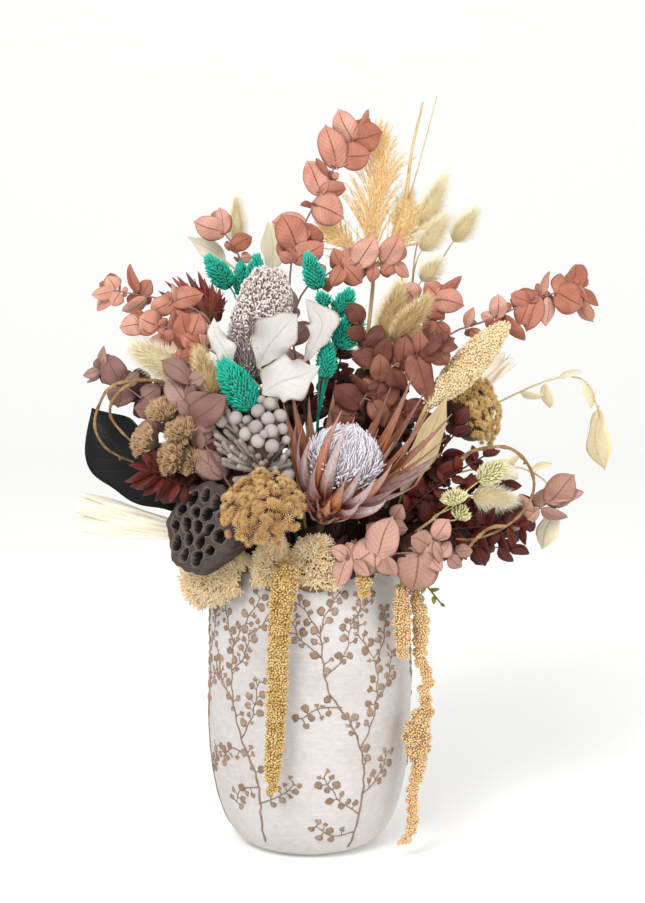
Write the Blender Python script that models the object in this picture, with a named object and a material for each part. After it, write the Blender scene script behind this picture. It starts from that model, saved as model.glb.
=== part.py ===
import math
from typing import NamedTuple

import bpy
import numpy as np
from mathutils import Vector
from mathutils.bvhtree import BVHTree

# Dried flower arrangement in a ceramic vase.
# World: X to the right, Y away from the front, Z up, metres; the origin is the middle of the foot.

for leftover in list(bpy.data.objects):
    bpy.data.objects.remove(leftover, do_unlink=True)

MM = 0.001

# Vase: radius and height of the outside, then of the inside from the lip down, in millimetres.
VASE_OUTSIDE = [(58, 0), (75, 10), (89, 36), (99, 82), (102.5, 145), (101.5, 210), (98, 265), (94.5, 286)]
VASE_INSIDE = [(90, 286), (91, 262), (94, 190), (94, 110), (84, 50), (58, 12)]
VASE_SIDES = 28
FOAM_TOP = 262
FOAM_PROFILE = [(57.5, 12.4), (83.4, 50.2), (93.4, 110), (93.4, 190), (90.4, FOAM_TOP)]

# Stems stand in holes of the foam, which lean out like the ribs of a fan.
HOLE_SPACING = 15.0
HOLE_REACH = 82.0
HOLE_DEPTH = 46.0
HOLE_GAP = 0.32
FAN_DEPTH = 165.0
STEM_CLEAR = 8.0
CLEARANCE = 0.0005
BLADE_HALF = 0.00045
ROOT_STEP = 0.45

# The layout is given as it is seen from the front: across and down in steps of 1 mm on the plane
# through the vase's axis, and depth in millimetres behind that plane.
EYE = np.array((0.013, -1.700, 0.576))
PITCH = math.radians(6.04)
FOCAL = 1709.5
MIDDLE = (322.5, 451.5)
UP = np.array((0.0, math.sin(PITCH), math.cos(PITCH)))
FORWARD = np.array((0.0, math.cos(PITCH), -math.sin(PITCH)))

OVAL = (0.99, 0.76)
LANCE = (1.0,)

COLOURS = {
    "vase": (0.72, 0.70, 0.69), "foam": (0.10, 0.16, 0.08), "moss": (0.60, 0.48, 0.30),
    "teal": (0.0, 0.42, 0.28), "banksia": (0.45, 0.38, 0.42), "white": (0.80, 0.78, 0.74),
    "protea": (0.36, 0.22, 0.20), "red": (0.10, 0.012, 0.008), "brunia": (0.42, 0.38, 0.36),
    "lotus": (0.07, 0.055, 0.05), "yarrow": (0.52, 0.30, 0.09), "bunny": (0.62, 0.48, 0.27),
    "gold": (0.75, 0.48, 0.18), "millet": (0.83, 0.60, 0.30), "rope": (0.60, 0.38, 0.11),
    "black": (0.006, 0.006, 0.006), "ivory": (0.85, 0.78, 0.60), "willow": (0.30, 0.16, 0.05),
    "pale": (0.50, 0.54, 0.25), "rust": (0.46, 0.13, 0.09), "mauve": (0.31, 0.16, 0.15),
    "brown": (0.17, 0.055, 0.04), "green": (0.25, 0.28, 0.05),
}


class Leaf(NamedTuple):
    base: tuple
    tip: tuple
    wide: float


class Fork(NamedTuple):
    way: list
    lean: float
    count: int
    length: float
    wide: float


class Head(NamedTuple):
    tip: tuple
    base: tuple
    radius: float
    depth: float


def spot(across, down, depth):
    ray = np.array((across - MIDDLE[0], 0.0, 0.0)) + (MIDDLE[1] - down) * UP + FOCAL * FORWARD
    return EYE + ray * (depth * MM - EYE[1]) / ray[1]


def seen(point):
    offset = point - EYE
    far = offset @ FORWARD
    return np.array((MIDDLE[0] + FOCAL * offset[0] / far, MIDDLE[1] - FOCAL * (offset @ UP) / far))


def unit(vector):
    return np.asarray(vector, float) / np.linalg.norm(vector)


def across_axes(axis):
    reference = (0, 0, 1) if abs(axis[2]) < 0.9 else (1, 0, 0)
    side = unit(np.cross(axis, reference))
    return side, np.cross(axis, side)


def bezier(points, count):
    steps = np.linspace(0, 1, count)[:, None]
    points = [np.asarray(point, float) for point in points]
    if len(points) == 3:
        a, b, c = points
        return (1 - steps) ** 2 * a + 2 * steps * (1 - steps) * b + steps ** 2 * c
    a, b, c, d = points
    low, high = 1 - steps, steps
    return low ** 3 * a + 3 * low ** 2 * high * b + 3 * low * high ** 2 * c + high ** 3 * d


def smooth(points, count):
    # a Catmull-Rom curve through the points, read at even steps of its parameter
    points = np.asarray(points, float)
    ends = np.vstack([2 * points[0] - points[1], points, 2 * points[-1] - points[-2]])
    result = []
    for step in np.linspace(0, len(points) - 1, count):
        i = min(int(step), len(points) - 2)
        t = step - i
        a, b, c, d = ends[i:i + 4]
        result.append(0.5 * (2 * b + (c - a) * t + (2 * a - 5 * b + 4 * c - d) * t * t
                             + (3 * b - a - 3 * c + d) * t ** 3))
    return np.array(result)


def along(path, count):
    # points at even steps of a polyline's index
    steps = np.linspace(0, len(path) - 1, count)
    low = np.minimum(steps.astype(int), len(path) - 2)
    share = (steps - low)[:, None]
    return path[low] * (1 - share) + path[low + 1] * share


def skin(rings):
    # a closed skin over rings of equal count, its ends closed by a fan over the first and last ring
    count, around = len(rings), len(rings[0])
    tris = []
    for i in range(count - 1):
        for j in range(around):
            a, b = i * around + j, i * around + (j + 1) % around
            tris += [(a, b, b + around), (a, b + around, a + around)]
    last = (count - 1) * around
    for j in range(1, around - 1):
        tris += [(0, j + 1, j), (last, last + j, last + j + 1)]
    return np.concatenate(rings), np.array(tris)


def strip_skin(rings, columns):
    verts = np.concatenate(rings)
    around = 2 * columns
    tris = []
    for i in range(len(rings) - 1):
        for j in range(around):
            a, b = i * around + j, i * around + (j + 1) % around
            if j < columns:
                tris += [(a, b, b + around), (a, b + around, a + around)]
            else:
                tris += [(a, b, a + around), (b, b + around, a + around)]
    last = (len(rings) - 1) * around
    for j in range(columns - 1):
        a, b, c, d = j, j + 1, around - 2 - j, around - 1 - j
        tris += [(a, d, b), (b, d, c)]
        tris += [(last + a, last + b, last + d), (last + b, last + c, last + d)]
    return outward((verts, np.array(tris)))


def outward(piece):
    verts, tris = piece
    a, b, c = (verts[tris[:, k]] for k in range(3))
    volume = np.einsum("ij,ij->i", a, np.cross(b, c)).sum()
    return piece if volume > 0 else (verts, tris[:, ::-1])


def sweep(path, radii, sides, studs=0.0):
    # rings along a path; studs push every other point in and out, staggered from ring to ring
    path = np.asarray(path, float)
    radii = np.broadcast_to(np.asarray(radii, float), (len(path),))
    tangents = np.gradient(path, axis=0)
    side = across_axes(unit(tangents[0]))[0]
    angles = 2 * math.pi * np.arange(sides) / sides
    rings = []
    for i, (point, tangent, radius) in enumerate(zip(path, tangents, radii)):
        tangent = unit(tangent)
        side = unit(side - (side @ tangent) * tangent)
        other = np.cross(tangent, side)
        reach = radius * (1 + studs * (-1.0) ** (i + np.arange(sides)))
        rings.append(point + np.outer(np.cos(angles) * reach, side) + np.outer(np.sin(angles) * reach, other))
    return outward(skin(rings))


def blade(path, halves, face, lift=0.0):
    # a lens-shaped blade: both faces share the edge points and rise to the midrib between them
    verts = [path[0], path[-1]]
    for i, half in enumerate(halves, 1):
        axis = unit(path[i + 1] - path[i - 1])
        side = unit(np.cross(face, axis))
        out = np.cross(axis, side)
        edge = path[i] + out * lift * half
        verts += [edge + side * half, edge - side * half]
        verts += [path[i] + out * BLADE_HALF, path[i] - out * BLADE_HALF]
    tris = []
    for face_row in (2, 3):
        rows = [(2 + 4 * i, 2 + 4 * i + face_row, 3 + 4 * i) for i in range(len(halves))]
        half_tris = [(0, rows[0][1], rows[0][0]), (0, rows[0][2], rows[0][1])]
        for (a, b, c), (d, e, f) in zip(rows, rows[1:]):
            half_tris += [(a, b, e), (a, e, d), (b, c, e), (c, f, e)]
        half_tris += [(rows[-1][0], rows[-1][1], 1), (rows[-1][1], rows[-1][2], 1)]
        tris += half_tris if face_row == 2 else [tri[::-1] for tri in half_tris]
    return outward((np.array(verts), np.array(tris)))


def leaf_blade(base, tip, wide, roll, shape=OVAL, cup=0.10):
    axis = unit(tip - base)
    base = base + axis * ROOT_STEP * MM
    length = np.linalg.norm(tip - base)
    look = unit(EYE - base)
    face = unit(look - (look @ axis) * axis)
    face = math.cos(roll) * face + math.sin(roll) * np.cross(axis, face)
    steps = np.linspace(0, 1, len(shape) + 2)
    steps[1:-1] = 0.08 + 0.84 * steps[1:-1]
    arch = cup * length * 4 * steps * (1 - steps)
    path = base + np.outer(steps * length, axis) + np.outer(arch, face)
    return blade(path, [wide / 2 * part for part in shape], face, lift=-0.16)


# Pieces placed so far, by node, and what later pieces keep clear of.
nodes = {}
solids = []


def swollen(piece):
    verts, tris = piece
    normals = np.zeros_like(verts)
    corners = verts[tris]
    face_normals = np.cross(corners[:, 1] - corners[:, 0], corners[:, 2] - corners[:, 0])
    for k in range(3):
        np.add.at(normals, tris[:, k], face_normals)
    return verts + CLEARANCE * normals / (np.linalg.norm(normals, axis=1)[:, None] + 1e-12)


def blockers(piece, own=None, first=False):
    found = []
    verts = swollen(piece)
    low, high = verts.min(0), verts.max(0)
    tree = None
    for name, other, other_low, other_high in solids:
        if name == own or (low > other_high).any() or (high < other_low).any():
            continue
        tree = tree or BVHTree.FromPolygons(verts.tolist(), piece[1].tolist(), all_triangles=True)
        within = [point for point in verts[::5] if (point > other_low).all() and (point < other_high).all()]
        if tree.overlap(other) or any(is_inside(point, other) for point in within[:4]):
            found.append(name)
            if first:
                break
    return found


def is_inside(point, tree):
    # an odd number of faces lies ahead of a point inside a closed solid
    heading = Vector((0.31, 0.22, 0.925))
    place, crossings = Vector(point), 0
    while True:
        hit = tree.ray_cast(place, heading)[0]
        if hit is None:
            return crossings % 2 == 1
        crossings += 1
        place = hit + heading * 1e-6


def is_clear(piece, own=None):
    return not blockers(piece, own, first=True)


def place(name, piece, colour=None):
    node = nodes.setdefault(name, {"pieces": [], "cuts": [], "colour": colour})
    node["colour"] = colour or node["colour"]
    node["pieces"].append(piece)
    reserve(name, piece)


def reserve(name, piece):
    # space kept for a piece that is placed later
    verts, tris = piece
    tree = BVHTree.FromPolygons(verts.tolist(), tris.tolist(), all_triangles=True)
    solids.append((name, tree, verts.min(0), verts.max(0)))


def lathe(profile):
    angles = 2 * math.pi * np.arange(VASE_SIDES) / VASE_SIDES
    rings = [np.stack([r * np.cos(angles), r * np.sin(angles), np.full(VASE_SIDES, z)], 1) * MM
             for r, z in profile]
    return outward(skin(rings))


def place_vase():
    place("vase", lathe(VASE_OUTSIDE + VASE_INSIDE), "vase")
    place("foam", lathe(FOAM_PROFILE), "foam")


def hung(height, drop):
    return height if height > RIM else RIM - (RIM - height) * drop


def bank(start, end, section, stations, rough, hang=(1.0, 1.0)):
    # a bank of moss on the rim: pairs of (radius, height) on its top and its underside, turned
    # through an arc, thinner at its ends, with lumps on top; below the rim it hangs down by a share
    # that changes from one end to the other
    columns = len(section)
    rings = []
    for i, turn in enumerate(np.radians(np.linspace(start, end, stations))):
        fade = math.sin(math.pi * (i + 0.5) / stations) ** 0.5
        drop = hang[0] + (hang[1] - hang[0]) * i / (stations - 1)
        top, under = [], []
        for j, ((r, z), (low_r, low_z)) in enumerate(section):
            lump = 1 + rough * math.sin(2.3 * i + 1.9 * j)
            share = (0.25 + 0.75 * fade) * lump
            r, z = low_r + (r - low_r) * share, low_z + (z - low_z) * share
            z, low_z = hung(z, drop), hung(low_z, drop)
            top.append((r * math.cos(turn), r * math.sin(turn), z))
            under.append((low_r * math.cos(turn), low_r * math.sin(turn), low_z))
        rings.append(np.array(top + under[::-1]) * MM)
    return strip_skin(rings, columns)


RIM = 286
MOSS_INNER = [((61, 268), (61.5, 262.5)), ((62, 292), (66, 262.4)), ((72, 316), (74, 262.4)),
              ((83, 310), (82, 262.4)), ((89, 286), (89, 262.5))]
MOSS_DRAPE = [((82, 292), (83, 286.6)), ((91, 304), (91, 286.5)), ((106, 306), (96, 286.4)),
              ((121, 297), (99.5, 281)), ((130, 277), (101.5, 267)), ((128, 256), (103, 252)),
              ((112, 238), (104.5, 240))]
MOSS_PAD = [((81, 296), (82, 287)), ((85, 317), (86, 286.6)), ((93, 328), (91, 286.5)),
            ((101, 322), (95.5, 286.4)), ((106, 304), (99, 279)), ((103, 280), (100.5, 272))]
MOSS_BANKS = {
    "moss_front": [(-128, -112, MOSS_INNER, (1, 1)), (-117, -106, MOSS_PAD, (1, 1))],
    "moss_right": [(-91, -38, MOSS_INNER, (1, 1)), (-96.5, -76, MOSS_PAD, (1, 1))],
    "moss_left": [(178, 230, MOSS_DRAPE, (1.0, 0.5))],
    "moss_back": [(30, 150, MOSS_INNER, (1, 1))],
}


def place_moss():
    for name, banks in MOSS_BANKS.items():
        for start, end, section, hang in banks:
            place(name, bank(start, end, section, 5 + int((end - start) / 25), 0.10, hang), "moss")


# Heads that share one shape: spindles with staggered scales, on a stem that joins their bunch's stem.
SPINDLES = {
    "phalaris": dict(radii=(0.40, 1.0, 0.98, 0.70, 0.22), sides=6, studs=0.14),
    "tail": dict(radii=(0.34, 0.98, 0.96, 0.66, 0.26), sides=6, studs=0.07),
    "banksia": dict(radii=(0.50, 0.96, 1.0, 0.98, 0.92, 0.76, 0.32), sides=10, studs=0.06),
}
BUNCHES = {
    "banksia": dict(kind="banksia", colour="banksia", join=(255, 402, -46), stem=3.0,
                    heads=[Head((270, 270), (252, 380), 31, -46)]),
    "teal_left": dict(kind="phalaris", colour="teal", join=(247, 372, 6), stem=1.5,
                      heads=[Head((206, 256), (231, 288), 11, 0), Head((240, 262), (247, 300), 10, 12),
                             Head((257, 254), (254, 292), 9, -2)]),
    "teal_front": dict(kind="phalaris", colour="teal", join=(262, 432, -66), stem=1.5,
                       heads=[Head((220, 359), (253, 411), 17, -84)]),
    "teal_right": dict(kind="phalaris", colour="teal", join=(318, 418, -45), stem=1.6,
                       heads=[Head((307, 252), (318, 290), 10, -22), Head((318, 292), (328, 306), 6, -38),
                              Head((352, 289), (336, 317), 10, -30), Head((362, 311), (337, 348), 14, -46),
                              Head((329, 341), (324, 379), 9, -62)]),
    "pale_grass": dict(kind="phalaris", colour="pale", join=(432, 520, -74), stem=1.3,
                       heads=[Head((507, 462), (478, 482), 11, -72), Head((452, 489), (456, 505), 13, -92),
                              Head((464, 506), (458, 520), 9, -84)]),
    "tails_front": dict(kind="tail", colour="bunny", join=(374, 392, -18), stem=1.3,
                        heads=[Head((402, 281), (381, 343), 12, -14), Head((431, 295), (392, 343), 11, -30),
                               Head((371, 334), (364, 370), 10, -44)]),
    "tails_back": dict(kind="tail", colour="bunny", join=(408, 322, 42), stem=1.4,
                       heads=[Head((446, 173), (421, 231), 11, 48), Head((450, 213), (421, 251), 11, 30),
                              Head((479, 207), (453, 242), 10, 66), Head((410, 186), (400, 232), 10, 70),
                              Head((443, 257), (421, 281), 9, 20)]),
    "tail_left": dict(kind="tail", colour="bunny", join=(222, 424, -74), stem=1.2,
                      heads=[Head((197, 346), (214, 396), 11, -72)]),
    "tail_low": dict(kind="tail", colour="bunny", join=(440, 508, -58), stem=1.2,
                     heads=[Head((519, 501), (472, 496), 11, -62)]),
    "tail_tall": dict(kind="tail", colour="ivory", join=(240, 300, 52), stem=1.2,
                      heads=[Head((236, 193), (238, 250), 7, 52)]),
}
DEPTH_SHIFTS = (0, 6, -6, 12, -12, 18, -18, 24, -24, 32, -32, 40)


def spindle(kind, head, shift):
    shape = SPINDLES[kind]
    base = spot(*head.base, head.depth + shift)
    tip = spot(*head.tip, head.depth + shift)
    path = base + np.outer(np.linspace(0, 1, len(shape["radii"])), tip - base)
    radii = np.array(shape["radii"]) * head.radius * MM
    return sweep(path, radii, shape["sides"], shape["studs"])


bunch_bases = {}


def place_bunch_heads(name):
    bunch = BUNCHES[name]
    bunch_bases[name] = []
    for head in bunch["heads"]:
        for shift in DEPTH_SHIFTS:
            piece = spindle(bunch["kind"], head, shift)
            if is_clear(piece, name):
                break
        else:
            print("no clear place for a head of", name)
        place(name, piece, bunch["colour"])
        base = spot(*head.base, head.depth + shift)
        axis = unit(spot(*head.tip, head.depth + shift) - base)
        bunch_bases[name].append((base + axis * 4 * MM, axis))


# Stems: a hexagonal field of holes, and the ways a stem may bow on its way up.
UPRIGHT = np.array((0.0, 0.0, 1.0))
STUB = 4.0
BOWS = [(0, 0)] + [(reach * math.cos(turn), reach * math.sin(turn))
                   for reach in (10, 20, 32) for turn in np.radians(np.arange(0, 360, 45))]
FEET_TRIED = 30


def hole_field():
    field = []
    rows = int(HOLE_REACH / HOLE_SPACING) + 1
    for row in range(-rows, rows + 1):
        for column in range(-rows - 1, rows + 2):
            x = (column + 0.5 * (row % 2)) * HOLE_SPACING
            y = row * HOLE_SPACING * math.sqrt(3) / 2
            if math.hypot(x, y) < HOLE_REACH:
                field.append(np.array((x, y, FOAM_TOP)) * MM)
    return field


free_holes = hole_field()


def lean(foot):
    return unit((foot[0], foot[1], FAN_DEPTH * MM))


def route(foot, way, enter, bow):
    # out of its hole along the fan, then one curve to the first point of its way
    rise = foot + lean(foot) * STEM_CLEAR * MM
    span = np.linalg.norm(way[0] - rise)
    side = np.array((bow[0], bow[1], 0)) * MM
    first = rise + lean(foot) * span * 0.4 + side
    second = way[0] - enter * min(span * 0.35, 0.045) + side * 0.5
    curve = bezier((rise, first, second, way[0]), 4)
    return np.vstack([curve, way[1:]])


def place_stem(name, way, enter, radius):
    # the nearest free holes and the bows are tried until the stem passes clear of everything
    way = np.asarray(way, float)
    sides = 3 if radius < 2.2 else 4
    aim = way[0][:2] * 0.42
    feet = sorted(range(len(free_holes)), key=lambda k: np.linalg.norm(free_holes[k][:2] - aim))
    tries = [(k, bow) for k in feet[:FEET_TRIED] for bow in BOWS]
    for k, bow in tries:
        path = route(free_holes[k], way, enter, bow)
        if is_clear(sweep(path, radius * MM, sides), name):
            break
    else:
        print("no clear way for the stem of", name, "seen part past",
              blockers(sweep(way, radius * MM, sides), name))
    return finish_stem(name, free_holes.pop(k), path, radius, sides)


def finish_stem(name, foot, path, radius, sides):
    start = foot - lean(foot) * HOLE_DEPTH * MM
    whole = np.vstack([start, path])
    place(name, sweep(whole, radius * MM, sides))
    bottom = foot - lean(foot) * (HOLE_DEPTH + 1) * MM
    top = foot + lean(foot) * 12 * MM
    hole = radius + HOLE_GAP / math.cos(math.pi / sides)
    nodes["foam"]["cuts"].append(sweep([bottom, top], hole * MM, sides))
    return whole


def place_bunch_stems(name):
    bunch = BUNCHES[name]
    join = spot(*bunch["join"])
    bases = bunch_bases[name]
    for base, axis in bases:
        reach = np.linalg.norm(base - join)
        for bow in BOWS:
            side = np.array((bow[0], bow[1], 0)) * MM
            path = bezier((join, join + (base - join) * 0.4 + side, base - axis * reach * 0.3, base), 3)
            piece = sweep(path, bunch["stem"] * 0.8 * MM, 3)
            if is_clear(piece, name):
                break
        else:
            print("no clear way for a branch of", name)
        place(name, piece)
    enter = unit(np.mean([base for base, _ in bases], axis=0) - join)
    place_stem(name, [join, join + enter * 3 * MM], enter, bunch["stem"])


# Protea: bracts by the place of their tips, a cup that holds them and a dome of florets.
PROTEA_BASE = (322, 522, -82)
PROTEA_TOP = (355, 430, -112)
PROTEA_TIPS = [(283, 400, -95), (291, 383, -80), (302, 430, -122), (342, 410, -146), (348, 421, -152),
               (391, 387, -76), (414, 371, -98), (432, 405, -116), (452, 414, -112), (446, 438, -128),
               (441, 453, -136), (431, 467, -146), (309, 396, -60), (336, 382, -44), (366, 378, -44),
               (425, 392, -78), (318, 462, -138), (306, 492, -112), (345, 480, -150), (375, 478, -152),
               (405, 480, -146), (296, 424, -104), (310, 440, -134), (362, 466, -154), (392, 464, -152),
               (418, 484, -140), (424, 440, -96), (330, 500, -134), (360, 500, -142), (386, 500, -138)]
PROTEA_DOME = [(0.44, 18), (0.58, 33), (0.72, 37), (0.88, 28), (1.0, 9)]
PROTEA_CUP = [(0, 5), (12, 12), (30, 18), (53, 20)]
BRACT_HALVES = (5.6, 4.6)
BRACT_ROOT = (22, 11)
BRACT_SHOULDER = (55, 50)


def place_protea():
    base, top = spot(*PROTEA_BASE), spot(*PROTEA_TOP)
    axis = unit(top - base)
    height = np.linalg.norm(top - base)
    cup_path = [base + axis * rise * MM for rise, _ in PROTEA_CUP]
    cup = sweep(cup_path, np.array([r for _, r in PROTEA_CUP]) * MM, 8)
    place("protea", cup, "protea")
    for tip in PROTEA_TIPS:
        tip = spot(*tip)
        away = (tip - base) - ((tip - base) @ axis) * axis
        radial = unit(away)
        rise = min(BRACT_SHOULDER[0] * MM, 0.5 * ((tip - base) @ axis))
        shoulder = base + axis * rise + radial * BRACT_SHOULDER[1] * MM
        root = base + (axis * BRACT_ROOT[0] + radial * BRACT_ROOT[1]) * MM
        path = bezier((root, shoulder, tip), 4)
        place("protea", blade(path, np.array(BRACT_HALVES) * MM, radial))
    rings = [base + axis * height * part for part, _ in PROTEA_DOME]
    place("protea", sweep(rings, np.array([r for _, r in PROTEA_DOME]) * MM, 12, 0.05))


# Leucadendron: a fan of dark pointed bracts.
LEUCADENDRON_BASE = (214, 321, -8)
LEUCADENDRON_TIPS = [(158, 291, -14), (165, 281, -4), (172, 277, 10), (177, 276, -18), (186, 272, 0),
                     (198, 271, -14), (204, 279, 12), (212, 283, -20), (180, 285, 24), (192, 282, 26)]
LEUCADENDRON_HALVES = (4.0, 4.6)


def place_leucadendron():
    base = spot(*LEUCADENDRON_BASE)
    for tip in LEUCADENDRON_TIPS:
        tip = spot(*tip)
        face = unit(EYE - base)
        path = base + np.outer(np.linspace(0, 1, 4), tip - base)
        place("leucadendron", blade(path, np.array(LEUCADENDRON_HALVES) * MM, face), "red")


# Brunia: balls and finger-like twigs that fork from one base.
BRUNIA_BASE = (262, 492, -92)
BRUNIA_BALLS = [(270, 404, -96), (258, 411, -104), (280, 416, -100), (268, 419, -110), (236, 418, -96),
                (222, 421, -88), (256, 427, -112), (271, 431, -116), (246, 434, -108), (258, 441, -118),
                (272, 446, -120), (288, 474, -104)]
BRUNIA_FINGERS = [(226, 408, -92), (249, 416, -98), (214, 434, -90), (223, 441, -98), (231, 446, -104),
                  (239, 439, -110), (258, 455, -120), (284, 455, -118), (266, 470, -122), (244, 458, -112),
                  (222, 462, -98)]
BRUNIA_CORE = [(0.0, 4), (0.35, 11), (0.70, 18), (0.98, 19), (1.18, 8)]
BRUNIA_LOOSE = 19
BALL_RADIUS = 6.6
BALL_RINGS = (-0.80, 0.0, 0.80)
TWIG_RADII = (3.0, 3.8)


def ball(centre, radius):
    steps = np.array(BALL_RINGS)
    path = centre + np.outer(steps * radius, (0.0, 0.0, 1.0))
    return sweep(path, radius * np.sqrt(1 - steps ** 2), 6)


def place_brunia():
    base = spot(*BRUNIA_BASE)
    balls = [spot(*centre) for centre in BRUNIA_BALLS]
    rise = np.mean(balls, axis=0) - base
    core_path = [base + rise * part for part, _ in BRUNIA_CORE]
    core = sweep(core_path, np.array([r for _, r in BRUNIA_CORE]) * MM, 6)
    place("brunia", core, "brunia")
    for tip in BRUNIA_FINGERS:
        tip = spot(*tip)
        root = base + rise * 0.30 + (tip - base) * 0.12
        place("brunia", sweep([root, tip], np.array(TWIG_RADII) * MM, 3))
    for centre in balls:
        if np.linalg.norm(centre - base - rise) > BRUNIA_LOOSE * MM:
            place("brunia", sweep([base + rise * 0.6, centre], 1.8 * MM, 3))
        place("brunia", ball(centre, BALL_RADIUS * MM))


# Lotus pod: a cone whose open face is set with seed holes.
LOTUS_FACE = (199, 527, -100)
LOTUS_AXIS = unit((-0.76, -0.57, 0.29))
LOTUS_PROFILE = [(38, 1.5), (43, -1), (44, -6), (39, -18), (28, -34), (15, -50), (7, -60)]
LOTUS_RINGS = [(0, 1), (15, 6), (30.5, 12)]
LOTUS_HOLE = (5.6, 8.0)


def place_lotus():
    face = spot(*LOTUS_FACE)
    side, other = across_axes(LOTUS_AXIS)
    path = [face + LOTUS_AXIS * z * MM for _, z in LOTUS_PROFILE]
    pod = sweep(path, np.array([r for r, _ in LOTUS_PROFILE]) * MM, 14)
    place("lotus_pod", pod, "lotus")
    radius, deep = LOTUS_HOLE
    for ring, count in LOTUS_RINGS:
        for k in range(count):
            turn = 2 * math.pi * (k + 0.25 * (ring > 20)) / count
            centre = face + (side * math.cos(turn) + other * math.sin(turn)) * ring * MM
            ends = [centre - LOTUS_AXIS * deep * MM, centre + LOTUS_AXIS * 4 * MM]
            nodes["lotus_pod"]["cuts"].append(sweep(ends, radius * MM, 5))
    tail = face - LOTUS_AXIS * 58 * MM
    place_stem("lotus_pod", [tail, tail + LOTUS_AXIS * 5 * MM], LOTUS_AXIS, 3.0)


# Yarrow: flat domes of florets on forked stems.
YARROWS = {
    "yarrow_front": dict(join=(272, 526, -50), stem=2.0,
                         domes=[((262, 508, -142), (-0.12, -0.80, 0.58), 38, 1.0)]),
    "yarrow_right": dict(join=(424, 470, -38), stem=2.0,
                         domes=[((476, 408, -44), (0.80, -0.50, 0.34), 38, 1.5)]),
    "yarrow_left": dict(join=(204, 478, -78), stem=2.0,
                        domes=[((161, 410, -84), (-0.35, -0.50, 0.80), 15, 1.5),
                               ((141, 441, -84), (-0.85, -0.35, 0.40), 16, 1.5),
                               ((179, 430, -96), (-0.30, -0.70, 0.64), 13, 1.5),
                               ((170, 455, -92), (-0.70, -0.60, 0.38), 18, 1.3)]),
}
DOME_RINGS = [(0.30, -0.42), (0.94, -0.16), (1.0, 0.08), (0.78, 0.25), (0.46, 0.34), (0.16, 0.37)]


def place_yarrow(name):
    spec = YARROWS[name]
    join = spot(*spec["join"])
    feet = []
    for centre, axis, radius, thick in spec["domes"]:
        sides = 14 if radius > 20 else 7
        for shift in DEPTH_SHIFTS:
            middle = spot(centre[0], centre[1], centre[2] + shift)
            path = [middle + unit(axis) * z * radius * thick * MM for _, z in DOME_RINGS]
            piece = sweep(path, np.array([r for r, _ in DOME_RINGS]) * radius * MM, sides, 0.10)
            if is_clear(piece, name):
                break
        else:
            print("no clear place for a dome of", name)
        place(name, piece, "yarrow")
        feet.append((middle, unit(axis), radius * MM, thick))
    return join, feet


def place_yarrow_stems(name, join, feet):
    spec = YARROWS[name]
    for middle, axis, radius, thick in feet:
        base = middle - axis * 0.30 * radius * thick
        place(name, sweep(bezier((join, base - axis * radius * 1.4, base), 3), 1.5 * MM, 3))
    enter = unit(np.mean([middle for middle, _, _, _ in feet], axis=0) - join)
    place_stem(name, [join, join + enter * 3 * MM], enter, spec["stem"])


# Hanging ropes of amaranthus and heads of millet: studded strands along a path of
# (across, down, depth, radius).
STRANDS = {
    "amaranthus_front": dict(colour="rope", studs=0.12, sides=6, strands=[
        [(284, 566, -112, 8), (285, 578, -122, 12.5), (281, 610, -124, 11), (278, 650, -124, 10),
         (277, 695, -124, 10), (275, 735, -124, 9), (273, 770, -122, 8), (271.6, 791, -120, 5)]]),
    "amaranthus_right": dict(colour="rope", studs=0.12, sides=6, strands=[
        [(402, 590, -88, 7), (402, 622, -88, 9), (403, 655, -86, 6)],
        [(414, 590, -74, 6), (421, 618, -74, 8), (420, 650, -72, 7), (422, 665, -72, 6), (429, 678, -72, 6),
         (423, 693, -72, 6), (428, 708, -72, 7), (418, 722, -72, 11), (417, 742, -70, 14), (419, 758, -70, 9),
         (417, 776, -70, 6.5), (412, 794, -70, 6), (413, 816, -70, 6), (410, 834, -70, 5.5),
          (401, 844, -70, 4)]]),
    "amaranthus_short": dict(colour="rope", studs=0.12, sides=6, strands=[
        [(362, 571, -104, 6), (364, 584, -107, 8), (364, 595, -107, 5)]]),
    "millet_right": dict(colour="millet", studs=0.10, sides=6, strands=[
        [(428, 404, -58, 5), (442, 391, -54, 11), (458, 376, -48, 15), (476, 356, -40, 15.5),
         (492, 339, -32, 12), (506, 325, -26, 5)]]),
    "millet_left": dict(colour="millet", studs=0.10, sides=6, strands=[
        [(196, 382, -44, 6), (178, 369, -46, 13), (160, 360, -48, 14), (143, 352, -50, 13),
          (128, 343, -52, 7)]]),
}
STRAND_WAYS = {
    "amaranthus_front": [(290, 556, -92), (286, 559, -104)],
    "amaranthus_right": [(386, 555, -76), (402, 562, -80)],
    "amaranthus_short": [(361, 556, -84), (361, 559, -96)],
    "millet_right": [(420, 420, -58)],
    "millet_left": [(206, 396, -44)],
}


def strand_piece(points, spec):
    points = np.array(points, float)
    places = np.array([spot(*point[:3]) for point in points])
    length = np.linalg.norm(np.diff(places, axis=0), axis=1).sum()
    count = max(4, int(length / (1.5 * points[:, 3].mean() * MM)))
    path = smooth(places, count)
    radii = smooth(points[:, 3:], count)[:, 0] * MM
    return sweep(path, radii, spec["sides"], spec["studs"])


def place_strands(name):
    spec = STRANDS[name]
    for points in spec["strands"]:
        place(name, strand_piece(points, spec), spec["colour"])


def place_strand_stems(name):
    spec = STRANDS[name]
    way = [spot(*point) for point in STRAND_WAYS[name]]
    starts = [spot(*points[0][:3]) for points in spec["strands"]]
    for start in starts[1:]:
        place(name, sweep(np.array([way[-1], start]), 2.0 * MM, 4))
    inner = spot(*spec["strands"][0][1][:3])
    path = way + [starts[0], (starts[0] + inner) / 2]
    enter = unit(path[1] - path[0])
    place_stem(name, path, enter, 2.2)


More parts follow.
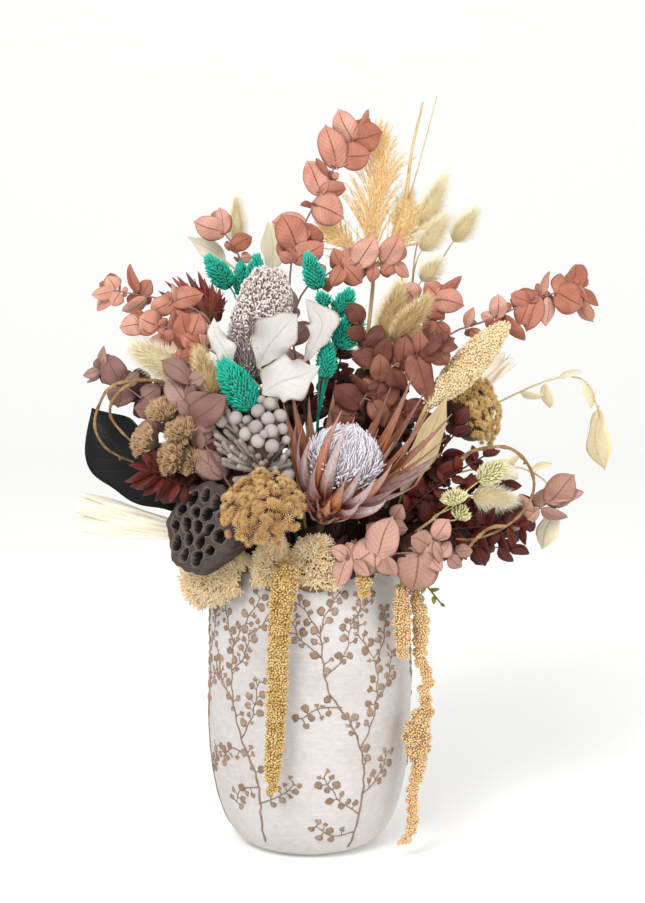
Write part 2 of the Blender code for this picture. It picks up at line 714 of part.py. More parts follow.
# Large leaves: paths of (across, down, depth) with half widths at their inner points; the leaves of
# a branch meet at its join.
BIG_LEAVES = {
    "black_leaf": dict(colour="black", join=(216, 530, -34), face=(0.2, -0.9, -0.3), blades=[
        dict(path=[(197, 520, -40), (172, 497, -46), (140, 470, -46), (112, 440, -40), (92, 408, -30)],
             halves=(15, 31, 30))]),
    "white_leaves": dict(colour="white", join=(276, 402, -66), face=(0, -1, 0.2), blades=[
        dict(path=[(258, 369, -78), (266, 350, -82), (280, 332, -84), (297, 314, -82)], halves=(15, 16)),
        dict(path=[(303, 363, -74), (315, 344, -70), (322, 322, -66), (306, 299, -64)], halves=(11, 12)),
        dict(path=[(262, 394, -92), (280, 382, -100), (300, 376, -102), (320, 366, -96)], halves=(13, 15)),
        dict(path=[(232, 362, -76), (224, 349, -80), (215, 334, -82), (214, 318, -78)], halves=(9, 8))]),
    "cream_leaves": dict(colour="ivory", join=(262, 290, 34), face=(0, -1, 0.1), blades=[
        dict(path=[(272, 272, 30), (273, 255, 30), (272, 238, 32), (268, 221, 34)], halves=(8, 8)),
        dict(path=[(226, 262, 40), (214, 252, 38), (200, 244, 36), (187, 236, 34)], halves=(7, 7))]),
    "spear_leaf": dict(colour="ivory", join=(394, 524, -46), face=(0.1, -1, 0.1), blades=[
        dict(path=[(400, 496, -58), (414, 468, -60), (431, 433, -60), (447, 396, -58)], halves=(11, 12))]),
}


def place_big_leaves(name):
    spec = BIG_LEAVES[name]
    roots = []
    for part in spec["blades"]:
        for shift in DEPTH_SHIFTS:
            path = np.array([spot(x, y, depth + shift) for x, y, depth in part["path"]])
            piece = blade(path, np.array(part["halves"]) * MM, unit(spec["face"]), lift=0.22)
            if is_clear(piece, name):
                break
        else:
            print("no clear place for a leaf of", name)
        place(name, piece, spec["colour"])
        roots.append(path[0] * 0.85 + path[1] * 0.15)
    return roots


def place_leaf_branches(name, roots):
    join = spot(*BIG_LEAVES[name]["join"])
    enter = unit(np.mean(roots, axis=0) - join)
    for root in roots:
        for bow in BOWS:
            middle = (join + root) / 2 + np.array((bow[0], bow[1], 0)) * MM
            piece = sweep(bezier((join, middle, root), 3), 1.2 * MM, 3)
            if is_clear(piece, name):
                break
        else:
            print("no clear way for a branch of", name)
        place(name, piece)
    place_stem(name, [join, join + enter * 3 * MM], enter, 1.6)


# Pleated palm leaves: a fan of folds between a narrow base and its two outer tips.
PALMS = {
    "palm_left": dict(base=(176, 530, -34), tips=((72, 484, -14), (74, 537, -30)), folds=5),
    "palm_right": dict(base=(452, 404, -8), tips=((500, 348, 6), (522, 362, -4)), folds=4),
}
PLEAT = 3.0
PALM_THICK = 0.9
PALM_FOOT = 12


def pleated(base, first, second, folds):
    across = unit(second - first)
    ahead = unit((first + second) / 2 - base)
    face = unit(np.cross(ahead, across))
    columns = 2 * folds + 1
    shares = np.linspace(0, 1, columns)
    sheets = []
    for level in (0.5, -0.5):
        rows = []
        for reach in (0.0, 0.5, 1.0):
            near = base + across * (shares - 0.5)[:, None] * PALM_FOOT * MM
            round_end = 1 - 0.10 * (2 * shares - 1) ** 2
            far = base + (first + (second - first) * shares[:, None] - base) * round_end[:, None]
            row = near + (far - near) * reach
            depth = PLEAT * MM * (0.25 + 0.75 * reach) * (-1.0) ** np.arange(columns) / 2
            rows.append(row + face * (depth + level * PALM_THICK * MM)[:, None])
        sheets.append(np.array(rows))
    rings = [np.concatenate([top, bottom[::-1]]) for top, bottom in zip(sheets[0], sheets[1])]
    return strip_skin(rings, columns)


def place_palm(name):
    spec = PALMS[name]
    for shift in DEPTH_SHIFTS:
        base, first, second = (spot(x, y, d + shift) for x, y, d in (spec["base"], *spec["tips"]))
        piece = pleated(base, first, second, spec["folds"])
        if is_clear(piece, name):
            break
    else:
        print("no clear place for", name)
    place(name, piece, "ivory")
    return base, unit((first + second) / 2 - base)


# Plume grass: a slim core with bristles all round it, and straws beside it.
PLUME_PATHS = [[(374, 268, 24), (372, 225, 26), (380, 180, 28), (377, 142, 28)],
               [(366, 262, 24), (345, 244, 20), (332, 232, 18)],
               [(378, 262, 26), (398, 240, 32), (406, 222, 34)]]
PLUME_RADII = (4.5, 1.6)
PLUME_BRISTLES = (9, 3, 3)
BRISTLE_HALF = 3.0
BRISTLE_REACH = (32, 20)
GOLDEN_TURN = 2.4
STRAW_RADII = (1.3, 0.8)
STRAW_PATHS = [[(384, 262, 34), (404, 205, 36), (412, 150, 38), (423, 102, 40)],
               [(390, 256, 40), (414, 182, 44), (437, 96, 50)]]


def place_plume():
    for points, count in zip(PLUME_PATHS, PLUME_BRISTLES):
        path = smooth([spot(*point) for point in points], len(points) + (2 if count > 2 else 1))
        place("plume", sweep(path, np.linspace(*PLUME_RADII, len(path)) * MM, 4), "gold")
        dense = along(path, 30)
        for k in range(count):
            at = int(3 + 24 * k / count)
            root, ahead = dense[at], unit(dense[at + 1] - dense[at - 1])
            side, other = across_axes(ahead)
            turn = GOLDEN_TURN * k
            radial = math.cos(turn) * side + math.sin(turn) * other
            reach = (BRISTLE_REACH[0] + (BRISTLE_REACH[1] - BRISTLE_REACH[0]) * k / count) * MM
            tip = root + ahead * reach * 0.9 + radial * reach * 0.62
            middle = (root + tip) / 2 + radial * reach * 0.08
            place("plume", blade(np.array([root, middle, tip]), (BRISTLE_HALF * MM,), radial))
    for points in STRAW_PATHS:
        path = smooth([spot(*point) for point in points], 6)
        place("plume", sweep(path, np.linspace(*STRAW_RADII, len(path)) * MM, 3))


# Curly willow: knotted twigs.
WILLOWS = {
    "willow_left": [
        [(186, 404, -64), (172, 388, -64), (158, 381, -66), (142, 380, -68), (124, 382, -70), (110, 387, -72),
         (102, 399, -74), (96, 414, -76), (95, 428, -76), (103, 445, -76), (119, 456, -74), (134, 462, -70)],
        [(134, 381, -69), (120, 391, -66), (111, 404, -62), (111, 417, -58), (120, 430, -58), (132, 442, -60)]],
    "willow_right": [
        [(452, 470, -60), (470, 452, -66), (488, 448, -72), (504, 447, -76), (518, 453, -80), (530, 468, -82),
         (534, 484, -82), (530, 501, -82), (516, 519, -82), (495, 532, -82), (474, 539, -80), (456, 539, -78)],
        [(506, 526, -82), (490, 528, -88), (476, 539, -92), (466, 551, -92), (455, 559, -90), (445, 559, -86)]],
}
WILLOW_RADIUS = 2.3
WILLOW_TIP = 1.5
KNOT_STEP = 5
KNOT_LENGTH = 5.0
KNOT_RADII = (1.6, 0.7)


def place_willow(name):
    for points in WILLOWS[name]:
        points = [spot(*point) for point in points]
        path = smooth(points, int(1.15 * len(points)))
        swelling = 1 + 0.25 * (np.arange(len(path)) % 4 == 1)
        radii = np.linspace(WILLOW_RADIUS, WILLOW_TIP, len(path)) * swelling * MM
        place(name, sweep(path, radii, 4), "willow")
        for k in range(2, len(path) - 1, KNOT_STEP):
            axis = unit(path[k + 1] - path[k - 1])
            out = across_axes(axis)[k % 2]
            end = path[k] + (out + 0.4 * axis) * KNOT_LENGTH * MM
            place(name, sweep([path[k], end], np.array(KNOT_RADII) * MM, 3))


# Leafy sprays. A stem is a list of (across, down); its depth runs evenly from the first to the
# last value of depth. A leaf gives its base, its tip and its width as seen.
SPRAYS = {
    "eucalyptus_top": dict(colour="rust", depth=(-6, 16), stem=[
        (290, 276), (295, 250), (302, 230), (315, 207), (327, 178), (336, 164), (350, 144), (354, 137)], leaves=[
        Leaf((354, 137), (338, 109), 24), Leaf((354, 137), (383, 134), 30), Leaf((357, 132), (369, 110), 10),
        Leaf((336, 164), (328, 124), 28), Leaf((341, 156), (371, 154), 28), Leaf((327, 177), (316, 158), 9),
        Leaf((330, 172), (339, 181), 10), Leaf((320, 192), (306, 161), 24), Leaf((315, 206), (345, 216), 32),
        Leaf((304, 228), (272, 220), 26), Leaf((296, 248), (282, 214), 32), Leaf((300, 236), (312, 231), 14),
        Leaf((294, 258), (324, 243), 24), Leaf((293, 262), (279, 253), 12)]),
    "eucalyptus_crown": dict(colour="rust", depth=(-14, -2), stem=[
        (301, 296), (312, 285), (328, 275), (340, 267), (359, 264), (376, 263), (399, 261)], leaves=[
        Leaf((341, 267), (333, 288), 16), Leaf((341, 267), (334, 248), 14), Leaf((345, 267), (363, 282), 24),
        Leaf((358, 264), (373, 236), 26), Leaf((374, 263), (370, 282), 14), Leaf((386, 262), (398, 234), 24),
        Leaf((398, 261), (382, 274), 18), Leaf((394, 262), (409, 277), 12),
        Leaf((325, 277), (312, 266), 18)]),
    "eucalyptus_mid": dict(colour="rust", depth=(2, 8), stem=[
        (396, 322), (408, 304), (420, 296), (440, 297), (452, 303)], leaves=[
        Leaf((415, 300), (404, 283), 24), Leaf((432, 296), (464, 307), 26), Leaf((437, 297), (461, 275), 12),
        Leaf((440, 297), (424, 283), 20), Leaf((409, 303), (392, 296), 16)]),
    "eucalyptus_right": dict(colour="rust", depth=(-10, 2), stem=[
        (444, 338), (470, 329), (495, 317), (510, 309), (531, 303), (541, 297), (558, 293), (581, 287)], leaves=[
        Leaf((497, 317), (500, 294), 18), Leaf((492, 318), (478, 314), 14), Leaf((504, 312), (523, 341), 14),
        Leaf((530, 303), (511, 293), 18), Leaf((530, 303), (518, 325), 22), Leaf((531, 302), (526, 288), 12),
        Leaf((537, 299), (527, 332), 20), Leaf((542, 296), (550, 271), 8), Leaf((548, 296), (544, 289), 7),
        Leaf((548, 297), (547, 326), 14), Leaf((558, 293), (584, 305), 31), Leaf((579, 287), (573, 277), 13),
        Leaf((582, 286), (594, 322), 17), Leaf((582, 286), (599, 305), 10), Leaf((472, 328), (481, 341), 12),
        Leaf((466, 330), (473, 307), 10)]),
    "eucalyptus_left": dict(colour="rust", depth=(-40, -34), stem=[
        (206, 318), (181, 305), (170, 301), (147, 296), (128, 294), (112, 290)], leaves=[
        Leaf((112, 290), (92, 296), 14), Leaf((116, 291), (108, 276), 18), Leaf((112, 291), (98, 312), 13),
        Leaf((121, 293), (112, 306), 16), Leaf((126, 294), (124, 284), 8), Leaf((137, 295), (131, 264), 10),
        Leaf((140, 296), (152, 281), 16), Leaf((148, 296), (122, 311), 14), Leaf((172, 301), (151, 314), 20),
        Leaf((172, 302), (203, 292), 22), Leaf((176, 303), (171, 284), 7)]),
    "eucalyptus_inner": dict(colour="rust", depth=(-52, -46), stem=[
        (236, 372), (222, 358), (206, 348), (186, 338), (172, 330), (160, 325), (142, 324)], leaves=[
        Leaf((158, 325), (139, 317), 27), Leaf((142, 324), (119, 326), 21), Leaf((146, 324), (133, 309), 12),
        Leaf((197, 344), (180, 334), 20), Leaf((205, 347), (207, 322), 14), Leaf((190, 340), (180, 312), 24),
        Leaf((176, 332), (172, 309), 9), Leaf((157, 326), (170, 336), 13), Leaf((190, 340), (202, 314), 24)]),
    "eucalyptus_corner": dict(colour="rust", depth=(20, 14), stem=[
        (252, 292), (243, 266), (234, 246), (222, 229)], leaves=[
        Leaf((222, 229), (193, 223), 24), Leaf((221, 228), (220, 207), 16), Leaf((232, 242), (227, 252), 12),
        Leaf((234, 246), (252, 236), 18), Leaf((240, 258), (254, 256), 14)]),
    "mauve_left": dict(colour="mauve", depth=(-58, -54), stem=[
        (186, 420), (170, 412), (146, 403), (132, 391), (120, 383), (99, 369)], leaves=[
        Leaf((119, 382), (107, 354), 25), Leaf((121, 384), (119, 408), 26), Leaf((126, 388), (137, 371), 14),
        Leaf((141, 401), (160, 385), 19), Leaf((158, 408), (134, 409), 20), Leaf((99, 369), (104, 346), 8),
        Leaf((99, 369), (83, 375), 10), Leaf((99, 369), (88, 383), 5), Leaf((101, 370), (97, 356), 8),
        Leaf((103, 372), (107, 386), 9)]),
    "mauve_mid": dict(colour="mauve", depth=(-92, -84), stem=[
        (230, 486), (222, 473), (205, 445), (190, 418), (186, 404), (184, 392), (190, 378)], leaves=[
        Leaf((190, 380), (162, 358), 19), Leaf((188, 384), (205, 376), 16), Leaf((186, 402), (165, 380), 26),
        Leaf((188, 412), (206, 392), 22), Leaf((191, 421), (229, 396), 28), Leaf((188, 418), (178, 401), 13),
        Leaf((192, 423), (216, 428), 17), Leaf((196, 430), (214, 446), 18), Leaf((208, 450), (226, 474), 9),
        Leaf((222, 474), (192, 451), 25)]),
    "eucalyptus_heart": dict(colour="brown", depth=(-56, -70), stem=[
        (350, 420), (364, 398), (376, 381), (386, 371), (400, 362), (420, 352), (440, 344)], leaves=[
        Leaf((378, 379), (381, 348), 23), Leaf((386, 372), (402, 384), 20), Leaf((376, 381), (376, 401), 23),
        Leaf((370, 389), (362, 376), 11), Leaf((399, 362), (394, 349), 12), Leaf((402, 360), (407, 336), 20),
        Leaf((402, 361), (413, 371), 16), Leaf((422, 351), (455, 338), 21), Leaf((420, 352), (421, 332), 18),
        Leaf((440, 345), (458, 349), 12), Leaf((418, 354), (442, 358), 14), Leaf((416, 357), (424, 400), 25),
        Leaf((434, 348), (446, 366), 20), Leaf((359, 405), (336, 384), 26), Leaf((352, 416), (330, 412), 24),
        Leaf((366, 395), (353, 373), 11), Leaf((390, 370), (408, 390), 14)]),
    "mauve_low": dict(colour="mauve", depth=(-104, -108), stem=[
        (332, 548), (346, 560), (358, 561), (380, 556), (400, 552), (421, 552), (438, 546), (438, 534)], leaves=[
        Leaf((346, 560), (331, 547), 15), Leaf((346, 561), (335, 586), 19), Leaf((357, 561), (345, 543), 16),
        Leaf((352, 561), (370, 573), 13), Leaf((356, 561), (384, 546), 30), Leaf((378, 556), (392, 516), 32),
        Leaf((386, 555), (395, 577), 12), Leaf((420, 552), (412, 591), 40), Leaf((432, 548), (411, 536), 22),
        Leaf((437, 546), (432, 564), 16), Leaf((440, 540), (450, 520), 20), Leaf((438, 545), (441, 567), 8)]),
    "mauve_right": dict(colour="mauve", depth=(-50, -40), stem=[
        (468, 548), (488, 540), (506, 531), (522, 520), (538, 509), (552, 500)], leaves=[
        Leaf((552, 500), (576, 476), 29), Leaf((552, 500), (583, 490), 14), Leaf((540, 508), (568, 517), 12),
        Leaf((537, 510), (514, 527), 20), Leaf((510, 529), (524, 527), 6), Leaf((531, 514), (520, 494), 12),
        Leaf((492, 538), (480, 520), 14)]),
}
RED_SPRAYS = {
    "red_left": dict(depth=(-62, -98), stem=[(222, 484), (200, 486), (180, 484), (164, 476), (152, 468)], leaves=[
        Leaf((152, 468), (129, 466), 8), Leaf((154, 470), (124, 481), 8), Leaf((158, 474), (130, 487), 9),
        Leaf((162, 475), (134, 489), 8), Leaf((166, 477), (143, 496), 10), Leaf((168, 478), (154, 501), 9),
        Leaf((158, 472), (153, 458), 7), Leaf((172, 480), (160, 464), 8), Leaf((178, 483), (171, 503), 9),
        Leaf((184, 486), (186, 504), 9)]),
    "red_right": dict(depth=(-64, -60), stem=[(424, 532), (450, 529), (476, 527), (500, 526), (524, 526)], leaves=[
        Leaf((436, 531), (443, 556), 9), Leaf((446, 530), (452, 508), 8), Leaf((456, 529), (466, 556), 9),
        Leaf((466, 528), (470, 508), 8), Leaf((476, 528), (488, 556), 9), Leaf((486, 527), (494, 506), 8),
        Leaf((496, 527), (508, 554), 9), Leaf((506, 527), (516, 551), 8), Leaf((514, 527), (522, 509), 7),
        Leaf((524, 526), (534, 520), 7), Leaf((522, 526), (526, 545), 7)]),
    "red_mid": dict(depth=(-66, -60), stem=[(398, 520), (420, 500), (442, 482), (464, 468), (486, 455)], leaves=[
        Leaf((408, 511), (404, 494), 8), Leaf((414, 505), (432, 512), 9), Leaf((424, 497), (420, 478), 9),
        Leaf((432, 490), (448, 498), 9), Leaf((442, 482), (438, 464), 9), Leaf((450, 477), (466, 484), 8),
        Leaf((458, 472), (456, 455), 8), Leaf((468, 466), (484, 470), 8), Leaf((476, 461), (474, 446), 7),
        Leaf((486, 455), (500, 450), 7)]),
    "red_centre": dict(depth=(-24, -20), stem=[(352, 440), (346, 420), (340, 398), (337, 374), (342, 352)], leaves=[
        Leaf((350, 432), (334, 424), 10), Leaf((347, 422), (364, 412), 10), Leaf((343, 410), (326, 400), 10),
        Leaf((341, 402), (358, 390), 10), Leaf((339, 390), (322, 380), 10), Leaf((338, 380), (354, 368), 10),
        Leaf((338, 368), (324, 358), 9), Leaf((340, 360), (356, 350), 9), Leaf((342, 352), (342, 334), 9)]),
}
SKELETON_SPRAYS = {
    "skeleton_right": dict(colour="ivory", depth=(-6, 6), stem=[
        (470, 420), (503, 406), (519, 391), (546, 381), (569, 376), (584, 380), (596, 396), (601, 420)], leaves=[
        Leaf((601, 420), (603, 471), 22), Leaf((584, 380), (592, 408), 10), Leaf((546, 381), (549, 408), 12),
        Leaf((558, 378), (583, 372), 7), Leaf((519, 391), (545, 396), 8)]),
    "skeleton_low": dict(colour="ivory", depth=(-14, -6), stem=[
        (470, 470), (500, 466), (530, 470), (548, 482), (553, 500), (556, 518)], leaves=[
        Leaf((556, 518), (540, 549), 20), Leaf((530, 470), (552, 463), 7), Leaf((500, 466), (520, 456), 8),
        Leaf((496, 466), (518, 480), 19)]),
    "green_sprig": dict(colour="green", depth=(-78, -84), stem=[
        (404, 556), (416, 570), (424, 584), (434, 594), (443, 606)], leaves=[
        Leaf((418, 574), (428, 573), 5), Leaf((424, 584), (421, 596), 5), Leaf((429, 589), (441, 590), 5),
        Leaf((434, 595), (433, 606), 5), Leaf((441, 603), (447, 608), 4)]),
}

# Forks of the sprays: the way seen from the stem outwards, how far back it leans, the number of its
# leaves, and their length and width.
FORKS = {
    "eucalyptus_heart": [Fork([(364, 398), (384, 406), (420, 418)], 10, 5, 27, 20),
                         Fork([(386, 371), (374, 352), (358, 322)], 30, 5, 25, 19)],
    "eucalyptus_inner": [Fork([(206, 348), (196, 362), (182, 368)], 6, 4, 22, 18)],
    "eucalyptus_left": [Fork([(181, 305), (186, 322), (198, 334)], 4, 4, 26, 19)],
    "eucalyptus_mid": [Fork([(420, 296), (426, 312), (438, 324)], 8, 4, 22, 15)],
    "mauve_mid": [Fork([(190, 418), (174, 430), (158, 430)], 20, 4, 24, 18)],
    "mauve_low": [Fork([(380, 556), (384, 536), (392, 520)], 20, 4, 22, 17),
                  Fork([(421, 552), (440, 558), (456, 552)], 10, 4, 20, 14)],
    "red_mid": [Fork([(420, 500), (440, 512), (474, 516)], 4, 6, 26, 11),
                Fork([(442, 482), (464, 495), (500, 486)], 4, 6, 26, 11),
                Fork([(430, 490), (440, 456), (456, 424)], 16, 6, 26, 11),
                Fork([(408, 511), (406, 478), (424, 446)], 20, 5, 26, 11)],
    "red_right": [Fork([(450, 529), (474, 545), (510, 548)], 2, 6, 24, 11),
                  Fork([(430, 532), (416, 512), (396, 496)], 10, 4, 24, 11)],
    "red_centre": [Fork([(346, 420), (366, 434), (402, 436)], 6, 5, 26, 12),
                   Fork([(340, 398), (322, 392), (304, 396)], 8, 4, 24, 12)],
    "red_left": [Fork([(200, 486), (190, 470), (180, 456)], 6, 4, 22, 10)],
}
FORK_RADIUS = 1.0
FORK_BARE = 0.22
FORK_SPREAD = 55
# Sprays at the back, which the front view doesn't show: a stem to its tip in millimetres.
BACK_SPRAYS = {
    "back_left": dict(colour="rust", tip=(-150, 110, 500), count=7),
    "back_middle": dict(colour="mauve", tip=(-30, 165, 540), count=7),
    "back_right": dict(colour="rust", tip=(110, 150, 520), count=7),
    "back_low": dict(colour="mauve", tip=(60, 180, 420), count=7),
}
BACK_DROP = 75
BACK_ARCH = 12
LEAF_TRIES = [(roll, shift, scale) for scale in (1.0, 0.84, 0.7)
              for shift in (0, -8, 8, -16, 16) for roll in (0, 22, -22)]
SPRAY_RADIUS = 1.3
SMALL_LEAF = (19, 15)
WIDEST_LEAF = 34
BACK_LEAF = (36, 10)
dropped = []


def spray_path(spec, shift):
    stem = spec["stem"]
    depths = np.linspace(spec["depth"][0], spec["depth"][1], len(stem)) + shift
    return np.array([spot(x, y, d) for (x, y), d in zip(stem, depths)])


def leaf_frame(leaf, number, dense):
    # the blade starts on the stem, at the point that is seen nearest to its base
    offsets = [np.linalg.norm(seen(point) - leaf.base) for point in dense]
    root = dense[int(np.argmin(offsets))]
    depth = root[1] / MM
    lean_out = (number * 7 % 5 - 2) * 3.0
    tip = spot(*leaf.tip, depth + lean_out)
    length = np.linalg.norm(tip - root)
    full = min(max(leaf.wide * MM, 0.62 * length), WIDEST_LEAF * MM)
    roll = math.acos(min(1.0, leaf.wide * MM / full)) * (-1) ** number
    return root, tip, max(full, leaf.wide * MM), roll


def place_leaf(name, root, tip, wide, roll, shape):
    for turn, shift, scale in LEAF_TRIES:
        moved = root + (tip - root) * scale + np.array((0, shift * MM, 0))
        piece = leaf_blade(root, moved, wide * scale, roll + math.radians(turn), shape)
        if is_clear(piece, name):
            place(name, piece)
            return
    dropped.append(name)


def place_spray_leaves(name, leaves, path):
    dense = along(path, 120)[:-2]
    for number, leaf in enumerate(leaves):
        root, tip, wide, roll = leaf_frame(leaf, number, dense)
        small = np.linalg.norm(tip - root) < SMALL_LEAF[0] * MM or leaf.wide < SMALL_LEAF[1]
        place_leaf(name, root, tip, wide, roll, LANCE if small else OVAL)


def fork_leaves(fork):
    # leaves on alternate sides of a fork, from its bare part to its tip
    flat = along(np.array(fork.way, float), 60)
    leaves = []
    for k in range(fork.count):
        at = int(59 * (FORK_BARE + (1 - FORK_BARE) * k / (fork.count - 1)))
        ahead = unit(flat[min(at + 1, 59)] - flat[at - 1])
        spread = math.radians(FORK_SPREAD + 10 * (k * 3 % 4) - 15) * (-1) ** k
        spread = 0.2 if k == fork.count - 1 else spread
        turned = np.array((ahead[0] * math.cos(spread) - ahead[1] * math.sin(spread),
                           ahead[0] * math.sin(spread) + ahead[1] * math.cos(spread)))
        size = fork.length * (1.05 - 0.25 * k / fork.count)
        leaves.append(Leaf(tuple(flat[at]), tuple(flat[at] + turned * size), fork.wide))
    return leaves


def fork_path(fork, dense, shift):
    # from the point of the stem that is seen nearest to the fork's start
    offsets = [np.linalg.norm(seen(point) - fork.way[0]) for point in dense]
    root = dense[int(np.argmin(offsets))]
    depths = root[1] / MM + np.linspace(0, fork.lean + shift, len(fork.way))
    ends = [spot(x, y, depth) for (x, y), depth in zip(fork.way[1:], depths[1:])]
    return np.vstack([root, ends])


def place_forks(name, path):
    # all forks of a spray, before its leaves
    dense = along(path, 120)[:-2]
    placed = []
    for fork in FORKS.get(name, []):
        for shift in DEPTH_SHIFTS:
            way = fork_path(fork, dense, shift)
            piece = sweep(way, FORK_RADIUS * MM, 3)
            if is_clear(piece, name):
                place(name, piece)
                placed.append((fork, way))
                break
        else:
            print("no clear way for a fork of", name)
    return placed


def place_back_leaves(name, spec, path):
    dense = along(path, 60)[:-1]
    for number in range(spec["count"]):
        at = int(22 + 36 * number / (spec["count"] - 1))
        root = dense[at]
        ahead = unit(dense[at] - dense[at - 3])
        side, other = across_axes(ahead)
        turn = math.pi * number + 0.9 * (number // 2)
        radial = math.cos(turn) * side + math.sin(turn) * other
        size = (BACK_LEAF[0] - BACK_LEAF[1] * number / spec["count"]) * MM
        tip = root + (ahead * 0.55 + radial * 0.83) * size
        place_leaf(name, root, tip, size * 0.85, 0.6 * math.sin(2.1 * number), OVAL)


def spray_way(name, spec):
    # a way of few points, as deep as it must be to pass clear
    for shift in DEPTH_SHIFTS:
        path = spray_path(spec, shift)
        way = smooth(path, max(3, (len(path) + 1) // 2 + 1))
        piece = sweep(way, SPRAY_RADIUS * MM, 3)
        if is_clear(piece, name):
            break
    else:
        print("no clear depth for", name, blockers(piece, name))
    reserve(name, piece)
    return way


def material_for(name, colour):
    result = bpy.data.materials.new(name)
    result.use_nodes = True
    shader = result.node_tree.nodes["Principled BSDF"]
    shader.inputs["Base Color"].default_value = (*COLOURS[colour], 1.0)
    shader.inputs["Roughness"].default_value = 0.35 if colour == "black" else 0.8
    return result


def mesh_object(name, piece):
    mesh = bpy.data.meshes.new(name)
    verts, tris = piece
    mesh.from_pydata(verts.tolist(), [], tris.tolist())
    result = bpy.data.objects.new(name, mesh)
    bpy.context.scene.collection.objects.link(result)
    return result


def joined(base, pieces, operation):
    # one Boolean with all pieces, applied, and the pieces removed again
    group = bpy.data.collections.new("pieces")
    parts = [mesh_object("piece", piece) for piece in pieces]
    for part in parts:
        bpy.context.scene.collection.objects.unlink(part)
        group.objects.link(part)
    modifier = base.modifiers.new("join", "BOOLEAN")
    modifier.operation = operation
    modifier.operand_type = "COLLECTION"
    modifier.collection = group
    modifier.solver = "EXACT"
    bpy.context.view_layer.update()
    evaluated = base.evaluated_get(bpy.context.evaluated_depsgraph_get())
    result = bpy.data.meshes.new_from_object(evaluated)
    base.modifiers.remove(modifier)
    base.data = result
    for part in parts:
        bpy.data.objects.remove(part, do_unlink=True)
    bpy.data.collections.remove(group)


def build_node(name, node):
    pieces = node["pieces"]
    base = mesh_object(name, pieces[0])
    if len(pieces) > 1:
        joined(base, pieces[1:], "UNION")
    if node["cuts"]:
        joined(base, node["cuts"], "DIFFERENCE")
    base.data.name = name
    base.data.materials.clear()
    base.data.materials.append(material_for(name, node["colour"]))
    base.data.shade_smooth()
    base.data.set_sharp_from_angle(angle=math.radians(40))
    return base


def place_heads():
    place_vase()
    place_moss()
    for name in BUNCHES:
        place_bunch_heads(name)
    place_protea()
    place_leucadendron()
    place_brunia()
    for name in STRANDS:
        place_strands(name)
    domes = {name: place_yarrow(name) for name in YARROWS}
    for name in WILLOWS:
        place_willow(name)
    place_plume()
    leaf_roots = {name: place_big_leaves(name) for name in BIG_LEAVES}
    palm_ends = {name: place_palm(name) for name in PALMS}
    place_lotus()
    return domes, leaf_roots, palm_ends


def place_stems(domes, leaf_roots, palm_ends):
    # thick and low stems first, because they have the least room
    base = spot(*PROTEA_BASE)
    axis = unit(spot(*PROTEA_TOP) - base)
    place_stem("protea", [base, base + axis * STUB * MM], axis, 4.0)
    for name in STRANDS:
        place_strand_stems(name)
    for name, (join, feet) in domes.items():
        place_yarrow_stems(name, join, feet)
    base = spot(*BRUNIA_BASE)
    place_stem("brunia", [base, base + UPRIGHT * STUB * MM], unit((-0.1, -0.2, 1)), 3.0)
    for name, roots in leaf_roots.items():
        place_leaf_branches(name, roots)
    for name, (end, ahead) in palm_ends.items():
        place_stem(name, [end, end + ahead * STUB * MM], ahead, 2.0)
    for name in BUNCHES:
        place_bunch_stems(name)
    for name, strands in WILLOWS.items():
        way = [spot(*point) for point in strands[0][:2]]
        place_stem(name, way, unit(way[1] - way[0]), WILLOW_RADIUS)
    base = spot(*LEUCADENDRON_BASE)
    place_stem("leucadendron", [base, base + unit((-0.5, 0, 1)) * STUB * MM], unit((-0.3, 0, 1)), 2.2)
    base = spot(*PLUME_PATHS[0][0])
    for points in PLUME_PATHS[1:] + STRAW_PATHS:
        place("plume", sweep([base, spot(*points[0])], 1.6 * MM, 3))
    place_stem("plume", [base, spot(*PLUME_PATHS[0][1])], UPRIGHT, 2.0)


def back_way(spec):
    tip = np.array(spec["tip"]) * MM
    low = tip * np.array((0.62, 0.62, 1)) - UPRIGHT * BACK_DROP * MM
    return smooth([low, (low + tip) / 2 + UPRIGHT * BACK_ARCH * MM, tip], 4), unit(tip - low)


def place_sprays(sprays, ways):
    paths = {}
    for name in sorted(sprays, key=lambda name: ways[name][0][2]):
        way = ways[name]
        paths[name] = place_stem(name, way, unit(way[1] - way[0]), SPRAY_RADIUS)[1:]
    for name, spec in BACK_SPRAYS.items():
        way, enter = back_way(spec)
        paths[name] = place_stem(name, way, enter, SPRAY_RADIUS)[1:]
    forks = {name: place_forks(name, paths[name]) for name in sprays}
    for name, spec in sprays.items():
        place_spray_leaves(name, spec["leaves"], paths[name])
    for name, placed in forks.items():
        for fork, way in placed:
            place_spray_leaves(name, fork_leaves(fork), way)
    for name, spec in BACK_SPRAYS.items():
        place_back_leaves(name, spec, paths[name])


def main():
    domes, leaf_roots, palm_ends = place_heads()
    sprays = {**SPRAYS, **RED_SPRAYS, **SKELETON_SPRAYS}
    for name, spec in {**sprays, **BACK_SPRAYS}.items():
        nodes[name] = {"pieces": [], "cuts": [], "colour": spec.get("colour", "red")}
    ways = {name: spray_way(name, spec) for name, spec in sprays.items()}
    place_stems(domes, leaf_roots, palm_ends)
    place_sprays(sprays, ways)
    print("leaves left out:", len(dropped), sorted(set(dropped)))

    total = 0
    for name, node in nodes.items():
        result = build_node(name, node)
        count = sum(len(polygon.vertices) - 2 for polygon in result.data.polygons)
        total += count
        print(name, count)
    print("nodes", len(nodes), "triangles", total)


main()
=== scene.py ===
import math

import bpy
import numpy as np
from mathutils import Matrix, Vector
from mathutils.bvhtree import BVHTree


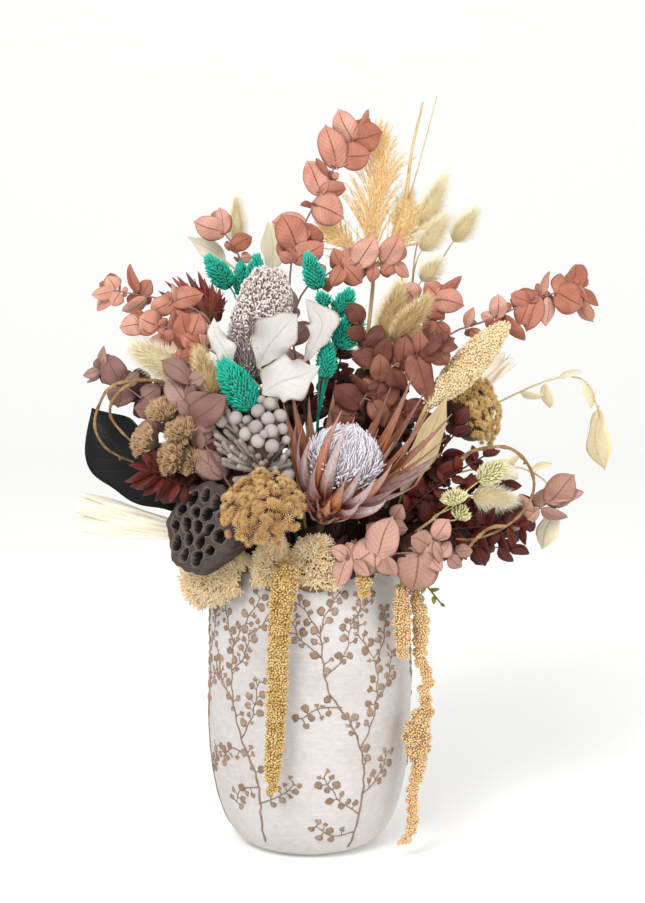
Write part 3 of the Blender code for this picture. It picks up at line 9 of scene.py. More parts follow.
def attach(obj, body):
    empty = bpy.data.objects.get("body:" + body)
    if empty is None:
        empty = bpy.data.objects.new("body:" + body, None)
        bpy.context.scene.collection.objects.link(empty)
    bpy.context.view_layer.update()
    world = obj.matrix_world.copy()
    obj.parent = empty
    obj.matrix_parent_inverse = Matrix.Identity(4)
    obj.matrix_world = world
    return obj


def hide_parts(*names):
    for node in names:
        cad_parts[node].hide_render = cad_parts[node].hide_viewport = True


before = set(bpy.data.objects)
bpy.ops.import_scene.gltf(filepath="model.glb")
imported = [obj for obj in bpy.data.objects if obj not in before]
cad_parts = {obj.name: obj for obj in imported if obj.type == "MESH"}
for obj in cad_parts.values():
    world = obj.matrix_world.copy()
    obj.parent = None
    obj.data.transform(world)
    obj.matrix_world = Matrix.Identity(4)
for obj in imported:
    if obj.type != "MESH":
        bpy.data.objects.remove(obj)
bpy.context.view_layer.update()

# The looks of a dried flower arrangement in a ceramic vase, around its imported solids.
# Metres, Z up; the arrangement faces -Y and the vase stands on the origin.

chance = np.random.default_rng(11)
mm = 0.001
upright = np.array((0.0, 0.0, 1.0))
goldenTurn = math.pi * (3 - math.sqrt(5))
anyTurn = (0, 6.3)

# The layout is given as it is seen from the front: across and down in steps of 1 mm on the plane
# through the vase's axis, and depth in millimetres behind that plane.
front = dict(eye=(0.013, -1.700, 0.576), pitch=6.04, focal=1709.5, middle=(322.5, 451.5), lens=68.15)
eye = np.array(front["eye"])
tilt = math.radians(front["pitch"])
up = np.array((0.0, math.sin(tilt), math.cos(tilt)))
forward = np.array((0.0, math.cos(tilt), -math.sin(tilt)))


def unit(vectors):
    vectors = np.asarray(vectors, float)
    return vectors / np.linalg.norm(vectors, axis=-1, keepdims=True)


def spots(points):
    # a ray from the eye through (across, down), cut where it is depth behind the vase's axis
    points = np.asarray(points, float)
    level = (points[..., :1] - front["middle"][0]) * np.array((1.0, 0.0, 0.0))
    ray = level + (front["middle"][1] - points[..., 1:2]) * up + front["focal"] * forward
    return eye + ray * (points[..., 2:3] * mm - eye[1]) / ray[..., 1:2]


def seen(points):
    # the other way: places to (across, down)
    offset = points - eye
    far = offset @ forward
    sideways = front["middle"][0] + front["focal"] * offset[..., 0] / far
    return np.stack([sideways, front["middle"][1] - front["focal"] * (offset @ up) / far], -1)


def crossAxes(axis):
    # two directions square to an axis
    level = np.where(np.abs(axis[..., 2:]) < 0.9, (0.0, 0.0, 1.0), (1.0, 0.0, 0.0))
    side = unit(np.cross(axis, level))
    return side, np.cross(axis, side)


def radialOf(axis, turn):
    # the direction square to an axis at a turn about it, or one for each of several turns
    side, other = crossAxes(axis)
    turn = np.asarray(turn, float)[..., None]
    return np.cos(turn) * side + np.sin(turn) * other


def turned(vector, axis, angle):
    # Rodrigues' turn of a vector about a unit axis
    kept = axis * (axis @ vector) * (1 - math.cos(angle))
    return vector * math.cos(angle) + np.cross(axis, vector) * math.sin(angle) + kept


def bezier(points, count):
    # a curve of three or four control points, in Bernstein's form
    t = np.linspace(0, 1, count)[:, None]
    degree = len(points) - 1
    terms = [math.comb(degree, k) * (1 - t) ** (degree - k) * t ** k * np.asarray(points[k], float)
             for k in range(degree + 1)]
    return sum(terms)


def smooth(points, count):
    # a Catmull-Rom curve through the points, read at even steps of its parameter
    points = np.asarray(points, float)
    ends = np.vstack([2 * points[0] - points[1], points, 2 * points[-1] - points[-2]])
    step = np.linspace(0, len(points) - 1, count)
    i = np.minimum(step.astype(int), len(points) - 2)
    t = (step - i)[:, None]
    a, b, c, d = ends[i], ends[i + 1], ends[i + 2], ends[i + 3]
    rest = (2 * a - 5 * b + 4 * c - d) * t ** 2
    return 0.5 * (2 * b + (c - a) * t + rest + (3 * b - a - 3 * c + d) * t ** 3)


def along(path, steps):
    # points of a polyline at shares of its index, from 0 to 1
    steps = np.asarray(steps, float) * (len(path) - 1)
    low = np.minimum(steps.astype(int), len(path) - 2)
    share = (steps - low)[..., None]
    return path[low] * (1 - share) + path[low + 1] * share


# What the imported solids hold: of several places that a piece could have, the nearest to its solid.
trees = {}


def gap(node, points):
    # the largest distance from the points to a node's solid
    if node not in trees:
        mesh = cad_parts[node].data
        corners = [vertex.co for vertex in mesh.vertices]
        trees[node] = BVHTree.FromPolygons(corners, [face.vertices[:] for face in mesh.polygons])
    return max(trees[node].find_nearest(Vector(point))[3] for point in points)


def held(node, choices, probe=lambda choice: choice):
    return min(choices, key=lambda choice: gap(node, probe(choice)))


def shifted(points):
    # seen points at several depths, to choose from
    return [spots(np.array(points, float) + (0, 0, shift)) for shift in shifts]


# Stems stand in holes of the foam, which lean out like the ribs of a fan.
holes = dict(spacing=15.0, reach=82.0, top=262.0, depth=46.0, fan=165.0, clear=8.0, inside=86.0)
bows = [(0, 0)] + [(reach * math.cos(turn), reach * math.sin(turn))
                   for reach in (10, 20, 32) for turn in np.radians(np.arange(0, 360, 45))]
aside = [np.array((x, y, 0)) * mm for x, y in bows]
shifts = (0, 6, -6, 12, -12, 18, -18, 24, -24, 32, -32, 40)


def holeField():
    # rows of holes, every other one half a step aside
    rows = int(holes["reach"] / holes["spacing"]) + 1
    row, column = np.meshgrid(np.arange(-rows, rows + 1), np.arange(-rows - 1, rows + 2), indexing="ij")
    x = (column + 0.5 * (row % 2)) * holes["spacing"]
    y = row * holes["spacing"] * math.sqrt(3) / 2
    field = np.stack([x, y, np.full(x.shape, holes["top"])], -1).reshape(-1, 3)
    return field[np.hypot(field[:, 0], field[:, 1]) < holes["reach"]] * mm


def lean(feet):
    return unit(np.concatenate([feet[..., :2], np.full(feet[..., :1].shape, holes["fan"] * mm)], -1))


def footOf(node):
    # the hole that a node's stem stands in, from the lowest of its points inside the vase
    points = np.array([vertex.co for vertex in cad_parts[node].data.vertices])
    points = points[np.hypot(points[:, 0], points[:, 1]) < holes["inside"] * mm]
    lowest = points[points[:, 2].argsort()[:3]].mean(0)
    field = holeField()
    starts = field - lean(field) * holes["depth"] * mm
    return field[np.linalg.norm(starts - lowest, axis=1).argmin()]


def route(foot, way, enter, side):
    # out of its hole along the fan, then one curve to the first point of its way
    rise = foot + lean(foot) * holes["clear"] * mm
    span = np.linalg.norm(way[0] - rise)
    first = rise + lean(foot) * span * 0.4 + side
    second = way[0] - enter * min(span * 0.35, 0.045) + side * 0.5
    return np.vstack([bezier((rise, first, second, way[0]), 4), way[1:]])


def stemPath(node, choices):
    # the stem of a node: of all ways and bows, the one that its solid holds
    foot = footOf(node)
    paths = [route(foot, np.asarray(way, float), enter, side) for way, enter in choices for side in aside]
    path = held(node, paths, lambda path: np.vstack([path[1:], (path[1:] + path[:-1]) / 2]))
    return np.vstack([foot - lean(foot) * holes["depth"] * mm, path])


class Heap:
    # what one piece is made of: points, faces of three or four corners, the paint of each face, and
    # at each point its shape's own tone, how far along the shape it lies, and how far across

    def __init__(self):
        self.points, self.faces, self.paints, self.grain, self.count = [], [], [], [], 0

    def add(self, shape, tone=0.5, paint=0):
        points, faces, alongs, acrosses = shape
        copies = points.reshape(-1, points.shape[-2], 3)
        number, size = copies.shape[:2]
        shift = self.count + size * np.arange(number)[:, None, None]
        self.faces.append(np.where(faces < 0, -1, faces + shift).reshape(-1, 4))
        self.paints.append(np.tile(np.broadcast_to(paint, len(faces)), number))
        grain = np.zeros((number, size, 3))
        grain[..., 0] = np.reshape(tone, (-1, 1))
        grain[..., 1] = alongs
        grain[..., 2] = acrosses
        self.grain.append(grain.reshape(-1, 3))
        self.points.append(copies.reshape(-1, 3))
        self.count += number * size


def makePiece(name, heap, coats, *nodes):
    # a mesh from a heap, with its paints by name, in place of the solids that it stands for
    faces, slots = np.concatenate(heap.faces), np.concatenate(heap.paints)
    isTriangle = faces[:, 3] < 0
    quads, triangles = faces[~isTriangle], faces[isTriangle][:, :3]
    slots = np.concatenate([slots[~isTriangle], slots[isTriangle]])
    corners = np.concatenate([quads.ravel(), triangles.ravel()])
    starts = np.concatenate([4 * np.arange(len(quads)), 4 * len(quads) + 3 * np.arange(len(triangles))])
    mesh = bpy.data.meshes.new(name)
    mesh.vertices.add(heap.count)
    mesh.vertices.foreach_set("co", np.concatenate(heap.points).ravel().astype(np.float32))
    mesh.loops.add(len(corners))
    mesh.loops.foreach_set("vertex_index", corners.astype(np.int32))
    mesh.polygons.add(len(starts))
    mesh.polygons.foreach_set("loop_start", starts.astype(np.int32))
    mesh.polygons.foreach_set("material_index", slots.astype(np.int32))
    mesh.update(calc_edges=True)
    grain = mesh.attributes.new("grain", "FLOAT_VECTOR", "POINT")
    grain.data.foreach_set("vector", np.concatenate(heap.grain).ravel().astype(np.float32))
    for coat in coats.split():
        mesh.materials.append(paints[coat])
    mesh.shade_smooth()
    piece = bpy.data.objects.new(name, mesh)
    bpy.context.scene.collection.objects.link(piece)
    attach(piece, "root")
    if nodes:
        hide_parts(*nodes)
    return piece


def ringFaces(rows, around):
    # faces over rings of equal count, each end closed by a fan to a point of its own
    index = np.arange(rows * around).reshape(rows, around)
    ahead = np.roll(index, -1, 1)
    body = np.stack([index[:-1], ahead[:-1], ahead[1:], index[1:]], -1).reshape(-1, 4)
    none = np.full(around, -1)
    first = np.stack([np.full(around, rows * around), ahead[0], index[0], none], -1)
    last = np.stack([np.full(around, rows * around + 1), index[-1], ahead[-1], none], -1)
    return np.concatenate([body, first, last])


def sheetFaces(rows, columns):
    # faces of a front and a back sheet, closed round their edges
    index = np.arange(rows * columns).reshape(rows, columns)
    sheet = np.stack([index[:-1, :-1], index[:-1, 1:], index[1:, 1:], index[1:, :-1]], -1).reshape(-1, 4)
    edge = np.concatenate([index[0, :-1], index[:-1, -1], index[-1, :0:-1], index[:0:-1, 0]])
    after = np.roll(edge, -1)
    back = rows * columns
    rim = np.stack([after, edge, edge + back, after + back], -1)
    return np.concatenate([sheet, sheet[:, ::-1] + back, rim])


def closedSheet(middle, thick, v, u):
    # a front and a back sheet on either side of a middle one, as one closed shape
    points = np.concatenate([(middle - thick).reshape(-1, 3), (middle + thick).reshape(-1, 3)])
    v, u = np.broadcast_arrays(v, u)
    return points, sheetFaces(*v.shape), np.tile(v.ravel(), 2), np.tile(u.ravel(), 2)


def frames(path):
    # tangents, and two directions square to them, started from the axis that they lean on least
    ahead = unit(np.gradient(path, axis=0))
    least = np.linalg.svd(ahead, full_matrices=False)[2][-1]
    side = unit(least - (ahead @ least)[:, None] * ahead)
    return ahead, side, np.cross(ahead, side)


def tube(path, radii, around=8):
    # path(v) + radius(v, a) (cos a side + sin a other), closed at both ends
    path = np.asarray(path, float)
    radii = np.asarray(radii, float)
    radii = radii[:, None] if radii.ndim == 1 else radii
    reach = np.broadcast_to(radii, (len(path), around))[..., None]
    _, side, other = frames(path)
    turn = 2 * math.pi * np.arange(around)[None, :, None] / around
    rings = path[:, None] + reach * (np.cos(turn) * side[:, None] + np.sin(turn) * other[:, None])
    points = np.concatenate([rings.reshape(-1, 3), path[:1], path[-1:]])
    share = np.linspace(0, 1, len(path))
    return points, ringFaces(len(path), around), np.append(np.repeat(share, around), (0, 1)), 0.0


def stick(radii, around):
    # a small tube along Z from 0 to 1, used many times over
    rise = np.linspace(0, 1, len(radii))
    return tube(np.stack([0 * rise, 0 * rise, rise], 1), radii, around)


def bead(rings, around):
    # a ball of radius 1 round the origin
    turn = math.pi * (np.arange(rings) + 0.5) / rings
    path = np.stack([0 * turn, 0 * turn, -np.cos(turn)], 1)
    points, faces, alongs, acrosses = tube(path, np.sin(turn), around)
    points[-2:, 2] = (-1, 1)
    return points, faces, alongs, acrosses


def scatter(shape, places, ahead, size, thick=None, spin=0.0):
    # copies of a small shape: its Z laid along ahead and scaled by size, its X and Y by thick
    points, faces, alongs, acrosses = shape
    thick = size if thick is None else thick
    side, other = crossAxes(ahead)
    spin = np.broadcast_to(spin, len(places))[:, None]
    side, other = side * np.cos(spin) + other * np.sin(spin), other * np.cos(spin) - side * np.sin(spin)
    thick = np.broadcast_to(thick, len(places))[:, None, None]
    size = np.broadcast_to(size, len(places))[:, None, None]
    sideways = points[:, :1] * side[:, None] + points[:, 1:2] * other[:, None]
    copies = places[:, None] + thick * sideways + size * points[:, 2:] * ahead[:, None]
    return copies, faces, alongs, acrosses


def leafShape(base, tip, face, wide, form, sway):
    # base + length (v - lobe) ahead + u half(v) side + (arch(v) - fall |u| + wave) face, as a thin closed
    # sheet; half(v) = v^round (1 - v)^point, set to 1 at its widest, and lobe |u|^1.5 (1 - v)^4; the
    # blade ends before its tip, which is drawn out to a point
    rows, columns = form["grid"]
    v = (0.5 - 0.5 * np.cos(np.pi * np.linspace(0, 1, rows)))[:, None]
    u = np.linspace(-1, 1, columns)
    length, ahead = np.linalg.norm(tip - base), unit(tip - base)
    face = unit(face - (face @ ahead) * ahead)
    side = np.cross(face, ahead)
    stalk = form.get("stalk", 0.0)
    w = np.clip((v - stalk) / (1 - stalk), 0, 1)
    low, high = form["round"], form["point"]
    peak = (low / (low + high)) ** low * (high / (low + high)) ** high
    last = form.get("tip", 0.0)
    blade = np.clip(w / (1 - last), 0, 1)
    blade = blade ** low * (1 - blade) ** high / peak
    drawn = 0.22 * np.clip((1 - w) / (2.4 * last + 1e-6), 0, 1) * (w > 0.7) if last else 0.0
    half = wide / 2 * (np.maximum(blade, drawn) + 0.03)
    bend = form["arch"] * length * 4 * v * (1 - v) - form["fall"] * half * np.abs(u) ** 1.5
    bend = bend + form["wave"] * half * np.abs(u) * np.sin(2 * np.pi * (form["waves"] * v + sway) + 2 * u)
    drift = form.get("drift", 0.0) * length * np.sin(np.pi * v + 7 * sway) * v
    back = form.get("lobe", 0.0) * np.abs(u) ** 1.5 * (1 - v) ** 4
    lay = (length * (v - back))[..., None] * ahead + (u * half + drift)[..., None] * side
    return closedSheet(base + lay + bend[..., None] * face, form["thick"] * mm / 2 * face, v, u)


def facing(base, tip, roll):
    # the way that a leaf faces: towards the eye, turned by roll about the leaf
    ahead, look = unit(tip - base), unit(eye - base)
    face = unit(look - (look @ ahead) * ahead)
    return math.cos(roll) * face + math.sin(roll) * np.cross(ahead, face)


# The studio's light adds a little to every colour; this share takes it off again.
studioGain = 1.18


class Wire:
    # an output socket: Python's operators on it add Math nodes to its material

    def __init__(self, paint, socket):
        self.paint, self.socket = paint, socket

    def __add__(self, other):
        return self.paint.maths("ADD", self, other)

    def __sub__(self, other):
        return self.paint.maths("SUBTRACT", self, other)

    def __rsub__(self, other):
        return self.paint.maths("SUBTRACT", other, self)

    def __mul__(self, other):
        return self.paint.maths("MULTIPLY", self, other)

    def __abs__(self):
        return self.paint.maths("ABSOLUTE", self)

    def fraction(self):
        return self.paint.maths("FRACT", self)

    def clamped(self):
        return self.paint.maths("MINIMUM", self.paint.maths("MAXIMUM", self, 0.0), 1.0)

    __radd__ = __add__
    __rmul__ = __mul__


def tint(colour):
    # a colour as it looks in the studio, from 0 to 1, made linear; a wire is left as it is
    if isinstance(colour, Wire):
        return colour
    linear = [((part + 0.055) / 1.055) ** 2.4 if part > 0.04 else part / 12.92 for part in colour]
    return tuple(part / studioGain for part in linear)


class Paint:
    # a material with a Principled shader, built up from expressions

    def __init__(self, name):
        self.material = bpy.data.materials.new(name)
        self.material.use_nodes = True
        self.tree = self.material.node_tree
        self.shader = self.tree.nodes["Principled BSDF"]

    def feed(self, socket, value):
        if isinstance(value, Wire):
            self.tree.links.new(value.socket, socket)
        elif socket.type == "RGBA":
            socket.default_value = (*value, 1.0)
        else:
            socket.default_value = value

    def node(self, kind, settings, sockets, output=0):
        # any node: its settings first, then the values or wires of its sockets
        made = self.tree.nodes.new("ShaderNode" + kind)
        for key, value in settings.items():
            if key != "stops":
                setattr(made, key, value)
                continue
            ramp = made.color_ramp
            for _ in value[2:]:
                ramp.elements.new(0.5)
            for element, (place, colour) in zip(ramp.elements, value):
                element.position = place
                element.color = (*colour, 1.0)
        for key, value in sockets.items():
            self.feed(made.inputs[key], value)
        return Wire(self, made.outputs[output])

    def maths(self, operation, *values):
        return self.node("Math", dict(operation=operation), dict(enumerate(values)))

    def grain(self):
        # the tone of a shape, how far along it a point lies, and how far across
        vector = self.node("Attribute", dict(attribute_name="grain"), {}, "Vector")
        split = self.node("SeparateXYZ", {}, {0: vector})
        return [Wire(self, socket) for socket in split.socket.node.outputs]

    def noise(self, scale, detail=3.0, rough=0.55, stretch=None):
        place = self.node("TexCoord", {}, {}, "Object")
        if stretch:
            place = self.node("Mapping", {}, {"Vector": place, "Scale": (1.0, 1.0, stretch)})
        sockets = {"Vector": place, "Scale": scale, "Detail": detail, "Roughness": rough}
        return self.node("TexNoise", {}, sockets)

    def fade(self, value, full, none):
        # 1 where the value is at full, smoothly down to 0 at none
        sockets = {"Value": value, "From Min": full, "From Max": none, "To Min": 1.0, "To Max": 0.0}
        return self.node("MapRange", dict(interpolation_type="SMOOTHSTEP"), sockets)

    def mix(self, share, first, second):
        return self.node("Mix", dict(data_type="RGBA"), {0: share, 6: tint(first), 7: tint(second)}, 2)

    def ramp(self, value, tones, low=0.0, middle=0.5, high=1.0):
        # two or three tones over the value from low to high
        places = (low, middle, high) if len(tones) == 3 else (low, high)
        return self.node("ValToRGB", dict(stops=list(zip(places, map(tint, tones)))), {0: value})

    def bump(self, height, strength, distance):
        return self.node("Bump", {}, {"Height": height, "Strength": strength, "Distance": distance * mm})

    def finish(self, **sockets):
        for name, value in sockets.items():
            self.feed(self.shader.inputs[name.replace("_", " ")], value)
        return self.material


def leafPaint(name, deep, vein, *tones, rough=0.6, middle=0.5, veins=8.0, specks=0.5, ribs=1.0, edge=0.35,
              lace=None):
    # tones by leaf and by blotch, a midrib, slanting side veins, a worn edge and fine specks
    paint = Paint(name)
    tone, v, u = paint.grain()
    across = abs(u)
    blotch = paint.noise(60.0, 4.0)
    colour = paint.ramp((tone * 0.7 + blotch * 0.7 - 0.2).clamped(), tones, middle=middle)
    speck = paint.noise(1400.0, 2.0)
    colour = paint.mix((speck * 0.5).clamped() * specks, colour, deep)
    slant = (v * veins - across * 2.6).fraction()
    veins = paint.fade(abs(slant - 0.5), 0.02, 0.12) * paint.fade(across, 0.75, 1.0)
    rib = paint.fade(across, 0.02, 0.075)
    colour = paint.mix((veins * 0.28 + rib * 0.75).clamped() * ribs, colour, vein)
    colour = paint.mix(paint.fade(across, 1.0, 0.82) * edge, colour, deep)
    height = rib * 0.8 + veins * 0.35 + speck * 0.5
    if lace:
        # a leaf that has lost its flesh lets light through between its veins
        paint.finish(Alpha=(veins * 0.3 + rib + paint.fade(across, 1.0, 0.8) + blotch * 0.2 + lace).clamped())
    return paint.finish(Base_Color=colour, Roughness=rough + blotch * 0.12, Specular_IOR_Level=0.35,
                        Normal=paint.bump(height, 0.55, 0.5))


def stalkPaint(name, pale, deep):
    # a dried stalk: streaks along it and darker patches
    paint = Paint(name)
    streak = paint.noise(500.0, stretch=0.12)
    patch = paint.noise(45.0)
    colour = paint.mix((streak * 0.9 + patch * 0.6 - 0.35).clamped(), deep, pale)
    return paint.finish(Base_Color=colour, Roughness=0.6, Normal=paint.bump(streak, 0.5, 0.4))


def fluffPaint(name, root, tip, other, through=0.0):
    # hairs, scales or florets: from root to tip along each, and a second tip tone for some of them;
    # some glow evenly in their own colour, painted light that stands for the light fine pale fibres let
    # through from behind
    paint = Paint(name)
    tone, v, _ = paint.grain()
    drift = paint.noise(70.0)
    ends = paint.mix((tone * 0.9 + drift * 0.5 - 0.3).clamped(), tip, other)
    colour = paint.mix(paint.fade(v, 0.0, 0.7), ends, root)
    speck = paint.noise(1600.0, 2.0)
    # painted light: the hairs glow evenly in their own colour
    if through:
        paint.finish(Emission_Color=colour, Emission_Strength=through)
    return paint.finish(Base_Color=colour, Roughness=0.75, Specular_IOR_Level=0.3, Sheen_Weight=0.25,
                        Sheen_Roughness=0.4, Normal=paint.bump(speck, 0.3, 0.3))


def seedPaint(name, *tones, rough=0.6, middle=0.5, speckle=900.0, strength=0.5, through=0.0):
    # small seeds or florets, each of its own tone, with a mottled skin
    paint = Paint(name)
    tone, v, _ = paint.grain()
    drift = paint.noise(55.0)
    skin = paint.noise(speckle)
    colour = paint.ramp((tone * 0.65 + drift * 0.45 + skin * 0.3 - 0.2).clamped(), tones, middle=middle)
    colour = paint.mix(paint.fade(v, 0.0, 0.4) * 0.5, colour, tones[0])
    # painted light: the seeds or threads glow evenly in their own colour
    if through:
        paint.finish(Emission_Color=colour, Emission_Strength=through)
    return paint.finish(Base_Color=colour, Roughness=rough, Specular_IOR_Level=0.3,
                        Normal=paint.bump(skin, strength, 0.5))


# The colours of each finish. A leaf has a deep colour, one for its veins, and its tones; a stalk a pale
# and a deep one; hairs a root, a tip and a second tip; seeds their tones.
leafLooks = dict(
    rust=("rust leaf", (0.42, 0.17, 0.10), (0.46, 0.22, 0.17), (0.62, 0.34, 0.24), (0.81, 0.54, 0.45),
        (0.95, 0.76, 0.68), {}),
    rustBack=("rust leaf's back", (0.36, 0.14, 0.08), (0.70, 0.42, 0.32), (0.44, 0.20, 0.12),
        (0.60, 0.31, 0.20), (0.74, 0.45, 0.33), {}),
    mauve=("mauve leaf", (0.38, 0.23, 0.19), (0.44, 0.29, 0.27), (0.46, 0.32, 0.28), (0.61, 0.47, 0.43),
        (0.75, 0.62, 0.57), dict(rough=0.65)),
    rose=("rose leaf", (0.42, 0.24, 0.20), (0.48, 0.30, 0.27), (0.57, 0.41, 0.35), (0.77, 0.59, 0.52),
        (0.89, 0.70, 0.63), dict(rough=0.65)),
    mauveBack=("mauve leaf's back", (0.28, 0.14, 0.12), (0.62, 0.46, 0.42), (0.38, 0.22, 0.19),
        (0.50, 0.33, 0.29), (0.62, 0.45, 0.41), dict(rough=0.65)),
    brown=("brown leaf", (0.22, 0.10, 0.08), (0.34, 0.18, 0.16), (0.28, 0.13, 0.09), (0.48, 0.26, 0.19),
        (0.69, 0.45, 0.36), dict(rough=0.55)),
    # near-black paint for the leaves low inside the sprays: painted shade within the foliage
    dark=("dark leaf", (0.09, 0.04, 0.03), (0.30, 0.16, 0.12), (0.15, 0.05, 0.04), (0.34, 0.14, 0.10),
        dict(rough=0.7)),
    red=("dark red leaf", (0.18, 0.04, 0.03), (0.50, 0.20, 0.14), (0.22, 0.05, 0.03), (0.37, 0.10, 0.05),
        (0.54, 0.20, 0.11), dict(rough=0.5, middle=0.6)),
    bleached=("bleached leaf", (0.62, 0.52, 0.40), (0.70, 0.66, 0.62), (0.76, 0.75, 0.73),
        (0.82, 0.81, 0.79), (0.87, 0.86, 0.85), dict(rough=0.7, veins=6.0, specks=0.15, ribs=0.7,
        edge=0.7)),
    felt=("felted underside", (0.36, 0.30, 0.20), (0.72, 0.66, 0.54), (0.46, 0.42, 0.30),
        (0.68, 0.62, 0.48), dict(rough=0.8)),
    cream=("cream leaf", (0.86, 0.78, 0.60), (0.88, 0.80, 0.62), (0.92, 0.88, 0.74), (0.96, 0.93, 0.83),
        (0.99, 0.97, 0.90), dict(veins=14.0, specks=0.2, edge=0.4)),
    skeleton=("skeleton leaf", (0.97, 0.88, 0.64), (0.96, 0.86, 0.60), (1.0, 0.88, 0.62), (1.0, 0.94, 0.77),
        (1.0, 0.98, 0.91), dict(rough=0.5, veins=12.0, specks=0.15, edge=0.5, lace=0.44)),
    husk=("tan spear leaf", (0.62, 0.50, 0.34), (0.66, 0.54, 0.38), (0.70, 0.60, 0.44), (0.86, 0.78, 0.62),
        (0.96, 0.91, 0.78), dict(veins=16.0, specks=0.4, edge=0.4)),
    sprig=("green sprig", (0.25, 0.24, 0.08), (0.6, 0.55, 0.2), (0.36, 0.36, 0.12), (0.66, 0.60, 0.24),
        dict(rough=0.55)),
)
stalkLooks = dict(
    twig=("pink grey stem", (0.70, 0.58, 0.58), (0.42, 0.28, 0.28), {}),
    straw=("straw", (0.95, 0.86, 0.66), (0.76, 0.62, 0.40), {}),
    greenStraw=("green stalk", (0.55, 0.50, 0.30), (0.34, 0.29, 0.16), {}),
    tealStalk=("teal stalk", (0.08, 0.74, 0.62), (0.02, 0.48, 0.40), {}),
    ivoryStalk=("ivory stalk", (0.92, 0.86, 0.70), (0.80, 0.68, 0.46), {}),
    redStalk=("dark red stalk", (0.42, 0.15, 0.10), (0.22, 0.06, 0.05), {}),
    brownStalk=("brown stalk", (0.45, 0.34, 0.26), (0.24, 0.16, 0.12), {}),
)
fluffLooks = dict(
    teal=("teal scales", (0.0, 0.40, 0.34), (0.0, 0.72, 0.60), (0.12, 0.86, 0.74), {}),
    pale=("pale green scales", (0.70, 0.68, 0.38), (0.91, 0.90, 0.66), (0.98, 0.96, 0.80), {}),
    # the soft hairs, the pale hairs and the plume are given a glow: painted light in their own colour
    bunny=("soft hairs", (0.84, 0.68, 0.42), (0.96, 0.84, 0.60), (1.0, 0.94, 0.78), dict(through=0.08)),
    bunnyPale=("pale soft hairs", (0.98, 0.90, 0.66), (1.0, 0.96, 0.82), (1.0, 0.99, 0.92),
               dict(through=0.14)),
    gold=("golden plume", (0.98, 0.78, 0.48), (1.0, 0.88, 0.62), (1.0, 0.95, 0.80), dict(through=0.20)),
    banksiaTip=("banksia florets", (0.72, 0.60, 0.60), (0.93, 0.87, 0.85), (1.0, 0.97, 0.93), {}),
    banksiaSide=("banksia styles", (0.28, 0.22, 0.22), (0.72, 0.63, 0.67), (0.88, 0.80, 0.80), {}),
    banksiaBit=("banksia bits", (0.56, 0.50, 0.36), (0.88, 0.84, 0.68), (0.96, 0.94, 0.85), {}),
    dome=("protea hairs", (0.76, 0.72, 0.75), (0.94, 0.92, 0.95), (1.0, 0.99, 1.0), {}),
    yarrowTip=("yarrow florets", (0.74, 0.46, 0.16), (1.0, 0.77, 0.44), (1.0, 0.90, 0.64), {}),
    yarrowPink=("dusky yarrow", (0.50, 0.31, 0.19), (0.85, 0.61, 0.43), (0.97, 0.81, 0.58), {}),
    yarrowBrush=("yarrow brushes", (0.16, 0.17, 0.07), (0.74, 0.58, 0.42), (0.93, 0.78, 0.60), {}),
    underside=("yarrow branches", (0.22, 0.15, 0.08), (0.40, 0.31, 0.18), (0.56, 0.45, 0.29), {}),
)
seedLooks = dict(
    yarrowEye=("yarrow centres", (0.78, 0.60, 0.30), (0.98, 0.86, 0.54), {}),
    rope=("amaranthus seeds", (0.68, 0.53, 0.27), (0.90, 0.75, 0.47), (0.99, 0.92, 0.70), dict(middle=0.45)),
    ropePink=("tan amaranthus seeds", (0.78, 0.58, 0.41), (0.98, 0.83, 0.61), (1.0, 0.96, 0.80), {}),
    millet=("millet seeds", (0.92, 0.76, 0.52), (0.99, 0.89, 0.70), (1.0, 0.98, 0.88), {}),
    ball=("brunia balls", (0.50, 0.45, 0.43), (0.69, 0.65, 0.63), (0.80, 0.77, 0.75),
          dict(rough=0.85, speckle=1500.0, strength=0.8)),
    finger=("brunia fingers", (0.38, 0.34, 0.30), (0.62, 0.57, 0.53), (0.82, 0.78, 0.74),
            dict(rough=0.85, speckle=1500.0, strength=1.0)),
    # the moss threads are given a faint glow: painted light in their own colour
    moss=("reindeer moss", (0.90, 0.75, 0.54), (1.0, 0.90, 0.72), (1.0, 0.97, 0.86),
          dict(rough=0.85, middle=0.45, through=0.09)),
    # the ground under the moss threads: darker tones that are painted shade between the threads
    mossGround=("moss ground", (0.48, 0.39, 0.27), (0.76, 0.67, 0.52), dict(rough=0.95)),
)
paints = {}
for makePaint, looks in ((leafPaint, leafLooks), (stalkPaint, stalkLooks), (fluffPaint, fluffLooks),
                         (seedPaint, seedLooks)):
    for key, (*look, extras) in looks.items():
        paints[key] = makePaint(*look, **extras)


def roundTube(path, radius, around=8, steps=3, taper=1.0):
    # a stem through the points of a polyline, a little thinner at its far end
    curve = smooth(path, steps * (len(path) - 1) + 1)
    return tube(curve, np.linspace(radius, radius * taper, len(curve)) * mm, around)


def addStem(heap, node, way, enter, radius, paint=0):
    # the stem of a node, from its hole to the first points of its way
    heap.add(roundTube(stemPath(node, [(way, enter)]), radius), 0.4, paint)


def ballSpots(number, span=2.0):
    # even places on a ball of radius 1 by the golden turn, from its top down over the span
    height = 1 - span * (np.arange(number) + 0.5) / number
    ring, turn = np.sqrt(1 - height ** 2), goldenTurn * np.arange(number)
    return np.stack([ring * np.cos(turn), ring * np.sin(turn), height], 1)


def merged(shapes):
    # several shapes as one
    shift = np.cumsum([0] + [len(shape[0]) for shape in shapes])
    faces = [np.where(shape[1] < 0, -1, shape[1] + start) for shape, start in zip(shapes, shift)]
    grains = [[np.broadcast_to(shape[k], len(shape[0])) for shape in shapes] for k in (2, 3)]
    return (np.concatenate([shape[0] for shape in shapes]), np.concatenate(faces),
            np.concatenate(grains[0]), np.concatenate(grains[1]))


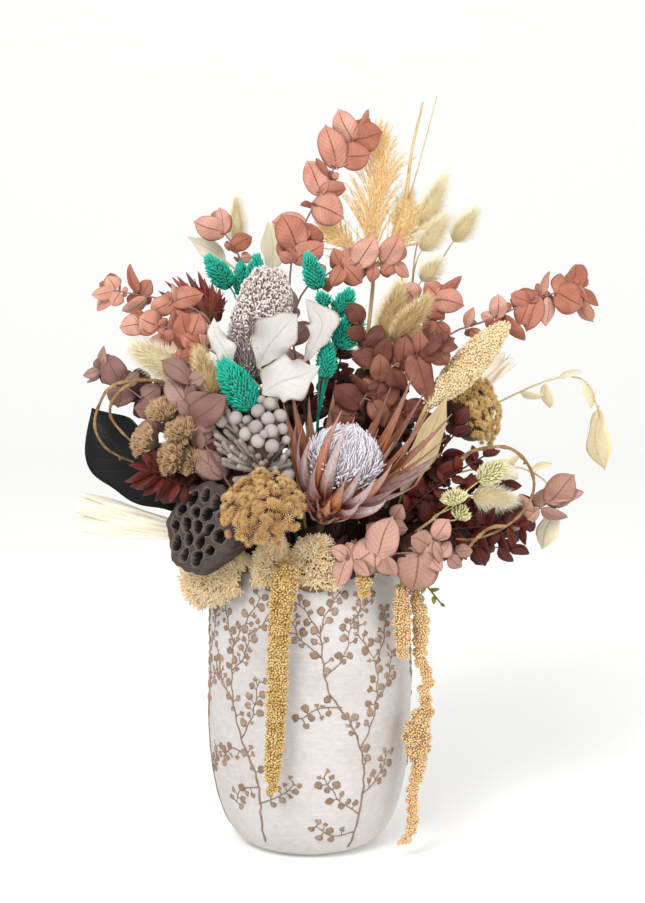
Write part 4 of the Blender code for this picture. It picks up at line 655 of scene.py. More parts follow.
# Grass heads: spindles of scales or hairs, on stems that join.
headForms = dict(
    phalaris=dict(radii=(0.40, 1.0, 0.98, 0.70, 0.22), count=270, length=7.2, thick=1.35, spread=0.62,
                  core=0.68, hair=((0.30, 1.0, 0.62, 0.06), 4)),
    tail=dict(radii=(0.34, 0.98, 0.96, 0.66, 0.26), count=1150, length=13.0, thick=0.25, spread=0.62,
              core=0.56, hair=((1.0, 0.12), 3)),
    feather=dict(radii=(0.50, 1.0, 1.05, 0.90, 0.42), count=1150, length=13.0, thick=0.30, spread=0.75,
                 core=0.62, hair=((1.0, 0.12), 3)),
)
bunches = dict(
    teal_left=dict(form="phalaris", paints="teal tealStalk", join=(247, 372, 6), stem=1.5,
        heads=[(206, 256, 231, 288, 11, 0), (240, 262, 247, 300, 10, 12), (257, 254, 254, 292, 9, -2)]),
    teal_front=dict(form="phalaris", paints="teal tealStalk", join=(262, 432, -66), stem=1.5,
        heads=[(220, 359, 253, 411, 17, -84)]),
    teal_right=dict(form="phalaris", paints="teal tealStalk", join=(318, 418, -45), stem=1.6,
        heads=[(307, 252, 318, 290, 10, -22), (318, 292, 328, 306, 6, -38), (352, 289, 336, 317, 10, -30),
        (362, 311, 337, 348, 14, -46), (329, 341, 324, 379, 9, -62)]),
    pale_grass=dict(form="phalaris", paints="pale straw", join=(432, 520, -74), stem=1.3,
        heads=[(507, 462, 478, 482, 11, -72), (452, 489, 456, 505, 13, -92), (464, 506, 458, 520, 9, -84)]),
    tails_front=dict(form="tail", paints="bunny straw", join=(374, 392, -18), stem=1.3,
        heads=[(402, 281, 381, 343, 12, -14), (431, 295, 392, 343, 11, -30),
        (371, 334, 364, 370, 10, -44)]),
    tails_back=dict(form="tail", paints="bunnyPale straw", join=(408, 322, 42), stem=1.4,
        heads=[(446, 173, 421, 231, 11, 48), (450, 213, 421, 251, 11, 30), (479, 207, 453, 242, 10, 66),
        (410, 186, 400, 232, 10, 70), (443, 257, 421, 281, 9, 20)]),
    tail_left=dict(form="tail", paints="bunny straw", join=(222, 424, -74), stem=1.2,
        heads=[(197, 346, 214, 396, 11, -72)]),
    tail_low=dict(form="tail", paints="bunnyPale straw", join=(440, 508, -58), stem=1.2,
        heads=[(519, 501, 472, 496, 11, -62)]),
    tail_tall=dict(form="tail", paints="bunnyPale ivoryStalk", join=(240, 300, 52), stem=1.2,
        heads=[(236, 193, 238, 250, 7, 52)]),
)


def onSpindle(count, base, tip, radii, spread):
    # places over a spindle by the golden turn, the way each hair points, and its share of the height
    share = (np.arange(count) + 0.5) / count
    ahead = unit(tip - base)
    radial = radialOf(ahead, goldenTurn * np.arange(count))
    reach = np.interp(share, np.linspace(0, 1, len(radii)), radii)[:, None]
    places = base + share[:, None] * (tip - base) + radial * reach
    out = (spread * (1 - 0.75 * share ** 3))[:, None]
    return places, unit(ahead + out * radial / (1.02 - out)), share


def grassHead(heap, kind, base, tip, radius):
    # a spindle of pointed scales or fine hairs, each laid up and outwards
    form = headForms[kind]
    length = form["length"] * mm * (0.75 + 0.25 * radius / 11)
    inner = base + (tip - base) * 0.02
    outer = tip - unit(tip - base) * length * 0.7
    core = np.array(form["radii"]) * radius * mm * form["core"]
    rise = np.linspace(0, 1, 9)
    body = np.interp(rise, np.linspace(0, 1, len(core)), core)
    heap.add(tube(inner + rise[:, None] * (outer - inner), body, 10), 0.1)
    count = int(form["count"] * np.linalg.norm(tip - base) / 0.045 * radius / 11)
    places, ahead, _ = onSpindle(count, inner, outer, core * 0.94, form["spread"])
    ahead = unit(ahead + chance.normal(0, 0.12, ahead.shape))
    size = length * chance.uniform(0.75, 1.15, count)
    tone = chance.uniform(0, 1, count)
    thick = form["thick"] * mm * chance.uniform(0.8, 1.1, count)
    heap.add(scatter(stick(*form["hair"]), places, ahead, size, thick), tone)


def branch(node, curves, rings, count):
    # of several curves to a part of the plant, the one that its solid holds
    return bezier(held(node, curves, lambda curve: bezier(curve, count + 2)[1:-1]), rings)


def bunchStems(heap, node, join, ends, radius, paint):
    # one branch to each end, from the join, and the stem below it
    for end, ahead in ends:
        reach = np.linalg.norm(end - join)
        curves = [(join, join + (end - join) * 0.4 + side, end - ahead * reach * 0.3, end) for side in aside]
        heap.add(tube(branch(node, curves, 9, 3), np.linspace(0.72, 0.5, 9) * radius * mm, 7), 0.5, paint)
    enter = unit(np.mean([end for end, _ in ends], axis=0) - join)
    addStem(heap, node, [join, join + enter * 3 * mm], enter, radius, paint)


def makeBunch(node, spec):
    heap, ends = Heap(), []
    for *points, radius, depth in spec["heads"]:
        tip, base = held(node, shifted(np.column_stack([np.reshape(points, (2, 2)), (depth, depth)])))
        grassHead(heap, spec["form"], base, tip, radius)
        ahead = unit(tip - base)
        ends.append((base + ahead * 4 * mm, ahead))
    bunchStems(heap, node, spots(spec["join"]), ends, spec["stem"], 1)
    makePiece(node + "Bunch", heap, spec["paints"], node)


for node, spec in bunches.items():
    makeBunch(node, spec)
print("grass heads:", len(bunches))


# Banksia: a blunt cone in spiral rows, white curled florets above, dark slanting styles below.
banksia = dict(
    tip=(270, 270), base=(252, 380), radius=31, depth=-46, join=(255, 402, -46), stem=3.0,
    radii=(0.50, 0.96, 1.0, 0.98, 0.92, 0.80, 0.40), florets=2150, crown=140, change=0.46,
    lengths=(10.0, 6.6, 3.6, 0.50),
)


def hookShape():
    # a floret: a thin tube that rises and curls over
    curl = [(0, 0, 0), (0.02, 0, 0.45), (0.10, 0, 0.82), (0.32, 0, 1.0), (0.55, 0, 0.86), (0.56, 0, 0.60)]
    return tube(curl, (0.11, 0.10, 0.13, 0.16, 0.16, 0.10), 3)


def makeBanksia(spec):
    heap = Heap()
    base, tip = held("banksia", shifted([(*spec[end], spec["depth"]) for end in ("base", "tip")]))
    ahead = unit(tip - base)
    radii = np.array(spec["radii"]) * spec["radius"] * mm
    top = tip - ahead * 4 * mm
    rise = np.linspace(0, 1, 25)
    body = np.interp(rise, np.linspace(0, 1, len(radii)), radii * 0.78)
    heap.add(tube(base + rise[:, None] * (top - base), body, 28), 0.0, 1)
    count, hook = spec["florets"], hookShape()
    places, way, share = onSpindle(count, base, top, radii * 0.77, 0.55)
    edge = spec["change"] + 0.07 * np.sin(5 * goldenTurn * np.arange(count))
    low = share < edge + chance.normal(0, 0.05, count)
    way = unit(way + chance.normal(0, 0.11, way.shape) + 0.12 * ahead)
    size = chance.uniform(0.8, 1.15, count)
    tone, spin = chance.uniform(0, 1, count), chance.uniform(*anyTurn, count)
    style = stick((0.7, 0.8, 0.6, 0.25), 4)
    long, curled, small, thick = np.array(spec["lengths"]) * mm
    heap.add(scatter(style, places[low], way[low], long * size[low], thick), tone[low], 1)
    heap.add(scatter(hook, places[~low], way[~low], curled * size[~low], spin=spin[~low]), tone[~low], 0)
    bits = low & (chance.random(count) < 0.34)
    out = chance.uniform(2, 8, bits.sum())[:, None] * mm
    heap.add(scatter(hook, places[bits] + way[bits] * out, way[bits], small, spin=spin[bits]), tone[bits], 3)
    number = spec["crown"]
    offset = chance.normal(0, 6.0, (number, 3)) * mm
    crown = top - ahead * 3 * mm + offset - (offset @ ahead)[:, None] * ahead
    way = unit(ahead + chance.normal(0, 0.35, (number, 3)))
    heap.add(scatter(hook, crown, way, curled, spin=chance.uniform(*anyTurn, number)),
             chance.uniform(0.3, 1, number), 0)
    bunchStems(heap, "banksia", spots(spec["join"]), [(base + ahead * 4 * mm, ahead)], spec["stem"], 2)
    makePiece("banksiaHead", heap, "banksiaTip banksiaSide brownStalk banksiaBit", "banksia")


makeBanksia(banksia)
print("banksia")


# Protea: pointed bracts round a dome of pale combed strands.
protea = dict(
    base=(322, 522, -82), top=(355, 430, -112), halves=(8.2, 6.0), root=(22, 11), shoulder=(55, 50), stem=4.0,
    tips=[(283, 400, -95), (291, 383, -80), (302, 430, -122), (342, 410, -146), (348, 421, -152),
          (391, 387, -76), (414, 371, -98), (432, 405, -116), (452, 414, -112), (446, 438, -128),
          (441, 453, -136), (431, 467, -146), (309, 396, -60), (336, 382, -44), (366, 378, -44),
          (425, 392, -78), (318, 462, -138), (306, 492, -112), (345, 480, -150), (375, 478, -152),
          (405, 480, -146), (296, 424, -104), (310, 440, -134), (362, 466, -154), (392, 464, -152),
          (418, 484, -140), (424, 440, -96), (330, 500, -134), (360, 500, -142), (386, 500, -138)],
    cup=[(0, 5), (12, 12), (30, 18), (53, 20)],
    dome=[(0.44, 17), (0.58, 30), (0.72, 34), (0.88, 26), (1.0, 9)], strands=1000, loose=150, short=26)


bractGrid = (17, 7)


def twoPaints(grid, front=0, back=1):
    # the paint of each face of a closed sheet: its back, its front and its rim
    rows, columns = grid
    cells = (rows - 1) * (columns - 1)
    return np.repeat((back, front, back), (cells, cells, 2 * (rows + columns) - 4))


def bractShape(base, shoulder, tip, radial, wide, twist=0.0, point=1.1):
    # a long pointed bract, folded a little along its middle, along a curve over its shoulder
    rows, columns = bractGrid
    curve = bezier((base, shoulder, tip), rows)
    ahead = unit(np.gradient(curve, axis=0))
    side = unit(np.cross(radial, ahead))
    out = np.cross(ahead, side)
    v = np.linspace(0, 1, rows)[:, None]
    u = np.linspace(-1, 1, columns)[None, :]
    turn = twist * v
    side, out = np.cos(turn) * side + np.sin(turn) * out, np.cos(turn) * out - np.sin(turn) * side
    half = wide * mm * (np.clip(v * 2.2 + 0.40, 0, 1) * (1 - v ** 1.7) ** point + 0.03)
    fold = 0.36 * half * np.abs(u) + 0.14 * half * np.sin(9 * v + 3 * u)
    middle = curve[:, None] + (u * half)[..., None] * side[:, None] - fold[..., None] * out[:, None]
    return closedSheet(middle, 0.35 * mm * out[:, None], v, u)


def makeProtea(spec):
    heap = Heap()
    base, top = spots(spec["base"]), spots(spec["top"])
    axis = unit(top - base)
    height = np.linalg.norm(top - base)
    cup = np.array(spec["cup"], float)
    heap.add(tube(smooth(base + axis * cup[:, :1] * mm, 13), smooth(cup[:, 1:], 13)[:, 0] * mm, 20), 0.2, 3)
    sides, warm = twoPaints(bractGrid, 0, 3), twoPaints(bractGrid, 3, 3)
    look = unit(eye - base)
    for number, tip in enumerate(spots(spec["tips"])):
        # a bract to each tip, and a shorter one inside it
        away = (tip - base) - ((tip - base) @ axis) * axis
        radial = unit(away)
        broad = unit(radial + 0.9 * np.sign(radial @ look) * look)
        rise = min(spec["shoulder"][0] * mm, 0.5 * ((tip - base) @ axis))
        shoulder = base + axis * rise + radial * spec["shoulder"][1] * mm
        root = base + (axis * spec["root"][0] + radial * spec["root"][1]) * mm
        bract = bractShape(root, shoulder, tip, broad, spec["halves"][0], 0.5 * math.sin(2.3 * number))
        heap.add(bract, 0.15 + 0.7 * (number % 5) / 4, sides if number % 3 else warm)
        end = root + (tip - root) * (0.50 + 0.06 * (number % 3)) + axis * 9 * mm
        twist = math.radians(11 if number % 2 else -9)
        beside = unit(math.cos(twist) * broad + math.sin(twist) * np.cross(axis, broad))
        shoulder = shoulder * 0.35 + (root + end) / 2 * 0.65
        bract = bractShape(root + axis * 2 * mm, shoulder, end, beside, spec["halves"][1])
        heap.add(bract, 0.1 + 0.5 * (number % 4) / 3, warm)
    for number in range(spec["short"]):
        # short ones round the foot
        radial, far = radialOf(axis, goldenTurn * number), 30 + 5 * math.sin(3.7 * number)
        root = base + (axis * (2 + number * 0.5) + radial * 6) * mm
        tip = root + (axis * (0.55 + 0.3 * number / spec["short"]) + radial * 0.75) * far * mm
        heap.add(bractShape(root, root + radial * 12 * mm, tip, radial, 4.6), (number % 4) / 4, sides)
    profile = smooth(np.array(spec["dome"]) * (height / mm, 1), 41)
    core = np.clip(profile[::2, 1] - 5.0, 1, None) * mm
    heap.add(tube(base + profile[::2, :1] * axis * mm, core, 28), 0.0, 1)
    count = spec["strands"]
    at = (np.arange(count) + 0.5) / count * 0.97
    ring, slope = along(profile, at), unit(along(np.gradient(profile, axis=0), at))
    turn = goldenTurn * np.arange(count)
    radial = radialOf(axis, turn)
    places = base + (ring[:, :1] * axis + (ring[:, 1:] - 3.4) * radial) * mm
    rising = slope[:, :1] * axis + slope[:, 1:] * radial
    out = slope[:, :1] * radial - slope[:, 1:] * axis
    clump = (0.30 * np.sin(5 * turn + 14 * at) + 0.22 * np.sin(9 * turn - 23 * at))[:, None]
    way = unit(rising + 0.15 * out + clump * np.cross(axis, radial) + chance.normal(0, 0.10, out.shape))
    size = chance.uniform(11, 18, count) * mm * (1 - 0.35 * at)
    bent = tube([(0, 0, 0), (0.05, 0, 0.35), (0.04, 0.02, 0.7), (-0.04, 0.05, 1.0)],
                (0.045, 0.055, 0.055, 0.03), 4)
    strands = scatter(bent, places, way, size, spin=chance.uniform(*anyTurn, count))
    heap.add(strands, chance.uniform(0, 1, count), 1)
    loose = chance.integers(0, count // 3, spec["loose"])
    way = unit(axis + 0.75 * radial[loose] + chance.normal(0, 0.3, (len(loose), 3)))
    hooks = scatter(hookShape(), places[loose] - axis * 6 * mm, way, 12 * mm, 5 * mm)
    heap.add(hooks, chance.uniform(0, 1, len(loose)), 1)
    addStem(heap, "protea", [base, base + axis * 4 * mm], axis, spec["stem"], 2)
    makePiece("proteaFlower", heap, "bractOut dome brownStalk bractIn", "protea")


def bractPaint(name, root, edge, *tones, share=0.4, high=0.62):
    # streaked bracts that turn to another colour towards their root, paler along the middle
    paint = Paint(name)
    tone, v, u = paint.grain()
    streak = paint.noise(420.0, stretch=0.2)
    colour = paint.ramp((tone * 0.6 + streak * 0.8 - 0.2).clamped(), tones)
    colour = paint.mix((paint.fade(v, 0.1, high) * (share + tone * 0.4)).clamped(), colour, root)
    colour = paint.mix(paint.fade(abs(u), 0.0, 0.16) * 0.4, colour, tones[-1])
    colour = paint.mix(paint.fade(abs(u), 1.0, 0.84) * 0.65, colour, edge)
    return paint.finish(Base_Color=colour, Roughness=0.5, Normal=paint.bump(streak, 0.5, 0.5))


paints["bractOut"] = bractPaint("protea bract", (0.52, 0.22, 0.09), (0.42, 0.16, 0.10),
                                (0.45, 0.31, 0.30), (0.67, 0.55, 0.54), (0.86, 0.79, 0.79), share=0.8)
paints["bractIn"] = bractPaint("protea bract inside", (0.76, 0.40, 0.06), (0.40, 0.16, 0.08),
                               (0.42, 0.24, 0.18), (0.64, 0.44, 0.36), (0.80, 0.66, 0.60),
                               share=0.9, high=0.95)
makeProtea(protea)
print("protea")


# Leucadendron: a fan of crimson bracts with cream edges.
paints["crimson"] = bractPaint("leucadendron bract", (0.62, 0.48, 0.30), (0.62, 0.40, 0.32),
                               (0.30, 0.05, 0.06), (0.50, 0.13, 0.14), (0.66, 0.28, 0.24))
leucadendron = dict(
    base=(214, 321, -8), stem=2.2, half=5.6, layers=((1.0, 0.0), (0.86, 4.0), (0.72, 2.5), (0.62, -3.0)),
    tips=[(158, 291, -14), (165, 281, -4), (172, 277, 10), (177, 276, -18), (186, 272, 0), (198, 271, -14),
        (204, 279, 12), (212, 283, -20), (180, 285, 24), (192, 282, 26), (220, 288, -4), (225, 297, 8),
        (222, 308, -18)],
)


def makeLeucadendron(spec):
    heap = Heap()
    base = spots(spec["base"])
    radial = unit(eye - base)
    for number, tip in enumerate(spots(spec["tips"])):
        for scale, off in spec["layers"]:
            end = base + (tip - base) * scale + np.array((off, off, 0)) * mm
            middle = (base + end) / 2 + radial * (3 + off) * mm
            heap.add(bractShape(base, middle, end, radial, spec["half"], 0.4 * off, 0.8), (number % 4) / 3)
    way = [base, base + unit((-0.5, 0, 1)) * 4 * mm]
    addStem(heap, "leucadendron", way, unit((-0.3, 0, 1)), spec["stem"], 1)
    makePiece("leucadendronFan", heap, "crimson redStalk", "leucadendron")


makeLeucadendron(leucadendron)


# Brunia: balls and finger-like twigs that fork from one base.
brunia = dict(
    base=(262, 492, -92), radius=6.6, stem=3.0, knobs=80,
    balls=[(270, 404, -96), (258, 411, -104), (280, 416, -100), (268, 419, -110), (236, 418, -96),
        (222, 421, -88), (256, 427, -112), (271, 431, -116), (246, 434, -108), (258, 441, -118),
        (272, 446, -120), (288, 474, -104)],
    smallBalls=[(282, 429, -106, 5.4), (262, 400, -90, 4.6), (247, 420, -98, 4.4), (264, 434, -122, 4.0),
        (286, 440, -108, 4.2)],
    forked=[(226, 408, -92), (249, 416, -98), (214, 434, -90), (223, 441, -98), (231, 446, -104),
        (239, 439, -110), (258, 455, -120), (284, 455, -118), (266, 470, -122), (244, 458, -112),
        (222, 462, -98)],
    single=[(233, 402, -84), (218, 416, -82), (211, 427, -82), (217, 448, -96), (228, 455, -106),
        (235, 428, -100), (237, 466, -108), (250, 447, -118), (276, 468, -122), (290, 450, -112),
        (292, 463, -112), (233, 480, -102), (250, 476, -118), (286, 438, -102), (280, 424, -92),
        (262, 462, -122), (214, 442, -84), (224, 430, -92), (272, 480, -120)],
    core=[(0.0, 4), (0.35, 9), (0.70, 12), (0.96, 11), (1.08, 5)],
)


def fingerShape(heap, path, radius, paint):
    # a blunt felted twig: rings whose radius rises and falls from one point to the next
    length = np.linalg.norm(np.diff(path, axis=0), axis=1).sum() / mm
    rows = max(8, int(length / 1.05))
    share = np.linspace(0, 1, rows)
    body = radius * np.interp(share, (0, 0.8, 0.94, 1), (0.80, 0.92, 1.0, 0.45))[:, None]
    row, column = np.meshgrid(np.arange(rows), np.arange(8), indexing="ij")
    knobs = 1 + 0.15 * (1 - 2 * ((row + column) % 2)) + chance.normal(0, 0.05, row.shape)
    heap.add(tube(smooth(path, rows), body * knobs * mm, 8), chance.uniform(0.2, 0.9), paint)


def makeBrunia(spec):
    heap = Heap()
    base, balls = spots(spec["base"]), spots(spec["balls"])
    rise = balls.mean(0) - base
    core = np.array(spec["core"])
    heap.add(tube(smooth(base + rise * core[:, :1], 13), smooth(core[:, 1:], 13)[:, 0] * mm, 16), 0.0, 2)
    for number, tip in enumerate(spots(spec["forked"] + spec["single"])):
        root = base + rise * 0.30 + (tip - base) * 0.12
        middle = (root + tip) / 2 + (tip - base - rise) * 0.10 + chance.normal(0, 3.5, 3) * mm
        fingerShape(heap, bezier((root, middle, tip), 9), 2.9, 1)
        for hand in (-1, 1) if number < len(spec["forked"]) else ():
            end = root + (tip - root) * (0.86 + 0.05 * hand) + np.array((7.0 * hand, 3.0, -4.0 * hand)) * mm
            fingerShape(heap, bezier((root, (root + end) / 2 + chance.normal(0, 3, 3) * mm, end), 7), 2.5, 1)
    small = np.array(spec["smallBalls"])
    places = np.concatenate([balls, spots(small[:, :3])])
    sizes = np.append(np.full(len(balls), spec["radius"]), small[:, 3]) * mm
    root = base + rise * 0.6
    for place in places:
        fingerShape(heap, bezier((root, (root + place) / 2, place), 6), 2.0, 1)
    ahead = unit(places - base - rise * 0.3)
    heap.add(scatter(bead(11, 16), places, ahead, sizes), chance.uniform(0.4, 0.9, len(places)), 0)
    over = ballSpots(spec["knobs"])
    for place, size in zip(places, sizes):
        knobs = scatter(bead(3, 4), place + over * size * 0.97, over, 0.45 * mm)
        heap.add(knobs, chance.uniform(0.4, 1, len(over)), 0)
    addStem(heap, "brunia", [base, base + upright * 4 * mm], unit((-0.1, -0.2, 1)), spec["stem"], 2)
    makePiece("bruniaCluster", heap, "ball finger brownStalk", "brunia")


makeBrunia(brunia)
print("brunia")


# Lotus pod: a face with round holes in raised rims, and a ribbed side that narrows to the stem.
lotus = dict(
    face=(199, 527, -100), axis=(-0.76, -0.57, 0.29), stem=3.0, around=200, tail=58,
    profile=[(38, 1.5), (43, -1), (44, -6), (39, -18), (28, -34), (15, -50), (7, -60)],
    rings=[(0, 1), (15.2, 6), (30.0, 11)], hole=(7.3, 12.0), tilt=11, faceRows=74,
)


def makeLotus(spec):
    # a turned outline, on whose face each hole sinks by 1 / (1 + e^distance) inside a low ring
    heap = Heap()
    face, axis = spots(spec["face"]), unit(spec["axis"])
    side, other = crossAxes(axis)
    around = spec["around"]
    turn = 2 * np.pi * np.arange(around) / around
    flat = np.stack([np.linspace(0.8, 37.4, 70), np.full(70, 1.2)], 1)
    outline = np.concatenate([flat, smooth(spec["profile"], 60)])
    ragged = 0.025 * np.sin(7 * turn + 1) + 0.018 * np.sin(13 * turn + 2) + 0.012 * np.sin(23 * turn)
    wide, level = outline[:, :1], np.repeat(outline[:, 1:], around, 1)
    radius = wide * (1 + ragged * (wide / 44) ** 2)
    belowRim = np.clip((-2 - level) / 20, 0, 1)
    level = level + (1.6 * np.sin(5 * turn + 2) + 0.8 * np.sin(12 * turn)) * (wide / 44) ** 3
    radius = radius * (1 + belowRim * (0.024 * np.sin(34 * turn) + 0.018 * np.sin(55 * turn + 1) - 0.01))
    x, y = radius * np.cos(turn), radius * np.sin(turn)
    deep = np.zeros_like(x)
    row = np.arange(len(outline))[:, None]
    onFace = row < spec["faceRows"]
    hole, floor = spec["hole"]
    for ring, count in spec["rings"]:
        for k in range(count):
            angle = 2 * math.pi * (k + 0.25 * (ring > 20)) / count
            size = hole * (0.94 + 0.10 * math.sin(3.1 * k + ring))
            offset = (x - ring * math.cos(angle), y - ring * math.sin(angle))
            bearing = np.arctan2(offset[1], offset[0])
            uneven = 1 + 0.11 * np.sin(2 * bearing + k) + 0.07 * np.sin(3 * bearing + 2 * k)
            far = np.hypot(*offset) * uneven
            level = level + np.where(onFace, 1.1 * np.exp(-((far - size - 0.5) / 0.7) ** 2), 0)
            sunk = 1 / (1 + np.exp((far - size * 0.95) / 0.16))
            level = level - np.where(onFace, floor * sunk, 0)
            edge = 0.25 * np.exp(-((far - size - 0.3) / 0.8) ** 2)
            deep = np.maximum(deep, np.where(onFace, np.where(sunk > 0.4, 1, edge), 0))
    wrinkle = 0.6 * np.sin(0.9 * x + 1.7 * np.sin(0.5 * y)) * np.sin(0.8 * y + 1.3 * np.sin(0.6 * x))
    level = level + wrinkle * (wide < 42)
    # the face is turned towards the front, about a level line, and the tail keeps to the axis
    hinge = unit(np.cross(axis, unit(eye - face)))
    fronts = [turned(vector, hinge, math.radians(spec["tilt"])) for vector in (side, other, axis)]
    rings = [x[..., None] * basis[0] + y[..., None] * basis[1] + level[..., None] * basis[2]
             for basis in (fronts, (side, other, axis))]
    low = (np.clip(-level / 30, 0, 1) * (wide < 44) * (row > spec["faceRows"]))[..., None]
    rings = face + (rings[0] * (1 - low) + rings[1] * low) * mm
    points = np.concatenate([rings.reshape(-1, 3), [rings[0].mean(0), rings[-1].mean(0)]])
    faces = ringFaces(len(outline), around)
    faces = np.where(faces[:, 3:] < 0, faces[:, [0, 2, 1, 3]], faces[:, ::-1])
    rim = np.append(deep.ravel(), (1.0, 0.0))
    # the share below the rim goes with each point, for the painted shade down the side
    heap.add((points, faces, rim, np.append(belowRim.ravel(), (0.0, 1.0))), 0.5)
    tail = face - axis * spec["tail"] * mm
    addStem(heap, "lotus_pod", [tail, tail + axis * 5 * mm], axis, spec["stem"], 1)
    makePiece("lotusPod", heap, "lotus brownStalk", "lotus_pod")


def lotusPaint():
    # grey brown skin with pale worn rims, dark brown in the holes, and the side below the rim darkened as
    # painted shade
    paint = Paint("lotus pod")
    _, deep, low = paint.grain()
    patch = paint.noise(70.0, 5.0, 0.65)
    skin = paint.noise(620.0, 4.0, 0.7)
    tones = (0.17, 0.13, 0.12), (0.32, 0.27, 0.25), (0.60, 0.54, 0.50)
    colour = paint.ramp((patch * 0.7 + skin * 0.6 - 0.2).clamped(), tones, 0.1, 0.5, 0.9)
    # painted shade: the side below the rim, darker the further down it lies
    colour = paint.mix(low * 0.5, colour, (0.28, 0.22, 0.20))
    colour = paint.mix(paint.fade(abs(deep - 0.25), 0.05, 0.22) * 0.6, colour, (0.58, 0.50, 0.46))
    colour = paint.mix(paint.fade(deep, 0.75, 0.45), colour, (0.05, 0.03, 0.03))
    return paint.finish(Base_Color=colour, Roughness=0.8, Normal=paint.bump(skin, 0.9, 1.6))


paints["lotus"] = lotusPaint()
makeLotus(lotus)


# Yarrow: domes of star-like buttons, or brushes of fine spikes, on forked stems.
yarrows = dict(
    yarrow_front=dict(join=(272, 526, -50), stem=2.0, paint="yarrowPink", kind="buttons", size=5.6,
        lumps=0.16, dense=0.112, domes=[((262, 508, -142), (-0.12, -0.80, 0.58), 38, 1.0)]),
    yarrow_right=dict(join=(424, 470, -38), stem=2.0, paint="yarrowTip", kind="buttons", size=5.2,
        lumps=0.05, dense=0.096, domes=[((476, 408, -44), (0.80, -0.50, 0.34), 38, 1.5)]),
    yarrow_left=dict(join=(204, 478, -78), stem=2.0, paint="yarrowBrush", kind="brush", size=4.0,
        lumps=0.10, dense=0.045, domes=[((163, 409, -84), (-0.35, -0.50, 0.80), 17, 1.5), ((144, 440, -84),
        (-0.85, -0.35, 0.40), 17, 1.5), ((180, 430, -96), (-0.30, -0.70, 0.64), 15, 1.5), ((170, 456, -92),
        (-0.70, -0.60, 0.38), 19, 1.3), ((189, 461, -88), (-0.45, -0.75, 0.50), 14, 1.5)]),
)
domeTop = ((0.0, 0.16, 0.46, 0.78, 1.0), (0.38, 0.37, 0.34, 0.25, 0.06))
domeSolid = [(0.30, -0.42), (0.94, -0.16), (1.0, 0.08), (0.78, 0.25), (0.46, 0.34), (0.16, 0.37)]
starRings = dict(outer=((11, 1.40, 0.92), (10, 0.95, 1.0)), middle=((8, 0.55, 0.86), (3, 0.2, 0.84)))


def starShape(rings):
    # spikes that spread from one point, in rings of (count, angle from the axis, length)
    spikes = []
    for count, lean, length in rings:
        for k in range(count):
            turn, tip = 2 * math.pi * (k + 0.5 * lean) / count, length * (0.9 + 0.1 * (k % 2))
            sideways = math.sin(lean)
            way = tip * np.array((sideways * math.cos(turn), sideways * math.sin(turn), math.cos(lean)))
            spikes.append(tube(np.linspace(0, 1, 2)[:, None] * way, (0.11, 0.04), 3))
    return merged(spikes)


def overDome(middle, axis, radius, thick, count, lumps):
    # places by the golden turn over a dome, each moved a little, with clumps that stand out
    share = (np.arange(count) + 0.5) / count
    turn = goldenTurn * np.arange(count) + chance.normal(0, 1.6, count) / np.sqrt(np.arange(count) + 4)
    reach = np.sqrt(share) * chance.uniform(0.96, 1.02, count)
    radial = radialOf(axis, turn)
    x, y = reach * np.cos(turn), reach * np.sin(turn)
    clump = np.sin(7.3 * x + 2 * np.sin(4 * y)) * np.sin(6.1 * y + 1.7 * np.sin(5 * x))
    rise = (np.interp(reach, *domeTop) + lumps * clump) * thick - 0.11 * thick
    places = middle + radius * (reach[:, None] * radial + rise[:, None] * axis)
    ahead = unit(axis + radial * (0.12 + 1.3 * reach[:, None] ** 3) + chance.normal(0, 0.16, (count, 3)))
    return places, ahead, clump


def addDome(heap, dome, spec):
    # a core, branches below it, and what covers it
    middle, axis, radius, thick = dome
    buttons = spec["kind"] == "buttons"
    solid = np.array(domeSolid)
    rings = smooth(middle + axis * (solid[:, 1:] * 0.9 - 0.17) * radius * thick, 15)
    heap.add(tube(rings, smooth(solid[:, :1], 15)[:, 0] * radius * 0.80, 24), 0.1, 3)
    foot = middle - axis * (0.30 * radius * thick + 0.5 * radius)
    spikes = int(radius / mm * (10 if buttons else 20))
    ends, ahead, _ = overDome(middle, axis, radius * 0.93, thick, spikes, spec["lumps"])
    low, high = (0.0, 0.5) if buttons else (0.25, 0.6)
    root = foot + (ends - foot) * chance.uniform(low, high, (spikes, 1))
    if buttons:
        root = root + chance.normal(0, 2.5, ends.shape) * mm
        far = np.linalg.norm(ends - root, axis=1) * 0.92
        spike, thickness, way = stick((0.7, 1.0, 0.6), 3), 0.5 * mm, unit(ends - root)
    else:
        far = np.linalg.norm(ends - root, axis=1) + 4 * mm
        spike, thickness = stick((0.7, 1.0, 1.2, 0.2), 3), 0.55 * mm
        way = unit(ends - root + chance.normal(0, 0.6, ends.shape) * mm)
    heap.add(scatter(spike, root, way, far, thickness), chance.uniform(0, 1, spikes), 3 if buttons else 0)
    for turn in np.linspace(0, 2 * math.pi, 15)[:-1]:
        end = middle + radius * (0.72 * radialOf(axis, turn) - 0.05 * axis)
        curve = bezier((foot, (foot + end) / 2 - axis * 0.1 * radius, end), 6)
        heap.add(tube(curve, np.linspace(0.9, 0.6, 6) * mm, 5), 0.4, 3)
    count = int((radius / mm) ** 2 * spec["dense"])
    places, ahead, clump = overDome(middle, axis, radius, thick, count, spec["lumps"])
    size = chance.uniform(0.8, 1.15, count) * spec["size"] * mm
    spin = chance.uniform(*anyTurn, count)
    tone = np.clip(0.5 + 0.3 * clump + chance.normal(0, 0.2, count), 0, 1)
    heap.add(scatter(starShape(starRings["outer"]), places, ahead, size, spin=spin), tone, 0)
    golden, centres = tone > (0.1 if buttons else 0.9), starShape(starRings["middle"])
    for chosen, paint in ((golden, 1), (~golden, 0)):
        star = scatter(centres, places[chosen], ahead[chosen], size[chosen], spin=spin[chosen])
        heap.add(star, tone[chosen], paint)


